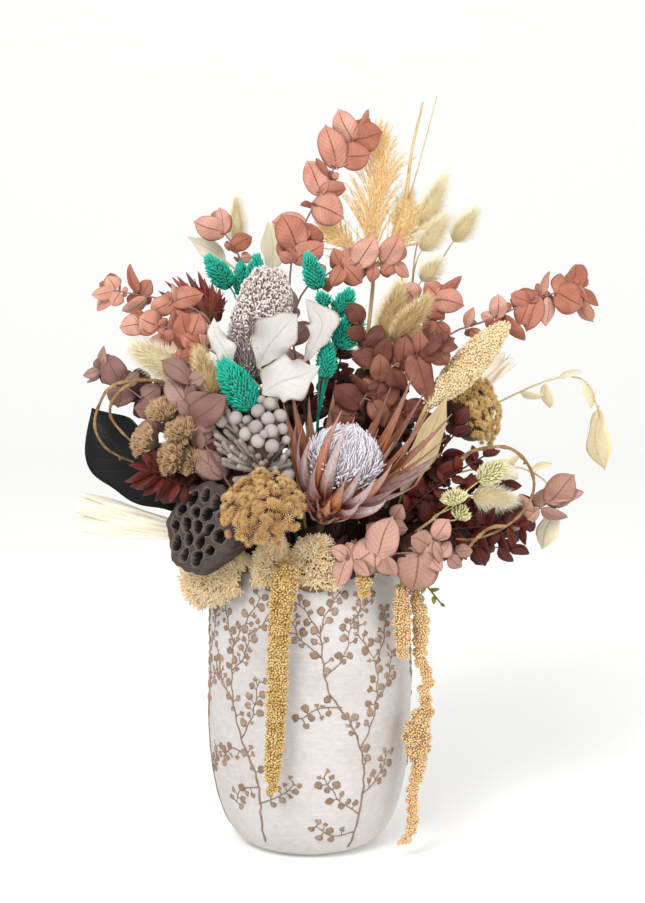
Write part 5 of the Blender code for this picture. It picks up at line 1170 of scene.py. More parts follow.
def makeYarrow(node, spec):
    heap, join, middles = Heap(), spots(spec["join"]), []
    for centre, axis, radius, thick in spec["domes"]:
        axis, radius = unit(axis), radius * mm
        ends = np.array(((0.37,), (-0.42,))) * axis * radius * thick
        middle = held(node, shifted(centre), lambda place: place + ends)
        addDome(heap, (middle, axis, radius, thick), spec)
        base = middle - axis * 0.30 * radius * thick
        heap.add(tube(bezier((join, base - axis * radius * 1.4, base), 9), np.full(9, 1.5 * mm), 7), 0.5, 2)
        middles.append(middle)
    enter = unit(np.mean(middles, axis=0) - join)
    addStem(heap, node, [join, join + enter * 3 * mm], enter, spec["stem"], 2)
    makePiece(node + "Heads", heap, spec["paint"] + " yarrowEye greenStraw underside", node)


for node, spec in yarrows.items():
    makeYarrow(node, spec)
print("lotus pod, yarrow")


# Ropes of amaranthus and heads of millet: strands along paths of (across, down, depth, radius), on
# stems whose way starts inside; a strand holds seeds or is a feathery head.
strands = dict(
    amaranthus_front=dict(form="rope", paint="rope", way=[(290, 556, -92), (286, 559, -104)],
        strands=[[(284, 566, -112, 8), (285, 578, -122, 12.5), (281, 610, -124, 11), (278, 650, -124, 10),
        (277, 695, -124, 10), (275, 735, -124, 9), (273, 770, -122, 8), (271.6, 791, -120, 5)]]),
    amaranthus_right=dict(form="rope", paint="ropePink", way=[(386, 555, -76), (402, 562, -80)],
        strands=[[(402, 590, -88, 7), (402, 622, -88, 9), (403, 655, -86, 6)], [(414, 590, -74, 6),
        (421, 618, -74, 8), (420, 650, -72, 7), (422, 665, -72, 6), (429, 678, -72, 6), (423, 693, -72, 6),
        (428, 708, -72, 7), (418, 722, -72, 11), (417, 742, -70, 14), (419, 758, -70, 9),
        (417, 776, -70, 6.5), (412, 794, -70, 6), (413, 816, -70, 6), (410, 834, -70, 5.5),
        (401, 844, -70, 4)]]),
    amaranthus_short=dict(form="rope", paint="rope", way=[(361, 556, -84), (361, 559, -96)],
        strands=[[(362, 571, -104, 6), (364, 584, -107, 8), (364, 595, -107, 5)]]),
    millet_right=dict(form="millet", paint="millet", way=[(420, 420, -58)], strands=[[(428, 404, -58, 5),
        (442, 391, -54, 11), (458, 376, -48, 15), (476, 356, -40, 15.5), (492, 339, -32, 12),
        (506, 325, -26, 5)]]),
    millet_left=dict(form="feather", paint="bunnyPale", way=[(206, 396, -44)], strands=[[(196, 382, -44, 6),
        (178, 369, -46, 13), (160, 360, -48, 14), (143, 352, -50, 13), (128, 343, -52, 7)]]),
)
# a low core tone paints the ropes' core dark, as painted shade in the gaps between the seed lumps; the
# millet's core keeps its own tan
seedForms = dict(
    rope=dict(lump=4.9, apart=8.4, seed=1.25, number=24, whorl=(10.4, 0.10), core=0.6, coreToneAndShade=0.1,
              sink=1.08),
    millet=dict(lump=3.4, apart=5.0, seed=1.5, number=12, whorl=(0.6, 0.0), core=0.8, coreToneAndShade=0.5, sink=1.0),
)


def strandSeeds(heap, points, form):
    # round lumps over the strand by the golden turn, at even steps of its surface; each holds seeds
    points = np.array(points, float)
    rings = 36 * len(points)
    path = smooth(spots(points[:, :3]), rings)
    radii = smooth(points[:, 3:], rings)[:, 0]
    lengths = np.append(0, np.cumsum(np.linalg.norm(np.diff(path, axis=0), axis=1))) / mm
    step, swell = form["whorl"]
    radii = radii * (1 - swell + swell * np.cos(2 * math.pi * lengths / step))
    # the core, seen in the gaps between lumps: for the ropes its dark tone is painted shade
    heap.add(tube(path[::3], radii[::3] * form["core"] * mm, 12), form["coreToneAndShade"], 0)
    area = np.append(0, np.cumsum(np.diff(lengths) * math.pi * (radii[1:] + radii[:-1])))
    count = max(4, int(area[-1] / form["apart"] ** 2))
    at = np.interp((np.arange(count) + 0.5) / count * area[-1], area, np.arange(rings))
    whorl = np.round(np.interp(at, np.arange(rings), lengths) / step) * step
    at = np.interp(whorl + chance.normal(0, 0.06 * step, count), lengths, np.arange(rings)) / (rings - 1)
    turn = (goldenTurn * np.arange(count) + chance.normal(0, 0.3, count))[:, None]
    _, side, other = frames(path)
    radial = unit(np.cos(turn) * along(side, at) + np.sin(turn) * along(other, at))
    radius = along(radii[:, None], at)[:, 0]
    lump = np.minimum(form["lump"], radius * 0.66) * chance.uniform(0.85, 1.2, count)
    middles = along(path, at) + radial * ((radius - lump) * mm * form["sink"])[:, None]
    spin = chance.uniform(*anyTurn, count)
    ball = (ballSpots(form["number"], 1.25), np.zeros((0, 4), int), 0.0, 0.0)
    places = scatter(ball, middles, radial, lump * mm, spin=spin)[0]
    ways = unit(places - middles[:, None]).reshape(-1, 3)
    places = places.reshape(-1, 3) + chance.normal(0, 0.22, (len(ways), 3)) * mm
    size = chance.uniform(0.75, 1.2, len(ways)) * form["seed"] * mm
    tone = np.repeat(chance.uniform(0.35, 0.8, count), form["number"]) + chance.normal(0, 0.18, len(ways))
    heap.add(scatter(bead(2, 4), places, ways, size), np.clip(tone, 0, 1), 0)


def makeStrands(node, spec):
    heap = Heap()
    for points in spec["strands"]:
        if spec["form"] == "feather":
            grassHead(heap, "feather", spots(points[0][:3]), spots(points[-1][:3]), 13.5)
        else:
            strandSeeds(heap, points, seedForms[spec["form"]])
    way = [spots(place) for place in spec["way"]]
    starts = [spots(points[0][:3]) for points in spec["strands"]]
    for start in starts[1:]:
        heap.add(tube([way[-1], start], (2.0 * mm, 2.0 * mm), 7), 0.5, 1)
    path = way + [starts[0], (starts[0] + spots(spec["strands"][0][1][:3])) / 2]
    addStem(heap, node, path, unit(path[1] - path[0]), 2.2, 1)
    makePiece(node + "Strands", heap, spec["paint"] + " straw", node)


for node, spec in strands.items():
    makeStrands(node, spec)
print("strands:", len(strands))


# Large leaves, lofted along paths of (across, down, depth) with half widths at even steps between
# their ends.
bigLeaves = dict(
    black_leaf=dict(colour="black", join=(216, 530, -34), face=(0.2, -0.9, -0.3), blades=[
        dict(path=[(197, 520, -40), (172, 497, -46), (140, 470, -46), (112, 440, -40), (92, 408, -30)],
             wide=(15, 31, 30))]),
    white_leaves=dict(colour="white", join=(276, 402, -66), face=(0, -1, 0.2), blades=[
        dict(path=[(258, 369, -78), (266, 350, -82), (280, 332, -84), (297, 314, -82)],
             wide=(7, 17, 20, 20, 13)),
        dict(path=[(303, 363, -74), (315, 344, -70), (322, 322, -66), (306, 299, -64)],
             wide=(5, 7, 13, 15, 9)),
        dict(path=[(262, 394, -92), (280, 382, -100), (300, 376, -102), (320, 366, -96)],
             wide=(12, 20, 22, 17, 7)),
        dict(path=[(232, 362, -76), (224, 349, -80), (215, 334, -82), (214, 318, -78)], wide=(9, 10, 8, 5))]),
    cream_leaves=dict(colour="ivory", join=(262, 290, 34), face=(0, -1, 0.1), blades=[
        dict(path=[(272, 272, 30), (273, 255, 30), (272, 238, 32), (268, 221, 34)], wide=(8, 10, 12, 11, 6)),
        dict(path=[(226, 262, 40), (214, 252, 38), (200, 244, 36), (187, 236, 34)], wide=(6, 9, 10, 7, 3))]),
    spear_leaf=dict(colour="husk", join=(394, 524, -46), face=(0.1, -1, 0.1), blades=[
        dict(path=[(400, 496, -58), (414, 468, -60), (431, 433, -60), (447, 396, -58)], wide=(11, 12))]),
)
bladeForms = dict(
    black=dict(paints="black brownStalk black", grid=(41, 17), lift=0.22, curl=0.0, lobes=0.05, waves=3.0),
    white=dict(paints="bleached ivoryStalk felt", grid=(49, 17), lift=0.30, curl=0.44, lobes=0.12,
        waves=3.4),
    ivory=dict(paints="cream ivoryStalk cream", grid=(29, 11), lift=0.24, curl=0.10, lobes=0.05, waves=2.0),
    husk=dict(paints="husk straw husk", grid=(29, 11), lift=0.55, curl=0.12, lobes=0.06, waves=3.0),
)


def bladeShape(path, halves, face, form, number):
    # path(v) + u half(v) side + (lift u^2 + curl of the lobed edge) half out
    rows, columns = form["grid"]
    curve = smooth(path, rows)
    v = np.linspace(0, 1, rows)[:, None]
    u = np.linspace(-1, 1, columns)[None, :]
    wide = np.concatenate([[0.5], halves, [0.2]])[:, None]
    half = np.clip(smooth(wide, rows), 0.35, None) * mm
    lobe = np.sin(2 * np.pi * form["waves"] * v + number + 1.4 * u) + 0.5 * np.sin(17 * v + 3 * number + u)
    half = half * (1 + form["lobes"] * lobe * np.abs(u) ** 2)
    ahead = unit(np.gradient(curve, axis=0))
    side = unit(np.cross(face, ahead))
    out = np.cross(ahead, side)
    curl = np.abs(u) ** 3 * np.sin(2 * np.pi * form["waves"] * 0.6 * v + 2 * number + 0.8 * u)
    rise = half * (form["lift"] * np.abs(u) ** 1.7 + form["curl"] * curl)
    middle = curve[:, None] + (u * half)[..., None] * side[:, None] + rise[..., None] * out[:, None]
    return closedSheet(middle, 0.4 * mm * out[:, None], v, u)


def makeBigLeaves(node, spec):
    form, heap, roots = bladeForms[spec["colour"]], Heap(), []
    for number, part in enumerate(spec["blades"]):
        path = held(node, shifted(part["path"]))
        blade = bladeShape(path, part["wide"], unit(spec["face"]), form, number)
        heap.add(blade, 0.3 + 0.2 * number, twoPaints(form["grid"], 0, 2))
        roots.append(path[0] * 0.85 + path[1] * 0.15)
    join = spots(spec["join"])
    for root in roots:
        curves = [(join, (join + root) / 2 + side, root) for side in aside]
        heap.add(tube(branch(node, curves, 9, 1), np.full(9, 1.2 * mm), 6), 0.5, 1)
    enter = unit(np.mean(roots, axis=0) - join)
    addStem(heap, node, [join, join + enter * 3 * mm], enter, 1.6, 1)
    makePiece(node + "Blades", heap, form["paints"], node)


def blackPaint():
    # near black, with a soft gloss and fine veins pressed in
    paint = Paint("black leaf")
    _, v, u = paint.grain()
    across = abs(u)
    veins = paint.fade(abs((v * 11.0 - across * 2.2).fraction() - 0.5), 0.02, 0.14)
    rib = paint.fade(across, 0.015, 0.06)
    patch = paint.noise(40.0, 4.0)
    colour = paint.mix((patch * 0.6 + rib * 0.4).clamped(), (0.02, 0.02, 0.02), (0.13, 0.13, 0.13))
    height = patch * 0.8 - veins * 0.25 - rib * 0.7
    return paint.finish(Base_Color=colour, Roughness=patch * 0.3 + 0.30, Specular_IOR_Level=0.16,
                        Normal=paint.bump(height, 0.5, 0.8))


paints["black"] = blackPaint()
for node, spec in bigLeaves.items():
    makeBigLeaves(node, spec)
print("large leaves")


# Palm leaves: fans of narrow folded leaflets between a foot and two outer tips.
palms = dict(palm_left=dict(base=(176, 530, -34), tips=((72, 484, -14), (74, 537, -30)), folds=5),
             palm_right=dict(base=(452, 404, -8), tips=((500, 348, 6), (522, 362, -4)), folds=4))
palmForm = dict(pleat=5.0, wave=4.6, thick=0.7, foot=20.0, rows=25)


def palmShape(base, first, second, folds):
    # a pleated sheet: across the fan it runs in a zigzag, and each fold ends in its own point
    across = unit(second - first)
    ahead = unit((first + second) / 2 - base)
    face = unit(np.cross(ahead, across))
    columns = 8 * folds + 1
    share = np.linspace(0, 1, columns)[None, :]
    reach = np.linspace(0, 1, palmForm["rows"])[:, None]
    fold = np.abs(((share * folds * 2) % 2) - 1)
    near = base + across * (share[..., None] - 0.5) * palmForm["foot"] * mm
    roundEnd = (1 - 0.10 * (2 * share - 1) ** 2) * (0.90 + 0.10 * (1 - np.abs(2 * fold - 1)))
    far = base + (first + (second - first) * share[..., None] - base) * roundEnd[..., None]
    lap = palmForm["wave"] * mm * reach ** 1.5 * np.sin(7 * reach + 17 * share)
    depth = palmForm["pleat"] * mm * (0.25 + 0.75 * reach) * (0.5 - fold)
    middle = near + (far - near) * reach[..., None] + depth[..., None] * face
    middle = middle + lap[..., None] * (face + 0.5 * across)
    return closedSheet(middle, palmForm["thick"] / 2 * mm * face, reach, 2 * fold - 1)


def makePalm(node, spec):
    heap = Heap()
    base, first, second = held(node, shifted((spec["base"], *spec["tips"])))
    heap.add(palmShape(base, first, second, spec["folds"]), 0.5)
    ahead = unit((first + second) / 2 - base)
    addStem(heap, node, [base, base + ahead * 4 * mm], ahead, 2.0, 1)
    makePiece(node + "Fan", heap, "palm ivoryStalk", node)


def palmPaint():
    # ivory, with fine fibres along it, a darker line in each fold, and a faint painted glow of its own colour
    paint = Paint("ivory palm")
    _, _, u = paint.grain()
    fibre = paint.noise(900.0)
    patch = paint.noise(60.0, 4.0)
    tones = (0.93, 0.87, 0.74), (0.97, 0.94, 0.87), (1.0, 0.99, 0.95)
    colour = paint.ramp((patch * 0.7 + fibre * 0.5 - 0.1).clamped(), tones)
    colour = paint.mix(paint.fade(abs(u), 1.0, 0.80) * 0.5, colour, (0.90, 0.80, 0.56))
    # painted light: a faint glow in its own colour lifts the side turned away from the lamps
    paint.finish(Emission_Color=colour, Emission_Strength=0.12)
    return paint.finish(Base_Color=colour, Roughness=0.55, Normal=paint.bump(fibre, 0.4, 0.4))


paints["palm"] = palmPaint()
for node, spec in palms.items():
    makePalm(node, spec)


# Plume grass: fluffy branchlets of fine spikelets round slim cores, a flat straw and a thin one.
plume = dict(
    paths=[[(374, 268, 24), (372, 225, 26), (380, 180, 28), (377, 142, 28)], [(366, 262, 24),
        (345, 244, 20), (332, 232, 18)], [(378, 262, 26), (398, 240, 32), (406, 222, 34)]],
    straws=[dict(way=[(384, 262, 34), (404, 205, 36), (412, 150, 38), (423, 102, 40)], half=2.4),
        dict(way=[(390, 256, 40), (414, 182, 44), (437, 96, 50)], half=1.0)],
    radii=(2.4, 0.7), branchlets=(175, 70, 76), reach=((66, 24), (36, 20), (44, 24)), spikelets=31,
)


def branchletsOf(path, count, reach):
    # curves that rise from a stem and bend outwards
    at = (np.arange(count) + 0.5) / count * 0.93
    ahead = unit(along(np.gradient(path, axis=0), at))
    radial = radialOf(ahead, goldenTurn * np.arange(count) + chance.normal(0, 0.3, count))
    radial = radial * np.where(radial[:, 1:2] < 0, (1.0, 0.35, 1.0), (1.0, 1.0, 1.0))
    root = along(path, at)
    far = (np.interp(at, (0, 1), reach) * chance.uniform(0.75, 1.15, count) * mm)[:, None]
    v = np.linspace(0, 1, 7)[:, None, None]
    lean = 0.26 + 0.46 * chance.random((count, 1))
    return root + far * (v * ahead * (1 - 0.12 * v) + lean * v ** 1.5 * radial + 0.10 * v ** 2 * upright)


def makePlume(spec):
    heap = Heap()
    number = spec["spikelets"]
    share = 0.12 + 0.88 * (np.arange(number) + 0.5) / number
    for points, count, reach in zip(spec["paths"], spec["branchlets"], spec["reach"]):
        path = smooth(spots(points), 40)
        heap.add(tube(path, np.linspace(*spec["radii"], 40) * mm, 8), 0.3, 0)
        curves = branchletsOf(path, count, reach).swapaxes(0, 1)
        for curve in curves:
            heap.add(tube(curve, np.linspace(0.35, 0.15, 7) * mm, 3), 0.2, 0)
        places = np.concatenate([along(curve, share) for curve in curves])
        ahead = unit(np.concatenate([along(np.gradient(curve, axis=0), share) for curve in curves]))
        way = unit(ahead + chance.normal(0, 0.36, ahead.shape))
        size = chance.uniform(4.0, 8.0, len(places)) * mm
        spikelets = scatter(stick((1.0, 0.2), 3), places, way, size, 0.42 * mm)
        heap.add(spikelets, chance.uniform(0, 1, len(places)), 0)
    for straw in spec["straws"]:
        way = smooth(spots(straw["way"]), 24)
        heap.add(tube(way, np.linspace(1.0, 0.35, 24) ** 0.8 * straw["half"] * mm, 8), 0.6, 1)
    base = spots(spec["paths"][0][0])
    for points in spec["paths"][1:] + [straw["way"] for straw in spec["straws"]]:
        heap.add(tube([base, spots(points[0])], (1.6 * mm, 1.6 * mm), 7), 0.5, 1)
    addStem(heap, "plume", [base, spots(spec["paths"][0][1])], upright, 2.0, 1)
    makePiece("plumeGrass", heap, "gold straw", "plume")


makePlume(plume)
print("palms, plume grass")


# Curly willow: knotted twigs.
willows = {
    "willow_left": [[(186, 404, -64), (172, 388, -64), (158, 381, -66), (142, 380, -68), (124, 382, -70),
        (110, 387, -72), (102, 399, -74), (96, 414, -76), (95, 428, -76), (103, 445, -76), (119, 456, -74),
        (134, 462, -70)], [(134, 381, -69), (120, 391, -66), (111, 404, -62), (111, 417, -58),
        (120, 430, -58), (132, 442, -60)]],
    "willow_right": [[(452, 470, -60), (470, 452, -66), (488, 448, -72), (504, 447, -76), (518, 453, -80),
        (530, 468, -82), (534, 484, -82), (530, 501, -82), (516, 519, -82), (495, 532, -82),
        (474, 539, -80), (456, 539, -78)], [(506, 526, -82), (490, 528, -88), (476, 539, -92),
        (466, 551, -92), (455, 559, -90), (445, 559, -86)]],
}
willowForm = dict(start=1.8, end=1.0, step=3, length=3.4, spur=(1.7, 1.3, 1.2, 1.0, 0.6))


def makeWillow(node, twigs):
    heap, form = Heap(), willowForm
    for points in twigs:
        rough = smooth(spots(points), int(1.15 * len(points)))
        path = smooth(rough, 8 * len(rough))
        share = np.linspace(0, 1, len(path))
        knots = 1 + 0.38 * np.abs(np.sin(share * 2.2 * len(rough))) ** 9 + 0.05 * np.sin(share * 210)
        heap.add(tube(path, np.linspace(form["start"], form["end"], len(path)) * knots * mm, 10), 0.5)
        for k in range(2, len(rough) - 1, form["step"]):
            axis = unit(rough[k + 1] - rough[k - 1])
            end = rough[k] + (crossAxes(axis)[k % 2] + 0.4 * axis) * form["length"] * mm
            path = np.linspace(0, 1, 5)[:, None] * (end - rough[k]) + rough[k]
            heap.add(tube(path, np.array(form["spur"]) * mm, 7), 0.2)
    way = [spots(point) for point in twigs[0][:2]]
    addStem(heap, node, way, unit(way[1] - way[0]), form["start"])
    makePiece(node + "Twigs", heap, "willow", node)


def willowPaint():
    # tan bark with dark patches
    paint = Paint("willow bark")
    streak = paint.noise(420.0, 4.0, stretch=0.3)
    patch = paint.noise(70.0, 4.0, 0.7)
    tones = (0.18, 0.12, 0.09), (0.52, 0.37, 0.22), (0.78, 0.62, 0.42)
    colour = paint.ramp((patch * 1.1 + streak * 0.3 - 0.2).clamped(), tones, 0.26, 0.44, 0.8)
    return paint.finish(Base_Color=colour, Roughness=0.6, Normal=paint.bump(streak, 0.6, 0.6))


paints["willow"] = willowPaint()
for node, twigs in willows.items():
    makeWillow(node, twigs)


# Leafy sprays: a stem of (across, down) with its depth from first to last; a leaf is its base, its
# tip and its width as seen, in one row. A fork leaves a spray's stem, with leaves on alternate sides.
sprays = dict(
    eucalyptus_top=dict(colour="rust", depth=(-6, 16), stem=[(290, 276), (295, 250), (302, 230), (315, 207),
        (327, 178), (336, 164), (350, 144), (354, 137)],
        leaves=[(354, 137, 338, 109, 24), (354, 137, 383, 134, 30), (357, 132, 369, 110, 10),
        (336, 164, 328, 124, 28), (341, 156, 371, 154, 28), (327, 177, 316, 158, 9),
        (330, 172, 339, 181, 10), (320, 192, 306, 161, 24), (315, 206, 345, 216, 32),
        (304, 228, 272, 220, 26), (296, 248, 282, 214, 32), (300, 236, 312, 231, 14),
        (294, 258, 324, 243, 24), (293, 262, 279, 253, 12)]),
    eucalyptus_crown=dict(colour="rust", depth=(-14, -2), stem=[(301, 296), (312, 285), (328, 275),
        (340, 267), (359, 264), (376, 263), (399, 261)],
        leaves=[(341, 267, 333, 288, 16), (341, 267, 334, 248, 14), (345, 267, 363, 282, 24),
        (358, 264, 373, 236, 26), (374, 263, 370, 282, 14), (386, 262, 398, 234, 24),
        (398, 261, 382, 274, 18), (394, 262, 409, 277, 12), (325, 277, 312, 266, 18)]),
    eucalyptus_mid=dict(colour="rust", depth=(2, 8), stem=[(396, 322), (408, 304), (420, 296), (440, 297),
        (452, 303)],
        leaves=[(415, 300, 404, 283, 24), (432, 296, 464, 307, 26), (437, 297, 461, 275, 12),
        (440, 297, 424, 283, 20), (409, 303, 392, 296, 16)]),
    eucalyptus_right=dict(colour="rust", depth=(-10, 2), stem=[(444, 338), (470, 329), (495, 317),
        (510, 309), (531, 303), (541, 297), (558, 293), (581, 287)],
        leaves=[(497, 317, 500, 294, 18), (492, 318, 478, 314, 14), (504, 312, 523, 341, 14),
        (530, 303, 511, 293, 18), (530, 303, 518, 325, 22), (531, 302, 526, 288, 12),
        (537, 299, 527, 332, 20), (542, 296, 550, 271, 8), (548, 296, 544, 289, 7),
        (548, 297, 547, 326, 14), (558, 293, 584, 305, 31), (579, 287, 573, 277, 13),
        (582, 286, 594, 322, 17), (582, 286, 599, 305, 10), (472, 328, 481, 341, 12),
        (466, 330, 473, 307, 10)]),
    eucalyptus_left=dict(colour="rust", depth=(-40, -34), stem=[(206, 318), (181, 305), (170, 301),
        (147, 296), (128, 294), (112, 290)],
        leaves=[(112, 290, 92, 296, 14), (116, 291, 108, 276, 18), (112, 291, 98, 312, 13),
        (121, 293, 112, 306, 16), (126, 294, 124, 284, 8), (137, 295, 131, 264, 10),
        (140, 296, 152, 281, 16), (148, 296, 122, 311, 14), (172, 301, 151, 314, 20),
        (172, 302, 203, 292, 22), (176, 303, 171, 284, 7)]),
    eucalyptus_inner=dict(colour="rust", depth=(-52, -46), stem=[(236, 372), (222, 358), (206, 348),
        (186, 338), (172, 330), (160, 325), (142, 324)],
        leaves=[(158, 325, 139, 317, 27), (142, 324, 119, 326, 21), (146, 324, 133, 309, 12),
        (197, 344, 180, 334, 20), (205, 347, 207, 322, 14), (190, 340, 180, 312, 24),
        (176, 332, 172, 309, 9), (157, 326, 170, 336, 13), (190, 340, 202, 314, 24)]),
    eucalyptus_corner=dict(colour="rust", depth=(20, 14), stem=[(252, 292), (243, 266), (234, 246),
        (222, 229)],
        leaves=[(222, 229, 193, 223, 24), (221, 228, 220, 207, 16), (232, 242, 227, 252, 12),
        (234, 246, 252, 236, 18), (240, 258, 254, 256, 14)]),
    mauve_left=dict(colour="mauve", depth=(-58, -54), stem=[(186, 420), (170, 412), (146, 403), (132, 391),
        (120, 383), (99, 369)],
        leaves=[(119, 382, 107, 354, 25), (121, 384, 119, 408, 26), (126, 388, 137, 371, 14),
        (141, 401, 160, 385, 19), (158, 408, 134, 409, 20), (99, 369, 104, 346, 8), (99, 369, 83, 375, 10),
        (99, 369, 88, 383, 5), (101, 370, 97, 356, 8), (103, 372, 107, 386, 9)]),
    mauve_mid=dict(colour="mauve", depth=(-92, -84), stem=[(230, 486), (222, 473), (205, 445), (190, 418),
        (186, 404), (184, 392), (190, 378)],
        leaves=[(190, 380, 162, 358, 19), (188, 384, 205, 376, 16), (186, 402, 165, 380, 26),
        (188, 412, 206, 392, 22), (191, 421, 229, 396, 28), (188, 418, 178, 401, 13),
        (192, 423, 216, 428, 17), (196, 430, 214, 446, 18), (208, 450, 226, 474, 9),
        (222, 474, 192, 451, 25)]),
    eucalyptus_heart=dict(colour="brown", depth=(-56, -70), stem=[(350, 420), (364, 398), (376, 381),
        (386, 371), (400, 362), (420, 352), (440, 344)],
        leaves=[(378, 379, 381, 348, 23), (386, 372, 402, 384, 20), (376, 381, 376, 401, 23),
        (370, 389, 362, 376, 11), (399, 362, 394, 349, 12), (402, 360, 407, 336, 20),
        (402, 361, 413, 371, 16), (422, 351, 455, 338, 21), (420, 352, 421, 332, 18),
        (440, 345, 458, 349, 12), (418, 354, 442, 358, 14), (416, 357, 424, 400, 25),
        (434, 348, 446, 366, 20), (359, 405, 336, 384, 26), (352, 416, 330, 412, 24),
        (366, 395, 353, 373, 11), (390, 370, 408, 390, 14)]),
    mauve_low=dict(colour="rose", depth=(-104, -108), stem=[(332, 548), (346, 560), (358, 561), (380, 556),
        (400, 552), (421, 552), (438, 546), (438, 534)],
        leaves=[(346, 560, 331, 547, 15), (346, 561, 335, 586, 19), (357, 561, 345, 543, 16),
        (352, 561, 370, 573, 13), (356, 561, 384, 546, 30), (378, 556, 392, 516, 32),
        (386, 555, 395, 577, 12), (420, 552, 412, 591, 40), (432, 548, 411, 536, 22),
        (437, 546, 432, 564, 16), (440, 540, 450, 520, 20), (438, 545, 441, 567, 8)]),
    mauve_right=dict(colour="rose", depth=(-50, -40), stem=[(468, 548), (488, 540), (506, 531), (522, 520),
        (538, 509), (552, 500)],
        leaves=[(552, 500, 576, 476, 29), (552, 500, 583, 490, 14), (540, 508, 568, 517, 12),
        (537, 510, 514, 527, 20), (510, 529, 524, 527, 6), (531, 514, 520, 494, 12),
        (492, 538, 480, 520, 14)]),
    red_left=dict(colour="red", depth=(-62, -98), stem=[(222, 484), (200, 486), (180, 484), (164, 476),
        (152, 468)],
        leaves=[(152, 468, 129, 466, 8), (154, 470, 124, 481, 8), (158, 474, 130, 487, 9),
        (162, 475, 134, 489, 8), (166, 477, 143, 496, 10), (168, 478, 154, 501, 9), (158, 472, 153, 458, 7),
        (172, 480, 160, 464, 8), (178, 483, 171, 503, 9), (184, 486, 186, 504, 9)]),
    red_right=dict(colour="red", depth=(-64, -60), stem=[(424, 532), (450, 529), (476, 527), (500, 526),
        (524, 526)],
        leaves=[(436, 531, 443, 556, 9), (446, 530, 452, 508, 8), (456, 529, 466, 556, 9),
        (466, 528, 470, 508, 8), (476, 528, 488, 556, 9), (486, 527, 494, 506, 8), (496, 527, 508, 554, 9),
        (506, 527, 516, 551, 8), (514, 527, 522, 509, 7), (524, 526, 534, 520, 7),
        (522, 526, 526, 545, 7)]),
    red_mid=dict(colour="red", depth=(-66, -60), stem=[(398, 520), (420, 500), (442, 482), (464, 468),
        (486, 455)],
        leaves=[(408, 511, 404, 494, 8), (414, 505, 432, 512, 9), (424, 497, 420, 478, 9),
        (432, 490, 448, 498, 9), (442, 482, 438, 464, 9), (450, 477, 466, 484, 8), (458, 472, 456, 455, 8),
        (468, 466, 484, 470, 8), (476, 461, 474, 446, 7), (486, 455, 500, 450, 7)]),
    red_centre=dict(colour="red", depth=(-24, -20), stem=[(352, 440), (346, 420), (340, 398), (337, 374),
        (342, 352)],
        leaves=[(350, 432, 334, 424, 10), (347, 422, 364, 412, 10), (343, 410, 326, 400, 10),
        (341, 402, 358, 390, 10), (339, 390, 322, 380, 10), (338, 380, 354, 368, 10),
        (338, 368, 324, 358, 9), (340, 360, 356, 350, 9), (342, 352, 342, 334, 9)]),
    skeleton_right=dict(colour="ivory", depth=(-6, 6), stem=[(470, 420), (503, 406), (519, 391), (546, 381),
        (569, 376), (584, 380), (596, 396), (601, 420)],
        leaves=[(601, 420, 603, 471, 22), (584, 380, 592, 408, 10), (546, 381, 549, 408, 12),
        (558, 378, 583, 372, 7), (519, 391, 545, 396, 8)]),
    skeleton_low=dict(colour="ivory", depth=(-14, -6), stem=[(470, 470), (500, 466), (530, 470), (548, 482),
        (553, 500), (556, 518)],
        leaves=[(556, 518, 540, 549, 20), (530, 470, 552, 463, 7), (500, 466, 520, 456, 8),
        (496, 466, 518, 480, 19)]),
    green_sprig=dict(colour="green", depth=(-78, -84), stem=[(404, 556), (416, 570), (424, 584), (434, 594),
        (443, 606)],
        leaves=[(418, 574, 428, 573, 5), (424, 584, 421, 596, 5), (429, 589, 441, 590, 5),
        (434, 595, 433, 606, 5), (441, 603, 447, 608, 4)]),
)
forks = dict(
    eucalyptus_heart=[dict(way=[(364, 398), (384, 406), (420, 418)], lean=10, count=5, length=27, wide=20),
        dict(way=[(386, 371), (374, 352), (358, 322)], lean=30, count=5, length=25, wide=19)],
    eucalyptus_inner=[dict(way=[(206, 348), (196, 362), (182, 368)], lean=6, count=4, length=22, wide=18)],
    eucalyptus_left=[dict(way=[(181, 305), (186, 322), (198, 334)], lean=4, count=4, length=26, wide=19)],
    eucalyptus_mid=[dict(way=[(420, 296), (426, 312), (438, 324)], lean=8, count=4, length=22, wide=15)],
    mauve_mid=[dict(way=[(190, 418), (174, 430), (158, 430)], lean=20, count=4, length=24, wide=18)],
    mauve_low=[dict(way=[(380, 556), (384, 536), (392, 520)], lean=20, count=4, length=22, wide=17),
        dict(way=[(421, 552), (440, 558), (456, 552)], lean=10, count=4, length=20, wide=14)],
    red_mid=[dict(way=[(420, 500), (440, 512), (474, 516)], lean=4, count=6, length=26, wide=11),
        dict(way=[(442, 482), (464, 495), (500, 486)], lean=4, count=6, length=26, wide=11),
        dict(way=[(430, 490), (440, 456), (456, 424)], lean=16, count=6, length=26, wide=11),
        dict(way=[(408, 511), (406, 478), (424, 446)], lean=20, count=5, length=26, wide=11)],
    red_right=[dict(way=[(450, 529), (474, 545), (510, 548)], lean=2, count=6, length=24, wide=11),
        dict(way=[(430, 532), (416, 512), (396, 496)], lean=10, count=4, length=24, wide=11)],
    red_centre=[dict(way=[(346, 420), (366, 434), (402, 436)], lean=6, count=5, length=26, wide=12),
        dict(way=[(340, 398), (322, 392), (304, 396)], lean=8, count=4, length=24, wide=12)],
    red_left=[dict(way=[(200, 486), (190, 470), (180, 456)], lean=6, count=4, length=22, wide=10)],
)
forkForm = dict(radius=1.0, bare=0.22, spread=55)
backSprays = dict(
    back_left=dict(colour="rust", tip=(-150, 110, 500), count=7),
    back_middle=dict(colour="mauve", tip=(-30, 165, 540), count=7),
    back_right=dict(colour="rust", tip=(110, 150, 520), count=7),
    back_low=dict(colour="mauve", tip=(60, 180, 420), count=7))
leafTries = [(turn, shift, scale) for scale in (1.0, 0.84, 0.7)
             for shift in (0, -8, 8, -16, 16) for turn in (0, 22, -22)]
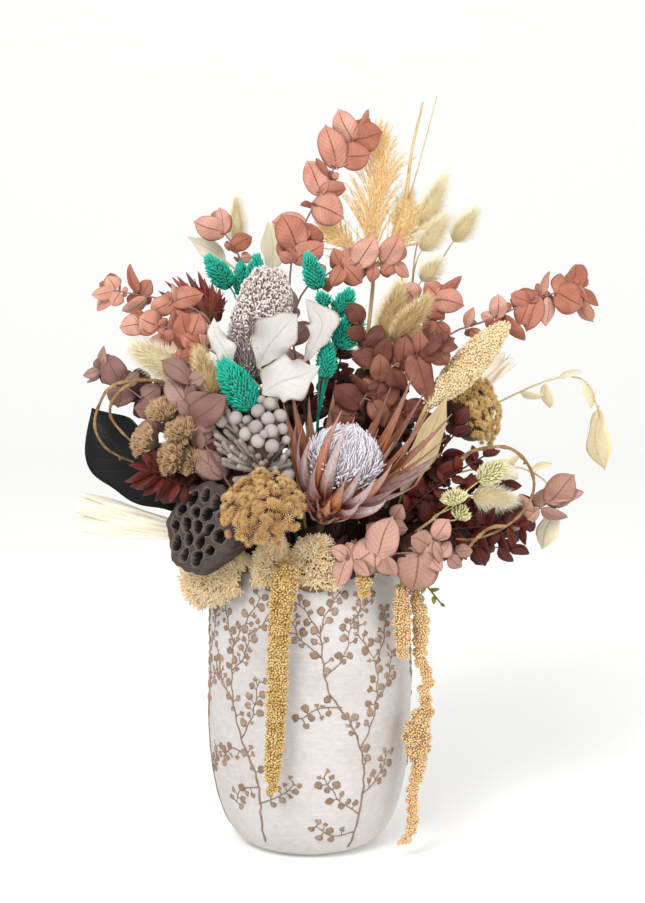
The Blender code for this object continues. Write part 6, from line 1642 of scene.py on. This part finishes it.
leafForms = dict(
    oval=dict(grid=(17, 9), round=0.44, point=0.60, tip=0.06, stalk=0.05, lobe=0.20, arch=0.15, fall=0.20,
              wave=0.20, waves=1.3, thick=0.5, drift=0.07),
    inner=dict(grid=(7, 5), round=0.55, point=0.80, arch=0.12, fall=0.25, wave=0.10, waves=1.0, thick=0.45),
    narrow=dict(grid=(11, 7), round=0.62, point=0.85, stalk=0.05, arch=0.12, fall=0.20, wave=0.08, waves=1.0,
                thick=0.45, drift=0.08))
# the fourth paint of a spray is near black, painted shade for its inner leaves
sprayPaints = dict(rust="rust twig rustBack dark", rose="rose twig mauveBack dark",
                   mauve="mauve twig mauveBack dark", brown="brown twig rustBack dark",
                   red="red redStalk red dark", ivory="skeleton ivoryStalk skeleton",
                   green="sprig greenStraw sprig")
# behind each seen leaf stands its opposite one, turned about the stem by this many degrees
opposite = dict(colours=("rust", "mauve", "rose", "brown", "red"), turns=(95, 150), sizes=(0.72, 0.95),
                roll=0.7)
# leaves low on the stems: their part of the way up, lowest height, lean away from the eye, and length
inner = dict(part=(0.06, 0.86), lowest=300, highest=462, away=0.7, size=(24, 38), count=44)


def leafOf(base, end, wide, roll, kind):
    form = leafForms[kind]
    shape = leafShape(base, end, facing(base, end, roll), wide, form, chance.uniform(0, 1))
    return shape, twoPaints(form["grid"], 0, 2)


def addLeaf(heap, node, root, tip, wide, roll, kind):
    # of the places that the leaf could have, the one that its solid holds
    choices = [(root + (tip - root) * scale + np.array((0, shift, 0)) * mm, wide * scale,
                roll + math.radians(turn))
               for turn, shift, scale in leafTries]

    def probe(choice):
        end, wide, roll = choice
        face = facing(root, end, roll)
        middle = (root + end) / 2 + face * np.linalg.norm(end - root) * 0.09
        side = np.cross(face, unit(end - root)) * wide * 0.42 - face * wide * 0.05
        return [end, middle, middle + side, middle - side - 2 * face * wide * 0.05]

    end, wide, roll = held(node, choices, probe)
    base = root + unit(end - root) * 0.45 * mm
    shape, sides = leafOf(base, end, wide, roll, kind)
    heap.add(shape, chance.uniform(0.1, 0.95), sides)
    return end, wide


def addOpposite(heap, root, ahead, end, wide, kind):
    # turned about the stem so that it points away from the eye
    angle = math.radians(chance.uniform(*opposite["turns"]))
    away = [turned(end - root, ahead, sign * angle) for sign in (-1, 1)]
    away = max(away, key=lambda offset: offset[1]) * chance.uniform(*opposite["sizes"])
    shape, sides = leafOf(root, root + away, wide * 0.9, chance.uniform(-1, 1) * opposite["roll"], kind)
    heap.add(shape, chance.uniform(0.0, 0.6), sides)


def addSprayLeaves(heap, node, colour, leaves, path):
    # a leaf starts where the stem is seen nearest to its base
    dense = along(path, np.linspace(0, 1, 120))[:-2]
    ways, flat = unit(np.gradient(dense, axis=0)), seen(dense)
    for number, (*base, across, down, wide) in enumerate(leaves):
        at = np.linalg.norm(flat - base, axis=1).argmin()
        root = dense[at]
        end = spots((across, down, root[1] / mm + (number * 7 % 5 - 2) * 3.0))
        length = np.linalg.norm(end - root)
        full = min(max(wide * mm, 0.62 * length), 34 * mm)
        roll = math.acos(min(1.0, wide * mm / full)) * (-1) ** number
        kind = "narrow" if length < 19 * mm or wide < 15 else "oval"
        end, wide = addLeaf(heap, node, root, end, max(full, wide * mm), roll, kind)
        if colour in opposite["colours"]:
            addOpposite(heap, root, ways[at], end, wide, kind)


def addShadedInner(heap, path):
    # leaves low on a stem, behind it, in near-black paint: painted shade inside the foliage
    dense = along(path, np.linspace(0, 1, 60))[:-1]
    ways = unit(np.gradient(dense, axis=0))
    for at in (np.linspace(*inner["part"], inner["count"]) * 58).astype(int):
        if not inner["lowest"] * mm < dense[at, 2] < inner["highest"] * mm:
            continue
        radial = radialOf(ways[at], chance.uniform(0, 2 * math.pi))
        radial = radial * (1 if radial[1] > 0 else -1)
        way = unit(ways[at] * 0.4 + radial + (0, inner["away"], 0))
        size = chance.uniform(*inner["size"]) * mm
        end = dense[at] + way * size
        shape, _ = leafOf(dense[at], end, size * 0.72, chance.uniform(-1, 1), "inner")
        # paint 3 is the near-black painted shade
        heap.add(shape, chance.uniform(0, 1), 3)


def forkLeaves(fork):
    # leaves on alternate sides of a fork, from its bare part to its tip, as seen
    flat = along(np.array(fork["way"], float), np.linspace(0, 1, 60))
    leaves = []
    for k in range(fork["count"]):
        at = int(59 * (forkForm["bare"] + (1 - forkForm["bare"]) * k / (fork["count"] - 1)))
        ahead = unit(flat[min(at + 1, 59)] - flat[at - 1])
        spread = math.radians(forkForm["spread"] + 10 * (k * 3 % 4) - 15) * (-1) ** k
        spread = 0.2 if k == fork["count"] - 1 else spread
        off = np.array((ahead[0] * math.cos(spread) - ahead[1] * math.sin(spread),
                        ahead[0] * math.sin(spread) + ahead[1] * math.cos(spread)))
        size = fork["length"] * (1.05 - 0.25 * k / fork["count"])
        leaves.append((*flat[at], *(flat[at] + off * size), fork["wide"]))
    return leaves


def addForks(heap, node, colour, path):
    # each fork leaves the stem where that is seen nearest to its first point
    dense = along(path, np.linspace(0, 1, 120))[:-2]
    flat = seen(dense)
    for fork in forks.get(node, []):
        start = dense[np.linalg.norm(flat - np.array(fork["way"][0], float), axis=1).argmin()]
        ways = []
        for shift in shifts:
            depths = start[1] / mm + np.linspace(0, fork["lean"] + shift, len(fork["way"]))
            ways.append(np.vstack([start, spots(np.column_stack([fork["way"], depths])[1:])]))
        way = held(node, ways, lambda way: along(way, (0.5, 0.75, 1.0)))
        heap.add(roundTube(way, forkForm["radius"], 6, taper=0.6), 0.5, 1)
        addSprayLeaves(heap, node, colour, forkLeaves(fork), way)


def makeSpray(node, spec):
    heap, ways, colour = Heap(), [], spec["colour"]
    for shift in shifts:
        depths = np.linspace(*spec["depth"], len(spec["stem"])) + shift
        points = spots(np.column_stack([spec["stem"], depths]))
        way = smooth(points, max(3, (len(points) + 1) // 2 + 1))
        ways.append((way, unit(way[1] - way[0])))
    path = stemPath(node, ways)
    heap.add(roundTube(path, 1.3, 7, taper=0.6), 0.5, 1)
    addForks(heap, node, colour, path[1:])
    if colour in opposite["colours"]:
        addShadedInner(heap, path[1:])
    addSprayLeaves(heap, node, colour, spec["leaves"], path[1:])
    makePiece(node + "Spray", heap, sprayPaints[colour], node)


def makeBackSpray(node, spec):
    heap, count = Heap(), spec["count"]
    tip = np.array(spec["tip"]) * mm
    low = tip * np.array((0.62, 0.62, 1)) - upright * 75 * mm
    way = smooth([low, (low + tip) / 2 + upright * 12 * mm, tip], 4)
    path = stemPath(node, [(way, unit(tip - low))])
    heap.add(roundTube(path, 1.3, 7, taper=0.6), 0.5, 1)
    dense = along(path[1:], np.linspace(0, 1, 60))[:-1]
    addShadedInner(heap, path[1:])
    for number in range(count):
        at = int(22 + 36 * number / (count - 1))
        root = dense[at]
        ahead = unit(dense[at] - dense[at - 3])
        radial = radialOf(ahead, math.pi * number + 0.9 * (number // 2))
        size = (36 - 10 * number / count) * mm
        end = root + (ahead * 0.55 + radial * 0.83) * size
        end, wide = addLeaf(heap, node, root, end, size * 0.85, 0.6 * math.sin(2.1 * number), "oval")
        shape, sides = leafOf(root, root + turned(end - root, ahead, 2.0), wide * 0.85, 0.4, "oval")
        heap.add(shape, chance.uniform(0.1, 0.8), sides)
    makePiece(node + "Spray", heap, sprayPaints[spec["colour"]], node)


for node, spec in sprays.items():
    makeSpray(node, spec)
for node, spec in backSprays.items():
    makeBackSpray(node, spec)
print("sprays")


# Moss on the rim: banks of curled and forked threads over a lumpy ground, painted darker as the shade under
# the threads. A bank is turned from one angle to another; below the rim it hangs down by a share that changes
# from one end to the other.
innerBank = [((61, 268), (61.5, 262.5)), ((62, 292), (66, 262.4)), ((72, 316), (74, 262.4)),
             ((83, 310), (82, 262.4)), ((89, 286), (89, 262.5))]
drapedBank = [((82, 292), (83, 286.6)), ((91, 304), (91, 286.5)), ((106, 306), (96, 286.4)),
              ((121, 297), (99.5, 281)), ((130, 277), (101.5, 267)), ((128, 256), (103, 252)),
              ((112, 238), (104.5, 240))]
padBank = [((81, 296), (82, 287)), ((85, 317), (86, 286.6)), ((93, 328), (91, 286.5)),
           ((101, 322), (95.5, 286.4)), ((106, 304), (99, 279)), ((103, 280), (100.5, 272))]
mossBanks = dict(
    moss_front=[dict(turn=(-128, -112), section=innerBank, count=480),
                dict(turn=(-117, -106), section=padBank, count=640)],
    moss_right=[dict(turn=(-91, -38), section=innerBank, count=760),
                dict(turn=(-96.5, -76), section=padBank, count=700)],
    moss_left=[dict(turn=(178, 230), section=drapedBank, count=1640, hang=(1.0, 0.5))],
    moss_back=[dict(turn=(30, 150), section=innerBank, count=900)])
rimHeight = 286


def bankPoint(bank, turn, at):
    # a point on top of a bank and one on its underside: turn in degrees, at a share of its section
    start, end = bank["turn"]
    top = smooth([pair[0] for pair in bank["section"]], 41)
    under = smooth([pair[1] for pair in bank["section"]], 41)
    place = np.stack([np.interp(at, np.linspace(0, 1, 41), column) for column in (*top.T, *under.T)], -1)
    progress = np.clip((turn - start) / (end - start), 0, 1)
    fade = np.sin(np.pi * (0.04 + 0.92 * progress)) ** 0.5
    lumps = 1 + 0.09 * np.sin(0.30 * turn + 6 * at) * np.cos(0.21 * turn - 9 * at)
    low = place[..., 2:]
    high = low + (place[..., :2] - low) * ((0.25 + 0.75 * fade) * lumps)[..., None]
    first, last = bank.get("hang", (1.0, 1.0))
    drop = (first + (last - first) * progress) * (0.40 + 0.60 * fade)
    angle = np.radians(turn)
    spread = []
    for ring in (high, low):
        hung = rimHeight - (rimHeight - ring[..., 1]) * drop
        height = np.where(ring[..., 1] > rimHeight, ring[..., 1], hung)
        spread.append(np.stack([ring[..., 0] * np.cos(angle), ring[..., 0] * np.sin(angle), height], -1) * mm)
    return spread


def mossThread():
    # a bent thread with three forks
    main = bezier(((0, 0, -0.2), (0.30, 0, 0.25), (-0.45, 0.25, 0.6), (0.25, 0.05, 0.95)), 5)
    threads = [tube(main, (0.085, 0.08, 0.075, 0.07, 0.055), 3)]
    tips = ((2, (0.50, 0.1, 0.66)), (2, (-0.30, 0.44, 0.96)), (1, (0.24, -0.46, 0.60)))
    for start, end in tips:
        root = main[start]
        curve = bezier((root, root + (np.array(end) - root) * 0.5 + (0, 0, -0.10), end), 3)
        threads.append(tube(curve, (0.07, 0.065, 0.05), 3))
    return merged(threads)


def addBank(heap, bank):
    start, end = bank["turn"]
    rows, columns = int((end - start) / 1.5) + 6, 31
    turn, at = np.meshgrid(np.linspace(start, end, rows), np.linspace(0, 1, columns), indexing="ij")
    top, under = bankPoint(bank, turn, at)
    points = np.concatenate([(under + (top - under) * 0.82).reshape(-1, 3), under.reshape(-1, 3)])
    # the ground sheet, in the darker paint that stands for the shade under the threads
    heap.add((points, sheetFaces(rows, columns), np.tile(at.ravel(), 2), 0.0), 0.0, 1)
    count = bank["count"]
    turn, at = chance.uniform(start - 1.5, end + 1.5, count), chance.uniform(0, 1, count)
    top, under = bankPoint(bank, turn, at)
    beside = bankPoint(bank, turn + 1, at)[0]
    above, below = (bankPoint(bank, turn, np.clip(at + step, 0, 1))[0] for step in (0.02, -0.02))
    normal = np.cross(above - below, beside - top)
    normal = normal / (np.linalg.norm(normal, axis=-1, keepdims=True) + 1e-12)
    normal = np.where(((top - under) * normal).sum(-1, keepdims=True) < 0, -normal, normal)
    ends = unit(np.stack([-np.sin(np.radians(turn)), np.cos(np.radians(turn)), 0 * turn], -1))
    outward = np.clip((turn - start) / (end - start) * 2 - 1, -1, 1)[:, None] ** 5
    way = unit(normal + 1.2 * outward * ends + chance.normal(0, 0.5, normal.shape))
    size = chance.uniform(6.5, 10.0, count) * mm
    roots, spin = under + (top - under) * 0.84, chance.uniform(*anyTurn, count)
    heap.add(scatter(mossThread(), roots, way, size, spin=spin), chance.uniform(0.1, 1, count), 0)


def makeMoss(node, banks):
    heap = Heap()
    for bank in banks:
        addBank(heap, bank)
    makePiece(node.replace("_", "") + "Tufts", heap, "moss mossGround", node)


for node, banks in mossBanks.items():
    makeMoss(node, banks)
print("moss")


# The foam keeps its solid, with a crumbly green brown skin.
def foamPaint():
    paint = Paint("dry foam")
    crumb = paint.noise(900.0, 4.0, 0.7)
    colour = paint.mix(crumb, (0.16, 0.16, 0.10), (0.36, 0.36, 0.24))
    return paint.finish(Base_Color=colour, Roughness=0.95, Normal=paint.bump(crumb, 0.8, 1.0))


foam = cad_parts["foam"]
if not foam.material_slots:
    foam.data.materials.append(None)
for slot in foam.material_slots:
    slot.material = foamPaint()


# The vase: one lathed wall with a rounded lip, and a pattern of raised branches with berries.
vase = dict(
    outside=[(58, 0), (75, 10), (89, 36), (99, 82), (102.5, 145), (101.5, 210), (98, 265), (95.2, 283)],
    lip=[(95.2, 283), (94.9, 285.4), (93.4, 286.0), (91.4, 285.6), (90.2, 283.6)],
    inside=[(90.2, 283.6), (91, 262), (94, 190), (94, 110), (84, 50), (58, 12)],
    around=144,
)
# a branch of the pattern: (degrees round the vase, height) with its radius; twigs hold berries at
# their ends
reliefBranches = [
    dict(path=[(-122, 18), (-120, 82), (-131, 128), (-137, 172), (-136, 222)], radius=1.15,
        twigs=[[(-130, 124), (-122, 150), (-118, 186)], [(-136, 160), (-146, 176), (-150, 198)],
        [(-136, 190), (-128, 206), (-124, 232)], [(-127, 108), (-138, 112), (-146, 100)], [(-121, 60),
        (-108, 70), (-98, 84)], [(-136, 215), (-142, 235), (-146, 256)], [(-120, 78), (-132, 72),
        (-140, 56)], [(-136, 214), (-128, 238), (-118, 264)], [(-124, 228), (-116, 240), (-108, 262)]]),
    dict(path=[(-60, 12), (-58, 92), (-66, 140), (-80, 180), (-84, 240)], radius=1.15, twigs=[[(-60, 118),
        (-52, 150), (-50, 190), (-56, 216)], [(-52, 160), (-42, 178), (-38, 206)], [(-72, 160), (-84, 160),
        (-94, 150)], [(-58, 70), (-48, 84), (-40, 108)], [(-59, 50), (-72, 66), (-82, 92)], [(-81, 190),
        (-70, 212), (-66, 246)], [(-83, 210), (-94, 226), (-100, 246)], [(-60, 30), (-74, 28), (-86, 40)],
        [(-50, 200), (-44, 224), (-42, 250)], [(-84, 232), (-80, 252), (-72, 272)], [(-84, 232), (-92, 254),
        (-104, 270)], [(-66, 240), (-58, 256), (-52, 272)], [(-56, 214), (-62, 232), (-60, 262)]]),
]
reliefCopies = [(0, 1.0, 1), (128, 0.92, -1), (244, 1.05, 1)]
# millimetres, but for the shares bare and high; a degree round the vase is about 1.75 mm
berries = dict(radius=(2.5, 4.7), apart=0.4, bare=0.25, count=14, high=0.30, stalk=0.5, lowest=14,
               highest=278, degree=1.75, tries=90)


def latheShape(profile, around):
    turn = 2 * np.pi * np.arange(around) / around
    radius, height = profile[:, :1], np.repeat(profile[:, 1:], around, 1)
    rings = np.stack([radius * np.cos(turn), radius * np.sin(turn), height], -1) * mm
    ends = np.array([(0, 0, profile[0, 1]), (0, 0, profile[-1, 1])]) * mm
    share = np.linspace(0, 1, len(profile))
    return (np.concatenate([rings.reshape(-1, 3), ends]), ringFaces(len(profile), around),
            np.append(np.repeat(share, around), (0, 1)), 0.0)


def onVase(turn, height):
    # a place on the outer wall and the way out from it
    profile = smooth(vase["outside"], 80)
    radius = np.interp(height, profile[:, 1], profile[:, 0])
    angle = np.radians(turn)
    out = np.stack([np.cos(angle), np.sin(angle), 0 * angle], -1)
    return out * radius[..., None] * mm + np.stack([0 * height, 0 * height, height], -1) * mm, out


def berryShape(lean):
    # a flat round berry with a knobbly top, as raised clay has
    points, faces, alongs, acrosses = bead(4, 12)
    turn = np.arctan2(points[:, 1], points[:, 0])
    ripple = 0.06 * np.sin(3 * turn + lean) + 0.05 * np.sin(4 * turn + 2 * lean)
    ripple = ripple + 0.04 * np.sin(5 * turn + 9 * points[:, 2])
    points = points * (1 + ripple[:, None]) * (1.08, 0.94, 1.0)
    return points, faces, alongs, acrosses


def clusterOf(curve, taken):
    # berries on both sides of a twig's outer part and round its end, in (degrees, height), none on another
    places = []
    for number in range(berries["tries"]):
        if len(places) >= berries["count"]:
            break
        size = chance.uniform(*berries["radius"])
        at = chance.uniform(berries["bare"], 1.0)
        middle = along(curve, (at,))[0]
        scale = (berries["degree"], 1)
        ahead = unit((curve[-1] - curve[-5]) * scale)
        off = np.array((ahead[1], -ahead[0])) * (1 if number % 2 else -1)
        place = middle + (off * chance.uniform(3.8, 8.0) + ahead * chance.uniform(1, 6)) / scale
        clear = all(math.hypot((place[0] - x) * scale[0], place[1] - y) > size + other + berries["apart"]
                    for x, y, other in taken)
        if clear and berries["lowest"] < place[1] < berries["highest"]:
            taken.append((*place, size))
            places.append((*place, size))
    return places


def makeRelief():
    heap, ring = Heap(), bead(2, 10)
    for about, scale, hand in reliefCopies:
        taken, curves = [], []
        for branch in reliefBranches:
            lines = [(branch["path"], branch["radius"])] + [(twig, 0.8) for twig in branch["twigs"]]
            for line, radius in lines:
                line = np.array(line, float)
                line[:, 0] = -90 + about + hand * (line[:, 0] + 90) * scale
                curve = smooth(line, 10 * (len(line) - 1) + 1)
                curve[:, 0] += 0.5 * np.sin(curve[:, 1] * 0.35 + about)
                curves.append(curve)
                points, out = onVase(*curve.T)
                wobble = 1 + 0.16 * np.sin(np.arange(len(curve)) * 1.9 + about)
                radii = radius * wobble * np.linspace(1, 0.6, len(curve)) * mm
                heap.add(tube(points + out * 0.1 * mm, radii, 5), 0.4)
        for curve in curves:
            for turn, height, size in clusterOf(curve, taken):
                beside = (curve[:, 0] - turn) * berries["degree"]
                near = curve[np.hypot(beside, curve[:, 1] - height + 4).argmin()]
                line = np.linspace(0, 1, 3)[:, None] * (np.array((turn, height)) - near) + near
                points, out = onVase(*line.T)
                heap.add(tube(points + out * 0.15 * mm, np.full(3, berries["stalk"] * mm), 4), 0.3)
                place, out = points[-1:], out[-1:]
                heap.add(scatter(ring, place, out, (size * 0.10 + 0.25) * mm, (size + 0.9) * mm), 0.5, 1)
                berry = scatter(berryShape(7 * size), place, out, size * berries["high"] * mm, size * mm,
                                chance.uniform(*anyTurn))
                heap.add(berry, chance.uniform(0.2, 1))
    makePieceOn("vaseRelief", heap, "relief glazeRing")


def makePieceOn(name, heap, coats):
    # a piece that stands beside the one that replaces its node
    piece = makePiece(name, heap, coats)


def vasePaint():
    # off-white matt glaze with faint brown patches, specks and a fine mottle
    paint = Paint("vase glaze")
    patch = paint.noise(14.0, 5.0, 0.6)
    mottle = paint.noise(160.0, 5.0, 0.65)
    speck = paint.noise(520.0, 2.0)
    tones = (0.72, 0.68, 0.65), (0.82, 0.80, 0.79), (0.89, 0.88, 0.88)
    colour = paint.ramp((patch * 0.6 + mottle * 0.5 - 0.05).clamped(), tones, 0.15, 0.5, 0.85)
    brush = paint.noise(60.0, 4.0, 0.6, stretch=6.0)
    colour = paint.mix(paint.fade(brush, 0.68, 0.5) * 0.35, colour, (0.90, 0.89, 0.89))
    colour = paint.mix(paint.fade(speck, 0.76, 0.68) * 0.35, colour, (0.58, 0.49, 0.43))
    height = mottle * 0.7 + speck * 0.3 + brush * 0.6
    return paint.finish(Base_Color=colour, Roughness=mottle * 0.2 + 0.5, Normal=paint.bump(height, 0.6, 1.2))


def ringPaint():
    # the thick pale glaze that gathers round each berry
    paint = Paint("pale glaze")
    mottle = paint.noise(300.0, 4.0, 0.65)
    colour = paint.mix(mottle, (0.84, 0.82, 0.82), (0.95, 0.94, 0.94))
    return paint.finish(Base_Color=colour, Roughness=0.55, Normal=paint.bump(mottle, 0.6, 0.8))


def reliefPaint():
    # rough brown clay, in patches from brown to pale
    paint = Paint("relief clay")
    tone, _, _ = paint.grain()
    patch = paint.noise(160.0, 4.0, 0.7)
    grit = paint.noise(700.0)
    tones = (0.48, 0.37, 0.30), (0.66, 0.55, 0.46), (0.82, 0.77, 0.73)
    colour = paint.ramp((patch * 0.7 + grit * 0.7 + tone * 0.3 - 0.45).clamped(), tones, 0.1, 0.5, 0.9)
    return paint.finish(Base_Color=colour, Roughness=0.85, Normal=paint.bump(grit, 0.9, 1.0))


paints["vase"] = vasePaint()
paints["relief"] = reliefPaint()
paints["glazeRing"] = ringPaint()
wall = np.concatenate([smooth(vase["outside"], 70), smooth(vase["lip"], 13)[1:],
                       smooth(vase["inside"], 40)[1:]])
vaseHeap = Heap()
vaseHeap.add(latheShape(wall, vase["around"]))
makePiece("vaseBody", vaseHeap, "vase", "vase")
makeRelief()
print("vase")


# A pale floor that rises behind into a wall, soft studio light, and the camera at the photograph's angle.
studio = dict(floor=(0.88, 0.88, 0.87), glow=0.13, half=6.0, back=3.5, bend=1.5, world=0.78,
              key=dict(place=(-1.1, -2.5, 2.5), size=1.4, power=74.0),
              fill=dict(place=(2.0, -2.2, 1.3), size=2.4, power=26.0))


def makeFloor():
    # a flat floor, a quarter circle and a wall, swept sideways
    flat, bend = studio["back"], studio["bend"]
    turn = np.linspace(0, np.pi / 2, 17)
    curve = np.stack([flat + bend * np.sin(turn), bend - bend * np.cos(turn)], 1)
    profile = np.concatenate([[(-studio["half"], 0.0)], curve, [(flat + bend, 5.0)]])
    left, right = (np.stack([np.full(len(profile), x), profile[:, 0], profile[:, 1]], 1)
                   for x in (-studio["half"], studio["half"]))
    index = np.arange(len(profile) - 1)
    faces = np.stack([index + len(profile), index + len(profile) + 1, index + 1, index], 1)
    mesh = bpy.data.meshes.new("studioFloor")
    mesh.from_pydata(np.concatenate([left, right]).tolist(), [], faces.tolist())
    mesh.shade_smooth()
    paint = Paint("studio floor")
    coat = paint.finish(Base_Color=studio["floor"], Roughness=0.9, Emission_Color=(1.0, 1.0, 1.0),
                        Emission_Strength=studio["glow"])
    mesh.materials.append(coat)
    floor = bpy.data.objects.new("studioFloor", mesh)
    bpy.context.scene.collection.objects.link(floor)


def addLight(name, spec):
    light = bpy.data.lights.new(name, "AREA")
    light.shape = "DISK"
    light.size = spec["size"]
    light.energy = spec["power"]
    lamp = bpy.data.objects.new(name, light)
    lamp.location = spec["place"]
    lamp.rotation_euler = (Vector((0, 0, 0.4)) - lamp.location).to_track_quat("-Z", "Y").to_euler()
    bpy.context.scene.collection.objects.link(lamp)


def addCamera():
    camera = bpy.data.objects.new("camera", bpy.data.cameras.new("camera"))
    camera.data.lens = front["lens"]
    camera.data.sensor_width = 36.0
    camera.location = eye
    camera.rotation_euler = (math.pi / 2 - tilt, 0, 0)
    bpy.context.scene.collection.objects.link(camera)
    bpy.context.scene.camera = camera


makeFloor()
addLight("key", studio["key"])
addLight("fill", studio["fill"])
addCamera()
world = bpy.data.worlds.new("studio")
world.use_nodes = True
world.node_tree.nodes["Background"].inputs[0].default_value = (1.0, 1.0, 1.0, 1.0)
world.node_tree.nodes["Background"].inputs[1].default_value = studio["world"]
bpy.context.scene.world = world
bpy.context.scene.view_settings.view_transform = "Standard"
print("studio")
